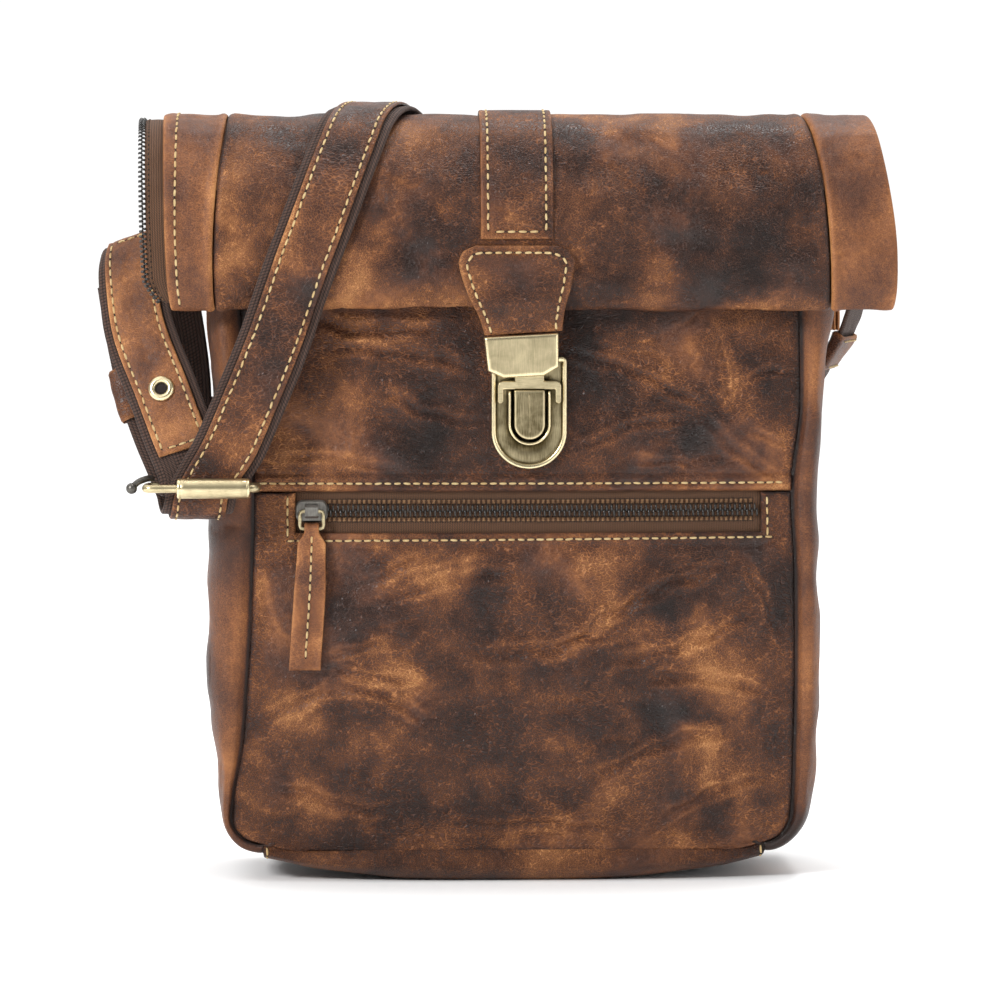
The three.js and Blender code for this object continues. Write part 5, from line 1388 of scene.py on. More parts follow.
@dataclass
class BackAndFlap:
    """The long panel that rises as the back and comes over the top as the flap, and its side pieces."""

    columns: int = 132
    left_wall: float = 1.8
    right_wall: float = 2.88

    def places(self, start: float, end: float, step: float = 1.25) -> Array:
        """Places along the path at even steps in millimetres, closer at both ends."""
        dense = np.linspace(start, end, 900)
        length = path_length(FORM.wrap(dense)[0])
        return np.interp(along_edges(0, length[-1], step), length, dense)

    def main(self) -> None:
        """The main panel: waves along the flap's fold, a groove along the fold itself, raised seam borders and random
        creases.
        """
        place = self.places(0, 17, 1.5)
        share = along_edges(1, -1, 2 / self.columns, 0.02)
        left, right = FORM.wrap_reach(place, Side.LEFT), FORM.wrap_reach(place, Side.RIGHT)
        x = share[None] * np.where(share[None] > 0, right[:, None], left[:, None])
        skin = Skin(share, place, FORM.on_wrap(x, place))
        along = skin.lengths()[1]
        rim = skin.rim()
        flap = ease(8.6, 10.2, place)[:, None] + 0 * x
        soft, worn = crumpled(x, along, 81, 1.0, 0.2)
        ripple = 0.35 * waves(x, along, 87, 44, 2.2, 0.15) * flap
        relief = held_down((soft + ripple) * ease(0, 9, rim), 0.45)
        fold = np.exp(-((place - 13.7) / 0.45) ** 2)[:, None]
        relief = relief - fold * 0.25 * (1 + waves(x, along, 89, 26)) * 0.5
        relief += 0.5 * np.exp(-((skin.rim("lr") - 2.6) / 1.8) ** 2)
        # Painted shade: the turned-in end beyond the fold is darker, as the shade under the flap.
        tone = 0.2 * waves(x, along, 88, 70) + 0.12 * fold - 0.25 * ease(14.2, 15, place)[:, None]
        wear = worn + 0.28 * fold + 0.22 * np.exp(-((place - 9.1) / 0.8) ** 2)[:, None]
        wear = wear + 0.2 * np.exp(-skin.rim("lr") / 3.5)
        add_wall("back_and_flap_leather", skin, FORM.wall, FLAP, "body_leather", "back_and_flap_panel",
                 relief=relief, tone=tone, wear=wear, rim=rim, raw=0.25)

    def side_piece(self, side: Side) -> None:
        """The flattened top of a gusset beside the flap, with a raised edge at the seam."""
        place = self.places(5, 17)
        inner = FORM.wrap_reach(place, side) + 0.5
        outer_reach = FORM.wrap_reach(place, side, end=True)
        share = along_edges(0, 1, 0.035, 0.06)
        if side is Side.LEFT:
            x = -(inner[:, None] + (outer_reach - inner)[:, None] * share[None])
        else:
            x = outer_reach[:, None] + (inner - outer_reach)[:, None] * share[None]
        skin = Skin(share, place, FORM.on_wrap(x, place))
        along = skin.lengths()[1]
        rim = skin.rim()
        seed = 91 if side is Side.LEFT else 101
        soft, worn = crumpled(x * 1.5, along, seed, 0.55, 0.1)
        seam_rim = skin.rim("l" if side is Side.LEFT else "r")
        relief = held_down(soft * ease(0, 5, rim), 0.3) + 0.55 * np.exp(-((seam_rim - 1.9) / 1.4) ** 2)
        relief += 0.12 * waves(x, along, seed + 6, 15, 2.0) * ease(0, 4, rim)
        tone = 0.15 * waves(x, along, seed + 7, 40)
        wear = worn * 0.8 + 0.3 * np.exp(-seam_rim / 2.5)
        node, finish, slot, wall = (
            ("flap_side_left", TAN, "light_leather", self.left_wall) if side is Side.LEFT
            else ("flap_side_right", SIDE, "body_leather", self.right_wall))
        outer = add_wall(node + "_leather", skin, wall, finish, slot, node, relief=relief, tone=tone,
                         wear=wear, rim=rim)
        if side is Side.LEFT:
            thread = Stitching("flap_side_stitches", CREAM, pitch=4.0, length=3.1, radius=0.44)
            thread.between(outer, (0.76, 8.0), (0.78, 10.0), (0.78, 12.0), (0.77, 13.6), count=300)
            thread.build()

    def build(self) -> None:
        """Makes the main panel and both side pieces."""
        self.main()
        self.side_piece(Side.LEFT)
        self.side_piece(Side.RIGHT)


@dataclass
class Bottom:
    """The panel that closes the body below, sagging flat in the middle."""

    back_y: float = 35.88
    back_top: float = 12.96

    def build(self) -> None:
        """Makes the panel from its cross-sections at stations along the width."""
        hem = [0.0513 * FORM.mouth, 0.0546 * FORM.mouth, 0.0639 * FORM.mouth]
        flat = 0.34 * FORM.half_width
        stations = []
        for side, edges in ((-1, LEFT_EDGES), (1, RIGHT_EDGES)):
            reach = edges.columns["seam"][:3] * FORM.half_width
            half = [(flat, hem[0]), ((flat + reach[0]) / 2, hem[0]), (reach[0], hem[0]), (reach[1], hem[1]),
                    (reach[2] - 0.5, hem[2])]
            stations += [(side * x, top) for x, top in (half[::-1] if side < 0 else half)]
        x, top = np.array(stations).T
        front_y = FORM.front_depth(x, top)
        low = FORM.half_width * UNDERSIDE.read("reach", "rise", np.abs(x) / FORM.half_width)
        rows = []
        for across, out, rise in BOTTOM[::-1]:
            edge = top + (self.back_top - top) * across - 0.5
            y = front_y + (self.back_y - front_y) * across + out * FORM.lobe
            rows.append(np.column_stack([x, y, low + (edge - low) * rise]))
        coarse = np.array(rows)
        up = np.linspace(0, 10, 150)
        across_at = np.unique(np.concatenate([np.linspace(0, 9, 170), [0.03, 0.08, 8.92, 8.97]]))
        grid = refined(coarse, up, across_at)
        grid[..., 2] = np.maximum(grid[..., 2], 0.0)
        skin = Skin(across_at, up, grid)
        x, y = skin.points[..., 0], skin.points[..., 1]
        rim = skin.rim()
        soft, worn = crumpled(x, y, 111, 0.4)
        relief = np.minimum(soft * ease(0, 8, rim), 0) * ease(2, 8, skin.points[..., 2] + 2)
        tone = -0.2 + 0.2 * waves(x, y, 113, 60)
        outer = add_wall("bottom_panel_leather", skin, FORM.wall, TRIM, "body_leather", "bottom_panel",
                         relief=relief, tone=tone, wear=worn, rim=rim, raw=0.1)
        thread = Stitching("bottom_stitches", CREAM, pitch=3.6, length=2.9, radius=0.42)
        for end in (0.22, 8.78):
            thread.between(outer, (end, 6.9), (end, 9.0))
        thread.build()


# Zips

def add_teeth(name: str, centres: Array, across: Array, outs: Array, reach: float, thick: float,
              node: str) -> None:
    """Makes a coil of zip teeth: bent loops from both sides that interlock in the middle.

    A loop is a tube of six rings that arches out by 1 - t * t between its foot and its nose.

    Args:
        name: the object's name.
        centres: the middle of each loop, in order along the coil.
        across: the direction across the coil for each.
        outs: the outward direction for each.
        reach: half the coil's height.
        thick: a loop's radius.
        node: the CAD node that it stands for.
    """
    count, rings, sides = len(centres), 6, 6
    sign = np.where(np.arange(count) % 2 == 0, 1.0, -1.0)[:, None]
    t = np.linspace(0, 1, rings)
    along = unit(np.cross(across, outs))
    place = 1.0 - 1.25 * t
    spine = (centres[:, None] + (across * sign)[:, None] * (reach * place)[None, :, None]
             + outs[:, None] * (thick * 1.2 * np.sin(np.pi * np.clip(t * 1.1, 0, 1)))[None, :, None])
    size = thick * np.array([0.75, 1.0, 1.0, 1.0, 1.05, 0.5])
    angle = np.linspace(0, 2 * np.pi, sides, endpoint=False)
    ring = (along[:, None] * np.cos(angle)[None, :, None] + outs[:, None] * np.sin(angle)[None, :, None])
    points = spine[:, :, None] + ring[:, None] * size[None, :, None, None]
    quads, low, high = tube_faces(rings, sides)
    offsets = (np.arange(count) * rings * sides)[:, None, None]
    flips = sign[:, 0] > 0
    faces = []
    for group in (quads, low, high):
        all_faces = group[None] + offsets
        faces.append(np.where(flips[:, None, None], all_faces[..., ::-1], all_faces).reshape(-1, group.shape[1]))
    add_piece(name, points.reshape(-1, 3), faces, TEETH, "zip_teeth", node)


@dataclass
class PocketZip:
    """The zip of the front pocket: woven tape, coil, chevron stitches, slider, link and puller."""

    top: float = 161.6
    left: float = -90.6
    right: float = 100.6
    bottom: float = 144.8
    margin: float = 5.0
    middle: float = 153.8
    coil_half: float = 2.6
    slider_x: float = -83.75
    hinge_y: float = -40.506
    puller_wide: float = 13.0
    puller_long: float = 58.0
    link_long: float = 7.2

    def tape(self) -> Skin:
        """The tape behind the opening, with its two beaded edges along the coil."""
        across = along_edges(self.left - self.margin, self.right + self.margin, 1.0, 1.0)
        up = along_edges(self.bottom - self.margin, self.top + self.margin, 0.5, 1.0)
        skin = Skin(across, up, FORM.on_front(across[None], up[:, None], -(FORM.wall + FORM.lay_gap)))
        off = np.abs(up[:, None] - self.middle) + 0 * across[None]
        relief = 0.5 * np.exp(-((off - 4.6) / 1.0) ** 2) - 0.25 * np.exp(-(off / 2.0) ** 2)
        return add_wall("pocket_zip_tape_cloth", skin, 0.8, TAPE, "zip_tape", "pocket_zip_tape", relief=relief)

    def coil(self, tape: Skin) -> None:
        """The closed coil, and the chevron loops that sew it to the tape."""
        start, end = self.slider_x + 6.8, self.right - 0.8
        x = np.arange(start, end, 1.02)
        centres = FORM.on_front(x, np.full_like(x, self.middle), -0.55)
        across = np.tile([0.0, 0.0, 1.0], (len(x), 1))
        outs = np.tile([0.0, -1.0, 0.0], (len(x), 1))
        add_teeth("pocket_zip_teeth", centres, across, outs, self.coil_half, 0.46, "pocket_zip_coil")
        loops = Stitching("pocket_zip_chevrons", TAN_THREAD, pitch=1.0, length=2.4, radius=0.33)
        for low, high in ((self.middle + 2.7, self.middle + 4.6), (self.middle - 2.7, self.middle - 4.6)):
            for shift, lean in ((0.0, 1.02), (1.02, -1.02)):
                starts = np.arange(start, end - 2, 2.04) + shift
                self.slanted(loops, tape, starts, low, starts + lean, high)
        loops.build(slot="zip_tape")

    def slanted(self, loops: Stitching, tape: Skin, x0: Array, z0: float, x1: Array, z1: float) -> None:
        """Adds one short stitch on the tape from each first point to its second."""
        a, normal = tape.at(x0, np.full_like(x0, z0))
        b, _ = tape.at(x1, np.full_like(x1, z1))
        loops.rows.append(((a + b) / 2 + normal * 0.22, unit(b - a), normal, 0.92))

    def pull_frame(self, across: Array, away: Array, down: Array) -> Array:
        """Points in the hanging pull's own frame: across, towards the front, and down from the hinge."""
        reach = self.link_long + self.puller_long
        inner = self.slider_x + self.puller_wide / 2
        leans = []
        for share in (0.3, 0.5, 0.7, 0.85, 1.0):
            panel = float(FORM.front_depth(inner, self.middle - share * reach))
            leans.append(math.atan2(self.hinge_y - (panel - FORM.lay_gap - 1.8), share * reach))
        lean = max(leans)
        c, s = math.cos(lean), math.sin(lean)
        y = -away * c - down * s
        z = -down * c + away * s
        return np.stack([self.slider_x + across + 0 * y, self.hinge_y + y, self.middle + z], axis=-1)

    def sway(self, down: Array) -> Array:
        """How far the puller bows and leans to the left, by the distance below its top."""
        return 0.35 * np.sin(down / 13.0) - 0.045 * np.maximum(down, 0)

    def puller(self) -> None:
        """The leather puller: a strip folded round the link, in three layers, with one row of stitches."""
        top, end = self.link_long, self.link_long + self.puller_long
        eye = 1.12
        outer = eye + 1.45
        angle = np.linspace(0, np.pi, 15)[1:-1]
        down = np.concatenate([np.linspace(end, top + 5.5, 66), np.linspace(top + 5, top + 0.4, 12),
                               top - outer * np.sin(angle), np.linspace(top + 0.4, top + 5, 12),
                               np.linspace(top + 5.5, end, 66)])
        near = np.concatenate([np.full(66, 1.0), np.linspace(0.97, 0, 12), np.zeros(13),
                               np.linspace(0, 0.97, 12), np.full(66, 1.0)])
        thin = 1.78 + (outer - 1.78) * (1 - ease(0, 1, near))
        front = np.concatenate([np.ones(78), np.cos(angle), -np.ones(78)])
        away = thin * front
        half = self.puller_wide / 2 - (self.puller_wide / 2 - 3.7) * (1 - ease(top + 1.2, top + 6.5, down))
        half = half - 0.7 * ease(end - 30, top + 6, down)
        sway = self.sway(down - top)
        across = along_edges(-1, 1, 0.09, 0.12)
        x = across[None] * half[:, None] + sway[:, None] * ease(top + 2, top + 14, down)[:, None]
        points = self.pull_frame(x, away[:, None] + 0 * x, down[:, None] + 0 * x)
        skin = Skin(across, np.arange(len(down), dtype=float), points)
        rim = skin.rim()
        s, t = x, down[:, None] * front[:, None]
        soft, worn = crumpled(s * 2, t, 121, 0.35, 1.5)
        relief = held_down(soft * ease(0, 3, rim), 0.1) - 0.12 * np.exp(-(x / 1.0) ** 2)
        tone = 0.35 + 0.15 * waves(s, t, 123, 18)
        face = add_wall("zip_puller_leather", skin, 1.45, PULLER, "body_leather", "zip_puller",
                        relief=relief, tone=tone, wear=worn, rim=rim, round_rim=0.8, body="zip_pull")
        core_down = np.linspace(top + 3.4, end - 0.05, 60)
        core_half = np.interp(core_down, down[90:], half[90:]) * 0.985
        core_sway = self.sway(core_down - top)
        core_x = along_edges(-1, 1, 0.2, 0.1)
        cx = core_x[None] * core_half[:, None] + core_sway[:, None] * ease(top + 2, top + 14, core_down)[:, None]
        flat = self.pull_frame(cx, 0.3 + 0 * cx, core_down[:, None] + 0 * cx)[::-1]
        add_wall("zip_puller_core", Skin(core_x, core_down, flat), 0.6, TAN, "body_leather", tone=0.6,
                 round_rim=0.3, body="zip_pull")
        thread = Stitching("zip_puller_stitches", CREAM, pitch=3.9, length=3.2, radius=0.42)
        thread.between(face, (0.0, 6.0), (0.0, 72.0), count=200)
        thread.build(body="zip_pull")

    def build(self) -> None:
        """Makes the zip from back to front."""
        tape = self.tape()
        self.coil(tape)
        dress_node("pocket_zip_slider", NICKEL)
        dress_node("pocket_zip_link", BRASS_BAR)
        self.puller()


@dataclass
class TopZip:
    """The zip at the left end of the flap, folded over with it."""

    start: float = 8.2
    end: float = 13.6
    hairpin: float = 14.0
    reach: float = 7.5

    def build(self) -> None:
        """Makes the tape and the teeth on its outer edge."""
        place = np.linspace(self.start, self.end, 150)
        lift = -(FORM.wall + FORM.lay_gap)
        end = FORM.wrap_reach(place, Side.LEFT, end=True)
        edge = end + self.reach * np.minimum(1, (self.hairpin - place) / 1.2)
        share = np.linspace(0, 1, 22)
        x = -((end - 4)[:, None] + (edge - end + 4)[:, None] * share[None])
        skin = Skin(share, place, FORM.on_wrap(x, place, lift))
        relief = 0.18 * waves(x, skin.lengths()[1], 131, 14)
        outer = add_wall("top_zip_tape_cloth", skin, 1.0, TAPE, "zip_tape", "top_zip_tape", relief=relief)
        along = skin.lengths()[1][:, -1]
        at = np.arange(0.6, along[-1] - 0.6, 1.02)
        places = np.interp(at, along, place)
        centre, way, normal = FORM.wrap(places)
        reach = np.interp(places, place, edge)
        centre = centre + normal * (lift - 0.25)
        centre[:, 0] = -(reach + 1.2)
        across = np.tile([-1.0, 0.0, 0.0], (len(places), 1))
        add_teeth("top_zip_teeth", centre, across, normal, 1.5, 0.55, "top_zip_coil")
        thread = Stitching("top_zip_stitches", BROWN, pitch=2.2, length=1.8, radius=0.24)
        thread.between(outer, (0.86, self.start + 0.1), (0.86, self.end - 0.1), count=200)
        thread.build(slot="zip_tape")


# Closure

def tongue(width: float, top: float, bottom: float, corner: float) -> Array:
    """An outline with a straight top, cut corners and a round bottom, anticlockwise from the front."""
    radius = width / 2
    arc = np.linspace(np.pi, 2 * np.pi, 41)
    round_end = np.column_stack([radius * np.cos(arc), bottom + radius + radius * np.sin(arc)])
    turn = np.linspace(0, np.pi / 2, 6)
    right = np.column_stack([radius - corner + corner * np.cos(turn), top - corner + corner * np.sin(turn)])
    left = np.column_stack([-right[::-1, 0], right[::-1, 1]])
    sides = np.linspace(bottom + radius, top - corner, 8)[1:-1]
    return np.vstack([round_end, np.column_stack([np.full(6, radius), sides]), right, left,
                      np.column_stack([np.full(6, -radius), sides[::-1]])])


@dataclass(frozen=True)
class Tongue:
    """The outline of the lock's parts, which can be asked for moved inwards."""

    width: float
    top: float
    bottom: float
    corner: float

    def inset(self, by: float) -> Array:
        """The outline moved inwards by a distance."""
        return tongue(self.width - 2 * by, self.top - by, self.bottom + by, max(self.corner - by, 0.05))


@dataclass(frozen=True)
class Polygon:
    """A convex outline with straight sides, which can be asked for moved inwards."""

    corners: tuple[tuple[float, float], ...]

    def inset(self, by: float) -> Array:
        """The outline moved inwards: each corner is where its two moved sides meet, slightly rounded."""
        at = np.array(self.corners)
        way = unit(np.roll(at, -1, axis=0) - at)
        normal = np.column_stack([-way[:, 1], way[:, 0]])
        last, last_way = np.roll(normal, 1, axis=0), np.roll(way, 1, axis=0)
        moved = at + by * (normal + last) / (1 + np.sum(normal * last, axis=1, keepdims=True))
        turn = np.abs(last_way[:, :1] * way[:, 1:] - last_way[:, 1:] * way[:, :1])
        reach = 0.45 * turn + 0.05
        before, after = moved - last_way * reach, moved + way * reach
        middle = (before + after + 2 * moved) / 4
        return np.stack([before, middle, after], axis=1).reshape(-1, 2)


def add_plate(name: str, outline: Tongue | Polygon, profile: tuple[Place, ...], x: float, y: float,
              finish: Finish, node: str, body: str = BAG, tilt: float = 0.0, z: float = 0.0,
              window: Tongue | None = None) -> None:
    """Makes a plate from rings of its outline, each moved in and raised, closed behind and in front.

    Args:
        name: the object's name.
        outline: the shape in x and z.
        profile: for each ring how far in, how far out towards the front, and how worn it is.
        x: where the outline's middle lies.
        y: the depth of the plate's back.
        finish: its material.
        node: the CAD node that it stands for.
        body: the body that it rides on.
        tilt: a turn in the plane of the front, in radians.
        z: where the outline's own zero height lies.
        window: the outline of a hole right through, which leaves the plate open in front and behind.
    """
    rings, wear = [], []
    steps = [(outline, *step) for step in profile]
    if window is not None:
        steps += [(window, 0.0, profile[-1][1], profile[-1][2] - 0.2), (window, 0.0, profile[0][1], 0.0)]
    for shape, distance, rise, worn in steps:
        ring = shape.inset(distance)
        turned_x = ring[:, 0] * math.cos(tilt) - ring[:, 1] * math.sin(tilt)
        turned_z = ring[:, 0] * math.sin(tilt) + ring[:, 1] * math.cos(tilt)
        rings.append(np.column_stack([x + turned_x, np.full(len(ring), y - rise), z + turned_z]))
        wear.append(np.full(len(ring), worn))
    faces = tube_faces(len(rings), len(rings[0]), closed=window is not None)
    add_piece(name, np.vstack(rings), faces, finish, "antique_brass", node,
              marks={"wear": np.concatenate(wear)}, body=body)


@dataclass
class Closure:
    """The centre strip, the tab with its brass end, and the push lock."""

    lock_x: float = 5.3
    fold: float = 236.052
    strip_half: float = 14.75
    plate_width: float = 31.0
    plate_wall: float = 1.8
    rim_rise: float = 1.3
    button_width: float = 12.6
    button_high: float = 20.2
    cap_wide: float = 30.6
    cap_high: float = 17.2
    cap_wall: float = 4.6
    tab_wall: float = 2.4
    tilt: float = math.radians(3.2)

    def __post_init__(self) -> None:
        """Works out the heights and depths, as in the CAD."""
        self.plate_top = self.fold - 19
        self.plate_bottom = self.plate_top - 46
        self.button_bottom = self.fold - 52.65
        self.button_top = self.button_bottom + self.button_high
        faces = FORM.front_depth(self.lock_x, np.array([self.plate_bottom, self.button_bottom, self.plate_top]))
        self.plate_back = float(faces.min()) - FORM.lay_gap
        self.floor = self.plate_back - self.plate_wall
        self.rim_y = self.floor - self.rim_rise
        self.cap_back = self.rim_y - 2 * FORM.lay_gap - 1.2
        self.cap_x = self.lock_x - 2.5
        self.cap_bottom = self.fold - 27

    def strip(self) -> None:
        """The strip over the top, which ends on the flap under the tab."""
        start, end = 6.5, FORM.place_at(self.fold + 29, 11, 13)
        dense = np.linspace(start, end, 500)
        length = path_length(FORM.wrap(dense)[0])
        place = np.interp(along_edges(0, length[-1], 0.9), length, dense)
        share = along_edges(1, -1, 0.06, 0.1)
        x = share[None] * self.strip_half + 0 * place[:, None]
        skin = Skin(share, place, FORM.on_wrap(x, place, FORM.lay_gap + 1.6))
        along = skin.lengths()[1]
        rim = skin.rim()
        soft, worn = crumpled(x * 0.6, along, 141, 0.35, 0.0)
        bands = ridges(waves(x * 0.25, along, 143, 9), 3) * ease(0.1, 0.9, waves(x, along, 144, 40) + 0.6)
        relief = held_down((soft - 0.3 * bands) * ease(0, 3, rim), 0.2)
        relief -= 0.18 * np.exp(-((rim - 3.0) / 0.7) ** 2)
        tone = 0.12 * waves(x, along, 145, 24)
        outer = add_wall("closure_strip_leather", skin, 1.6, TRIM, "body_leather", "closure_strip",
                         relief=relief, tone=tone, wear=worn + 0.25 * bands, rim=rim, round_rim=0.9)
        thread = Stitching("closure_strip_stitches", CREAM, pitch=4.0, length=3.1, radius=0.44)
        last = float(np.interp(length[-1] - 3, length, dense))
        thread.between(outer, (0.8, start + 0.1), (0.8, last), count=300)
        thread.between(outer, (-0.8, start + 0.1), (-0.8, last), count=300)
        thread.between(outer, (0.62, last), (-0.62, last), count=60)
        thread.build()

    def tab(self) -> None:
        """The tab that hangs over the fold down to the brass end."""
        most = float(FORM.wrap(np.array([12, 12.25, 12.5, 12.75, 13.0]))[0][:, 1].min())
        face = most - FORM.lay_gap - self.tab_wall
        cap_face = self.cap_back - self.cap_wall / 2 - self.tab_wall / 2
        cap_top, top = self.cap_bottom + self.cap_high, self.fold + 26.5
        outline = np.array([
            (cap_top + FORM.lay_gap, 15.8, cap_face, 1), (cap_top + 6, 17.0, cap_face * 0.6 + face * 0.4, 0.8),
            (self.fold + 2, 18.8, face, 0.5), (self.fold + 9, 21.3, face, 0.3), (top - 9, 23.3, face, 0.1),
            (top - 6, 23.5, face, 0.1), (top - 2.5, 21.5, face, 0), (top, 16.5, face, 0),
        ])
        rows = spline(outline, np.unique(np.concatenate([np.linspace(0, 7, 90), [0.02, 0.06, 6.97, 6.99]])))
        z, half, y, lean = rows.T
        share = along_edges(-1, 1, 0.03, 0.08)
        centre = (self.cap_x * lean - 0.5 * (1 - lean))[:, None]
        x = centre + share[None] * half[:, None]
        rise = share[None] * half[:, None] * math.tan(self.tilt) * lean[:, None]
        skin = Skin(share, z, np.stack([x, y[:, None] + 0 * x, z[:, None] + rise], axis=-1))
        rim = skin.rim()
        soft, worn = crumpled(x, skin.points[..., 2], 151, 0.45, 0.9)
        relief = held_down(soft * ease(0, 4, rim), 0.15) - 0.2 * np.exp(-((rim - 3.1) / 0.8) ** 2)
        relief += 0.3 * np.exp(-((rim - 6.5) / 3.0) ** 2) * ease(250, 262, skin.points[..., 2])
        tone = -0.18 + 0.16 * waves(x, skin.points[..., 2], 153, 26)
        outer = add_wall("closure_tab_leather", skin, self.tab_wall, TRIM, "body_leather", "closure_tab",
                         relief=relief, tone=tone, wear=worn * 1.1, rim=rim, round_rim=1.2)
        thread = Stitching("closure_tab_stitches", CREAM, pitch=4.0, length=3.1, radius=0.46)
        low, high = float(z[0]) + 0.6, float(z[-1])
        thread.between(outer, (-0.82, low), (-0.86, high - 8), (-0.80, high - 4.5), (-0.68, high - 3.0),
                       (0.0, high - 2.8), (0.68, high - 3.0), (0.80, high - 4.5), (0.86, high - 8),
                       (0.82, low), count=500)
        thread.build()
        self.cap()

    def cap(self) -> None:
        """The brass end, with cut lower corners and a rounded face."""
        x, z, cut = self.cap_wide / 2, self.cap_high, 3.2
        outline = Polygon(((-x + 0.8, cut), (-x + cut * 2.2, 0), (x - cut * 2.2, 0), (x - 0.8, cut), (x, z),
                           (-x, z)))
        wall = self.cap_wall
        add_plate("tab_end_cap_metal", outline, (
            (0.5, 0.0, 0.2), (0.12, 0.15, 0.3), (0.0, 0.6, 0.1), (0.0, wall - 1.3, 0.1), (0.15, wall - 0.65, 0.35),
            (0.55, wall - 0.2, 0.55), (1.2, wall - 0.03, 0.2), (1.6, wall, 0.05), (2.0, wall, 0.0),
        ), self.cap_x, self.cap_back, BRASS, "tab_end_cap", tilt=self.tilt, z=self.cap_bottom)

    def lock(self) -> None:
        """Plate, collar, button and hasp."""
        plate = Tongue(self.plate_width, self.plate_top, self.plate_bottom, 2.0)
        floor, rim = self.plate_wall, self.plate_wall + self.rim_rise
        inset, gap, travel = 2.0, 0.35, 1.6
        window = Tongue(self.button_width - 2 * inset + 2 * gap, self.button_top - inset + gap,
                        self.button_bottom + inset - gap, 0.3)
        add_plate("lock_plate_metal", plate, (
            (0.45, 0.0, 0.1), (0.1, 0.15, 0.2), (0.0, 0.5, 0.2), (0.0, rim - 0.75, 0.2), (0.18, rim - 0.3, 0.5),
            (0.5, rim - 0.05, 0.6), (0.8, rim, 0.35), (1.55, rim - 0.12, 0.3), (1.95, rim - 0.4, 0.45),
            (2.2, floor + 0.35, 0.0), (2.32, floor + 0.06, -0.6), (2.6, floor, -0.5), (3.3, floor, -0.35),
            (5.0, floor, -0.4),
        ), self.lock_x, self.plate_back, BRASS, "lock_plate", window=window)
        button = Tongue(self.button_width, self.button_top, self.button_bottom, 0.6)
        rise = 6.2 - travel - gap
        add_plate("lock_button_metal", button, (
            (inset + 0.2, -travel - gap - 0.1, 0.0), (inset, -travel - gap, 0.0), (inset, -0.01, -0.3),
            (0.3, 0.0, 0.0), (0.0, 0.15, 0.0), (0.0, rise - 0.75, 0.1), (0.12, rise - 0.32, 0.35),
            (0.4, rise - 0.06, 0.6), (0.8, rise, 0.3), (1.2, rise + 0.02, 0.0), (2.4, rise + 0.05, 0.0),
        ), self.lock_x, self.floor - travel - gap, BRASS_SATIN, "lock_button", body="push_button")
        self.ridge(rise)
        self.collar()
        self.hasp()

    def ridge(self, rise: float) -> None:
        """The faint upright ridge in the middle of the button."""
        height = np.linspace(-0.40, 0.40, 15)[:, None] * self.button_high
        side = np.linspace(-0.55, 0.55, 9)[None]
        z = self.button_bottom + self.button_high * 0.52 + height + 0 * side
        bulge = 0.4 * np.sqrt(np.maximum(1 - (side / 0.56) ** 2, 0)) * np.sqrt(
            np.maximum(1 - (height / (0.402 * self.button_high)) ** 6, 0))
        y = self.floor - 1.95 - rise - 0.02 - bulge
        skin = Skin(side[0], height[:, 0], np.stack([self.lock_x + side + 0 * y, y, z], axis=-1))
        add_wall("lock_button_ridge", skin, 0.3, BRASS_SATIN, "antique_brass", wear=-0.1, round_rim=0.05,
                 raw=0.2, body="push_button")

    def collar(self) -> None:
        """The U round the button: a rounded strip swept along the button's outline."""
        middle = Tongue(self.button_width, self.button_top, self.button_bottom, 0.6).inset(-1.8)
        arc = middle[:41]
        side = np.linspace(arc[-1, 1], self.button_top - 0.6, 10)[1:]
        half = self.button_width / 2 + 1.8
        path = np.vstack([np.column_stack([np.full(9, -half), side[::-1]]), arc,
                          np.column_stack([np.full(9, half), side])])
        way = unit(np.gradient(path, axis=0))
        out = np.column_stack([way[:, 1], -way[:, 0]])
        section = ((-0.55, 0.0), (-0.55, 4.45), (-0.42, 4.8), (-0.12, 4.98), (0.18, 4.98), (0.45, 4.8), (0.55, 4.45),
                   (0.55, 0.0))
        rings = np.stack([np.column_stack([
            self.lock_x + path[:, 0] + out[:, 0] * wide, np.full(len(path), self.floor - FORM.lay_gap - rise),
            path[:, 1] + out[:, 1] * wide]) for wide, rise in section], axis=1)
        worn = np.tile([-0.3, 0.0, 0.35, 0.5, 0.5, 0.35, 0.0, -0.3], len(path))
        add_piece("lock_collar_metal", rings.reshape(-1, 3), tube_faces(len(path), len(section)), BRASS,
                  "antique_brass", "lock_collar", marks={"wear": worn})

    def hasp(self) -> None:
        """The bar over the button with a leg at each end, bevelled all round."""
        bottom, half, bar, leg = self.button_top + 0.2, 13.0, 3.6, 2.5
        low = bottom + bar - 9.6
        right = np.array([
            (half - leg, bottom), (half - leg, low + 1), (half - 1, low), (half, low + 1),
            (half, bottom + bar - 2), (half - 0.6, bottom + bar - 0.6), (half - 2, bottom + bar),
            (6, bottom + bar), (6, self.cap_bottom + 6)])
        outline = np.vstack([right, right[::-1] * [-1, 1]])
        back = self.rim_y - FORM.lay_gap
        front = np.column_stack([self.lock_x + outline[:, 0], np.full(len(outline), back - leg), outline[:, 1]])
        piece = add_piece("hasp_loop_metal", np.vstack([front + [0, leg, 0], front]), tube_faces(2, len(outline)),
                          BRASS_BAR, "antique_brass", "hasp_loop")
        bevel = piece.modifiers.new("edges", "BEVEL")
        bevel.width, bevel.segments, bevel.limit_method = 0.55 * METRE, 3, "ANGLE"
        bevel.harden_normals = True

    def build(self) -> None:
        """Makes the closure from the strip to the lock."""
        self.strip()
        self.tab()
        self.lock()


# Straps

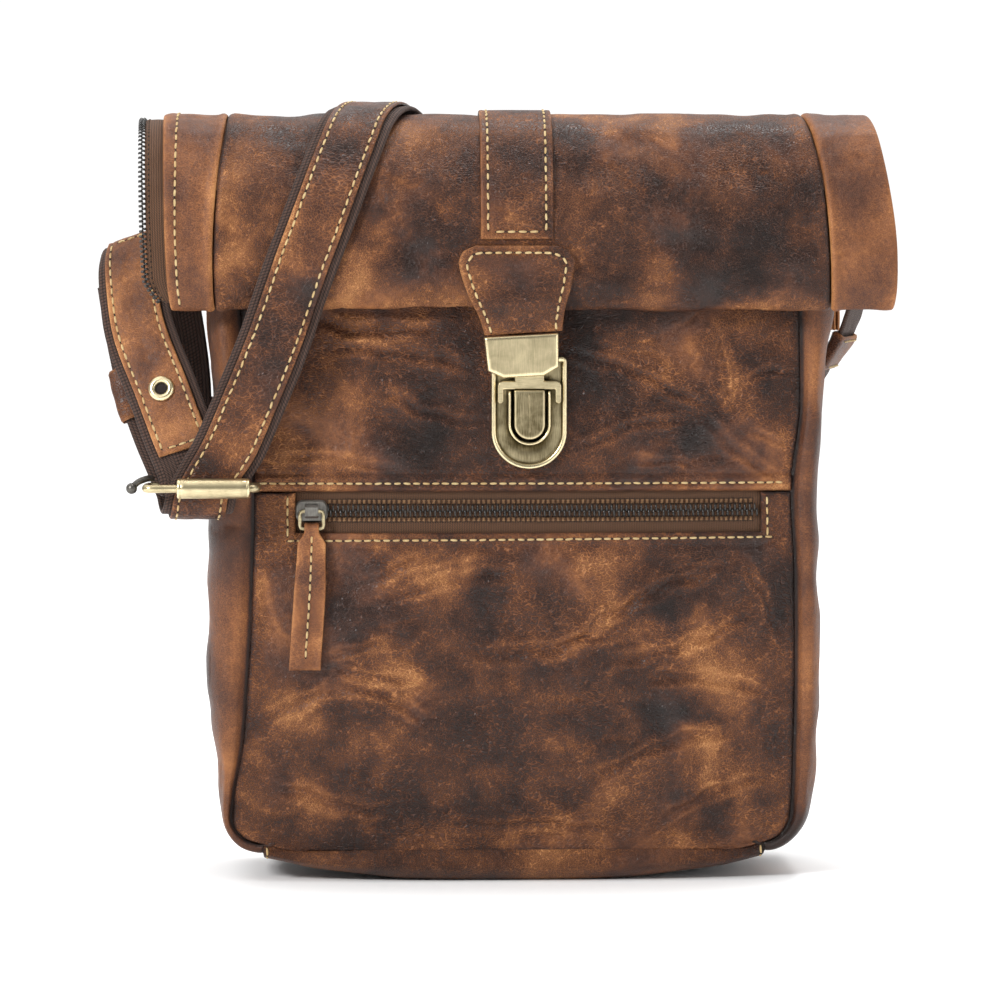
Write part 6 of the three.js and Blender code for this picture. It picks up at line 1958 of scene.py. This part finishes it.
@dataclass
class Route:
    """The line of a strap: the webbing's middle, and the direction across it, at each station."""

    centre: Array
    across: Array

    def outward(self) -> Array:
        """The direction out of the strap's face: across times along."""
        return unit(np.cross(self.across, unit(np.gradient(self.centre, axis=0))))

    def lengths(self) -> Array:
        """Millimetres from the route's start to each station."""
        return path_length(self.centre)

    def dense(self, step: float) -> "Route":
        """The same route with stations at even steps, on smooth curves."""
        last = len(self.centre) - 1
        places = np.linspace(0, last, last * 12 + 1)
        length = path_length(spline(self.centre, places))
        at = np.interp(np.arange(0, length[-1], step), length, places)
        return Route(spline(self.centre, at), unit(spline(self.across, at, centripetal=False)))

    def first(self, start: int, test: Array) -> int:
        """The first station from a start that passes a test."""
        return start + int(np.argmax(test[start:]))

    def part(self, start: int, end: int) -> "Route":
        """The stations from one to another."""
        return Route(self.centre[start:end + 1], self.across[start:end + 1])

    def face(self, half: float, lift: float, step: float) -> Skin:
        """The face of a band along the route.

        Args:
            half: half the band's width.
            lift: how far its face lies outside the webbing's middle.
            step: the spacing of its lines.

        Returns:
            The surface, with columns in millimetres from the middle.
        """
        columns = along_edges(-half, half, step, 1.0)
        points = (self.centre[:, None] + self.outward()[:, None] * lift
                  + self.across[:, None] * columns[None, :, None])
        return Skin(columns, self.lengths(), points)


def half_turn(y: float, z: float, radius: float, start_x: float, end_x: float) -> Array:
    """Stations of a half turn about a bar along x, from behind it to its front, underneath."""
    angle = np.linspace(0, np.pi, 9)
    return np.column_stack([np.linspace(start_x, end_x, 9), y + radius * np.cos(angle),
                            z - radius * np.sin(angle), np.tile([1.0, 0, 0], (9, 1))])


LEAN_LEFT = tuple(unit(np.array([0.93, 0, 0.37])))
LEAN_RIGHT = tuple(unit(np.array([0.93, 0, -0.37])))
RETURN_RUN = ((-158.5, -16, 250), (-154.6, -22.5, 228), (-148.8, -30.6, 204), (-143, -35.8, 188))
HIDDEN_RUN = (
    (-22, 49, 232, 0.75, 0.6, -0.25), (-13, 59, 196, 0.3, 0.95, 0), (2, 63, 150, 0, 1, 0),
    (24, 63, 98, 0, 1, 0), (50, 63, 66, 0, 1, 0), (80, 63, 68, 0, 1, 0), (103, 63, 104, 0, 1, 0),
    (117, 62, 150, 0.05, 1, 0), (126.5, 58.5, 182, 0.15, 0.99, 0), (135.8, 44.5, 209, 0.25, 0.97, 0),
    (143.4, 31, 224, 0.3, 0.95, 0), (146.5, 16, 243, 0.3, 0.95, 0), (139, 10, 263, 0.08, 1, 0),
)
SHORT_FRONT = (
    (-131.5, -50.8, 170, 0.985, 0, 0.17), (-138.5, -44.2, 188, *LEAN_LEFT), (-144.3, -39.2, 203, *LEAN_LEFT),
    (-154.2, -29.8, 228, *LEAN_LEFT), (-157.2, -23.4, 246, *LEAN_LEFT), (-157.6, -18.5, 258, 0.94, -0.1, 0.33),
    (-155.8, -12, 264.5, 0.9, -0.28, 0.33), (-151.8, -6, 261, 0.84, -0.08, 0.53), (-148.2, -2.5, 250, 0.9, 0, 0.43),
    (-144.8, -1, 237, 0.96, 0, 0.26), (-142.2, -0.4, 221, 0.995, 0, 0.1), (-140.5, 0, 206, 1, 0, 0),
    (-140, 0, 188, 1, 0, 0),
)


@dataclass
class Straps:
    """Webbing with a stitched overlay, the loops that keep it and the tabs that hold its ends."""

    webbing_half: float = 14.5
    webbing_wall: float = 2.0
    overlay_half: float = 11.0
    overlay_wall: float = 1.6
    bar_y: float = -47.85
    bar_z: float = 164.6
    strap_gap: float = 1.1
    keeper_wall: float = 1.4

    def long_route(self) -> Route:
        """From the free end behind the buckle round the bar, over the top and up to the right tab."""
        front_y = self.bar_y - 5.65
        places = np.array([13, 12.5, 12, 11.5, 11, 10.6, 10.2, 9.8, 9.4, 9, 8.6, 8.2, 7.8, 7.4, 7, 6.5, 6])
        centre, along, normal = FORM.wrap(places)
        climbed = np.concatenate([[0], np.cumsum(np.linalg.norm(np.diff(centre, axis=0), axis=1))])
        over = centre + normal * (self.strap_gap + 1.0)
        over[:, 0] = -0.7213 * 127 + 0.385 * climbed
        over_across = np.array([1.0, 0, 0]) * LEAN_RIGHT[0] - along * LEAN_RIGHT[2]
        stations = np.vstack([
            np.array([(*row, *LEAN_LEFT) for row in RETURN_RUN]), [(-136, -41, 171, 0.98, 0, 0.2)],
            half_turn(self.bar_y, 160.0, 5.65, -132.4, -128.6),
            [(-124.5, front_y, 168, 0.985, 0, -0.17), (-117.2, front_y, 180, 0.95, 0, -0.31),
             (-108.4, front_y + 0.1, 200, *LEAN_RIGHT), (-99.3, front_y + 0.6, 222, *LEAN_RIGHT)],
            np.column_stack([over, over_across]), np.array(HIDDEN_RUN),
        ])
        return Route(stations[:, :3], unit(stations[:, 3:])).dense(1.1)

    def short_route(self) -> Route:
        """From its riveted end round the bar, up beside the flap, over and down to the left tab."""
        stations = np.vstack([
            [(-146.6, -35.4, 207, *LEAN_LEFT), (-138.5, -40.8, 190, *LEAN_LEFT), (-131.5, -44.9, 170, 0.985, 0, 0.17)],
            half_turn(self.bar_y, self.bar_z, 2.95, -131.0, -131.0), np.array(SHORT_FRONT),
        ])
        return Route(stations[:, :3], unit(stations[:, 3:])).dense(1.1)

    def webbing(self, name: str, route: Route, node: str) -> None:
        """A woven band with thick edges."""
        skin = route.face(self.webbing_half, self.webbing_wall / 2, 1.2)
        relief = 0.10 * waves(*np.meshgrid(skin.across, skin.up), 161, 12)
        add_wall(name, skin, self.webbing_wall, WEBBING, "webbing", node, relief=relief, round_rim=0.9)

    def overlay(self, name: str, route: Route, node: str, seed: int, finish: Finish, slot: str) -> None:
        """A leather band on the webbing, wrinkled across, with a row of stitches along each edge."""
        lift = self.webbing_wall / 2 + FORM.lay_gap + self.overlay_wall
        skin = route.face(self.overlay_half, lift, 0.7)
        across, along = np.meshgrid(skin.across, skin.up)
        rim = skin.rim()
        bands = ridges(waves(across * 0.3, along, seed, 8.5), 3)
        bands *= ease(0.0, 0.9, waves(across, along, seed + 1, 38) + 0.4)
        crossing = ridges(waves(across * 0.6, along, seed + 2, 15), 4)
        relief = held_down((-0.32 * bands - 0.16 * crossing) * ease(0, 2.5, rim) + 0.1, 0.2)
        relief = relief + 0.28 * np.exp(-((np.abs(across) - 4.2) / 3.6) ** 2) * 0.6
        relief -= 0.2 * np.exp(-((np.abs(across) - 8.6) / 0.7) ** 2)
        tone = 0.14 * waves(across, along, seed + 3, 30)
        wear = 0.3 * bands + 0.15 * crossing
        outer = add_wall(name, skin, self.overlay_wall, finish, slot, node, relief=relief, tone=tone,
                         wear=wear, rim=rim, round_rim=0.9)
        thread = Stitching(name + "_stitches", CREAM, pitch=4.0, length=3.2, radius=0.42)
        last = skin.up[-1]
        for side in (-8.6, 8.6):
            thread.between(outer, (side, 2.5), (side, last - 2.5), count=1200)
        for end in (2.5, last - 2.5):
            thread.between(outer, (-6.5, end), (6.5, end), count=40)
        thread.build()

    def keeper(self, name: str, route: Route, node: str, seed: int) -> None:
        """A loop round the webbing: its section is a rectangle with rounded ends."""
        wide = self.webbing_half + 0.8 + self.keeper_wall
        high = self.webbing_wall / 2 + 0.8 + self.keeper_wall
        angle = np.linspace(0, 2 * np.pi, 72, endpoint=False)
        a, b = (size * np.sign(way) * np.abs(way) ** power
                for size, way, power in ((wide, np.cos(angle), 0.28), (high, np.sin(angle), 0.55)))
        points = (route.centre[:, None] + route.across[:, None] * a[None, :, None]
                  + route.outward()[:, None] * b[None, :, None])[:, ::-1]
        skin = Skin(angle, route.lengths(), points, closed=True)
        s, t = np.meshgrid(path_length(points[0]), skin.up)
        rim = np.minimum(t, t[-1:] - t)
        drop = self.keeper_wall * 0.46 * (1 - np.sqrt(np.maximum(1 - np.clip(1 - rim / 0.9, 0, 1) ** 2, 0)))
        outer = points + skin.normals * (0.1 * waves(s, t, seed, 12) - drop)[..., None]
        inner = points - skin.normals * (self.keeper_wall - drop)[..., None]
        worn = (0.8 * np.exp(-rim) + 0.15).ravel()
        faces = wall_faces(grid_quads(*rim.shape, closed=True).reshape(-1, 4), rim.size)
        add_piece(name, np.vstack([outer.reshape(-1, 3), inner.reshape(-1, 3)]), [faces], TRIM,
                  "body_leather", node, marks={"wear": np.concatenate([worn, worn * 0.3])})
        thread = Stitching(name + "_stitches", CREAM, pitch=3.4, length=2.8, radius=0.4)
        face = route.face(wide - 2.5, high, 1.0)
        last = face.up[-1]
        for end in (2.2, last - 2.2):
            thread.between(face, (-wide + 4, end), (wide - 4, end), count=60)
        thread.build()

    def eyelet(self, route: Route) -> None:
        """The rivet on the short strap: a lathe ring with a rolled rim, and a dark disc of painted shade in its hole.
        """
        start = route.first(0, route.centre[:, 1] < self.bar_y - 0.5)
        at = route.first(start, route.centre[:, 2] > 203.2)
        centre, out, across = route.centre[at], route.outward()[at], route.across[at]
        base = self.webbing_wall / 2 + 2 * FORM.lay_gap + self.overlay_wall
        profile = np.array([(2.3, 0.0), (5.3, 0.0), (5.35, 0.3), (5.2, 0.75), (4.8, 1.15), (4.2, 1.42),
                            (3.6, 1.5), (3.0, 1.35), (2.6, 1.0), (2.35, 0.5)])
        angle = np.linspace(0, 2 * np.pi, 40, endpoint=False)
        up = np.cross(out, across)
        spokes = across[None] * np.cos(angle)[:, None] + up[None] * np.sin(angle)[:, None]
        rings = centre + out * base + spokes[:, None] * profile[None, :, :1] + out * profile[None, :, 1:]
        worn = np.tile([0, 0.1, 0.3, 0.4, 0.4, 0.3, 0.3, 0.2, -0.2, -0.4], 40)
        faces = tube_faces(40, len(profile), closed=True)
        add_piece("eyelet_metal", rings.reshape(-1, 3), [faces[0][:, ::-1]], BRASS, "antique_brass", "eyelet",
                  marks={"wear": worn})
        # Painted shade: a dark disc in the rivet's hole stands for the shade inside it.
        disc = centre + out * (base + 0.1) + spokes * 2.45
        add_piece("eyelet_hole_shade", np.vstack([disc - out * 0.4, disc]), tube_faces(2, 40), HOLE_SHADE,
                  "antique_brass", smooth=False)

    def tab(self, name: str, corner: Place, way: Place, size: tuple[float, float], wall: float,
            finish: Finish, seed: int, *nodes: str) -> None:
        """A flat upright piece of leather.

        Args:
            name: its name.
            corner: its lower left corner, as seen from outside.
            way: the direction to the right.
            size: its width and height.
            wall: its thickness.
            finish: its finish.
            seed: which waves it has.
            nodes: the CAD nodes that it stands for.
        """
        a, b = (along_edges(0, length, 0.9, 1.0) for length in size)
        s, t = np.meshgrid(a, b)
        grid = np.array(corner) + s[..., None] * np.array(way) + t[..., None] * np.array([0, 0, 1.0])
        relief = held_down(0.12 * waves(grid @ np.abs(way), grid[..., 2], seed, 14) - 0.1, 0.0)
        add_wall(name, Skin(a, b, grid), wall, finish, "body_leather", *nodes, relief=relief,
                 round_rim=min(1.0, wall * 0.6))

    def tabs(self) -> None:
        """The tabs on the gussets that hold the straps' ends: one leather at the left, three at the right."""
        self.tab("side_tab_left_leather_0", (-125.3, 4.35, 177.0), (-1, 0, 0), (26.0, 22.0), 3.0, TRIM, 171,
                 "side_tab_left")
        layer = 4.6 / 3
        for number in range(3):
            node = ("side_tab_right",) if number == 0 else ()
            self.tab(f"side_tab_right_leather_{number}", (132.3 + (number + 1) * layer, -4.0, 226.5), (0, 1, 0),
                     (24.0, 36.5), layer - 0.12, TAN, 171 + number, *node)

    def build(self) -> None:
        """Makes both straps from the bar up."""
        long_way, short_way = self.long_route(), self.short_route()
        z = long_way.centre[:, 2]
        self.webbing("long_webbing_cloth", long_way, "long_webbing")
        start = long_way.first(0, z < 180)
        top = long_way.first(0, z > 316)
        end = long_way.first(top, z < 249.5)
        self.overlay("long_overlay_leather", long_way.part(start, end), "long_overlay", 181, STRAP,
                     "dark_leather")
        self.webbing("short_webbing_cloth", short_way, "short_webbing")
        bar = short_way.first(0, short_way.centre[:, 1] < self.bar_y - 0.5)
        short_z = short_way.centre[:, 2]
        low = short_way.first(bar, short_z > 179)
        high = short_way.first(low, short_z > 264.2)
        self.overlay("short_overlay_leather", short_way.part(low, high), "short_overlay", 191, TAN,
                     "light_leather")
        self.keeper("keeper_left_leather", long_way.part(long_way.first(0, z < 216), long_way.first(0, z < 196)),
                    "keeper_left", 201)
        rising = long_way.first(top, (long_way.centre[:, 0] > 101.6))
        right = long_way.first(rising, z > 209)
        self.keeper("keeper_right_leather", long_way.part(right, long_way.first(right, z > 224)),
                    "keeper_right", 211)
        self.eyelet(short_way)
        self.tabs()


@dataclass
class Buckle:
    """The roller buckle at the strap's lower turn."""

    centre: float = -128.2
    length: float = 48.0
    wire: float = 3.4
    bar_y: float = -47.85
    bar_z: float = 164.6
    roller_x: float = -123.2
    roller_y: float = -60.9
    roller_long: float = 29.4
    roller_radius: float = 4.1

    def frame(self) -> None:
        """A round wire bent to a rectangle with rounded corners."""
        half_x = self.length / 2 - self.wire / 2
        half_y = (self.bar_y - self.roller_y) / 2
        corner, path = 2.2, []
        for turn, (sx, sy) in enumerate(((1, 1), (-1, 1), (-1, -1), (1, -1))):
            for angle in np.linspace(turn, turn + 1, 9) * math.pi / 2:
                path.append((self.centre + sx * (half_x - corner) + corner * math.cos(angle),
                             (self.bar_y + self.roller_y) / 2 + sy * (half_y - corner) + corner * math.sin(angle),
                             self.bar_z))
        corners = np.array(path)
        closed = np.vstack([corners, corners[:1]])
        steps = path_length(closed)
        at = np.unique(np.concatenate([steps[:-1], np.arange(0, steps[-1], 1.5)]))
        path = np.stack([np.interp(at, steps, closed[:, k]) for k in range(3)], axis=1)
        points = swept_tube(path, self.wire / 2, 16, (0, 0, 1), closed=True)
        add_piece("buckle_frame_metal", points, tube_faces(len(path), 16, closed=True), BRASS,
                  "antique_brass", "buckle_frame")

    def roller(self) -> None:
        """The tube on the front bar, with rolled ends."""
        half, radius = self.roller_long / 2, self.roller_radius
        profile = [(-half + 0.3, 2.05), (-half, 2.3), (-half, radius - 0.55), (-half + 0.16, radius - 0.16),
                   (-half + 0.55, radius), (-half + 1.2, radius), (-half + 1.35, radius - 0.07),
                   (-half + 1.5, radius)]
        profile += [(x, radius) for x in np.linspace(-half + 3, half - 3, 8)]
        profile += [(-x, r) for x, r in profile[7::-1]]
        angle = np.linspace(0, 2 * np.pi, 48, endpoint=False)
        rings = np.array([np.column_stack([
            np.full(48, self.roller_x + x), self.roller_y + r * np.cos(angle), self.bar_z + r * np.sin(angle)])
            for x, r in profile])
        worn = np.repeat([0.0, 0.1, 0.3, 0.5, 0.35, 0.1, -0.2, 0.1] + [0.0] * 8
                         + [0.1, -0.2, 0.1, 0.35, 0.5, 0.3, 0.1, 0.0], 48)
        add_piece("buckle_roller_metal", rings.reshape(-1, 3), tube_faces(len(profile), 48), BRASS_BAR,
                  "antique_brass", "buckle_roller", marks={"wear": worn})

    def prong(self) -> None:
        """The prong's bent end beside the frame, with a round tip."""
        left, above, y = self.centre - self.length / 2 + 1.7, self.bar_z + 3.35, self.bar_y
        path = spline(np.array([(left + 2.2, y - 2.2, above + 0.3), (left, y - 5, above + 0.2),
                                (left - 3.4, y - 8.2, above - 1), (left - 5.6, y - 9.6, above - 3)]),
                      np.linspace(0, 3, 26))
        tip = path[-1] + np.array([-0.3, -0.2, -0.4])
        angle = np.linspace(-0.9, np.pi / 2 * 0.96, 12)
        way = unit(tip - path[-1])
        ball = tip + way[None] * (2.27 * np.sin(angle))[:, None]
        centres = np.vstack([path[:-1], ball])
        radius = np.concatenate([np.full(25, 1.3), 2.27 * np.cos(angle)])
        points = swept_tube(centres, radius, 16, (0.3, 0, 1))
        add_piece("buckle_prong_metal", points, tube_faces(len(centres), 16), NICKEL, "dark_brass",
                  "buckle_prong")

    def build(self) -> None:
        """Makes the three metal pieces."""
        self.frame()
        self.roller()
        self.prong()


# Stage

@dataclass
class Studio:
    """A plain pale floor, soft studio light and the camera at the photo's angle."""

    distance: float = 1.8
    azimuth: float = -2.0
    elevation: float = 4.0
    focal: float = 159.0
    target: Place = (-0.0078, -0.040, 0.1595)

    def area(self, name: str, place: Place, size: float, power: float,
             colour: Colour = (1.0, 1.0, 1.0)) -> None:
        """Adds a soft light that looks at the bag."""
        light = bpy.data.lights.new(name, "AREA")
        light.shape, light.size, light.energy, light.color = "DISK", size, power, colour
        lamp = bpy.data.objects.new(name, light)
        lamp.location = place
        lamp.rotation_euler = (Vector(self.target) - Vector(place)).to_track_quat("-Z", "Y").to_euler()
        bpy.context.scene.collection.objects.link(lamp)

    def build(self) -> None:
        """Makes the floor, the lights and the camera, and a world that is brighter behind the bag."""
        scene = bpy.context.scene
        bpy.ops.mesh.primitive_plane_add(size=60.0, location=(0, 0, -0.0002))
        floor = bpy.context.object
        floor.name = "floor"
        material = bpy.data.materials.new("floor_pale")
        material.use_nodes = True
        Nodes(material.node_tree).fill(
            material.node_tree.nodes["Principled BSDF"], Base_Color=(0.98, 0.98, 0.98, 1.0), Roughness=0.9,
            Specular_IOR_Level=0.1)
        floor.data.materials.append(material)

        world = bpy.data.worlds.new("studio")
        world.use_nodes = True
        nodes = Nodes(world.node_tree)
        _, away, above = nodes.split(nodes.add("ShaderNodeTexCoord").outputs["Generated"])
        strength = nodes.maths("ADD", nodes.remap(away, -0.2, 0.3, 0.14, 1.06),
                               nodes.remap(above, 0.55, 0.95, 0.0, 1.25))
        nodes.fill(world.node_tree.nodes["Background"], Color=(1.0, 1.0, 1.0, 1.0), Strength=strength)
        scene.world = world
        scene.view_settings.view_transform = "Standard"

        self.area("key", (-1.45, -1.55, 1.25), 0.55, 44.0)
        self.area("fill", (1.6, -1.6, 0.7), 1.2, 9.0)
        self.area("top", (0.3, 0.2, 1.9), 0.7, 16.0)

        camera = bpy.data.cameras.new("photo")
        camera.lens, camera.sensor_width = self.focal, 36.0
        eye = bpy.data.objects.new("photo", camera)
        turn, rise = math.radians(self.azimuth), math.radians(self.elevation)
        away = Vector((math.sin(turn) * math.cos(rise), -math.cos(turn) * math.cos(rise), math.sin(rise)))
        eye.location = Vector(self.target) + away * self.distance
        eye.rotation_euler = (-away).to_track_quat("-Z", "Y").to_euler()
        scene.collection.objects.link(eye)
        scene.camera = eye


def main() -> None:
    """Builds the bag piece by piece, then the stage."""
    logging.basicConfig(level=logging.INFO, format="%(message)s")
    builders = (FrontPanels(), Gusset(Side.LEFT, "gusset_left"), Gusset(Side.RIGHT, "gusset_right"),
                BackAndFlap(), Bottom(), PocketZip(), TopZip(), Closure(), Straps(), Buckle())
    for builder in builders:
        log.info("Building %s", type(builder).__name__)
        builder.build()
    Studio().build()


if __name__ == "__main__":
    main()
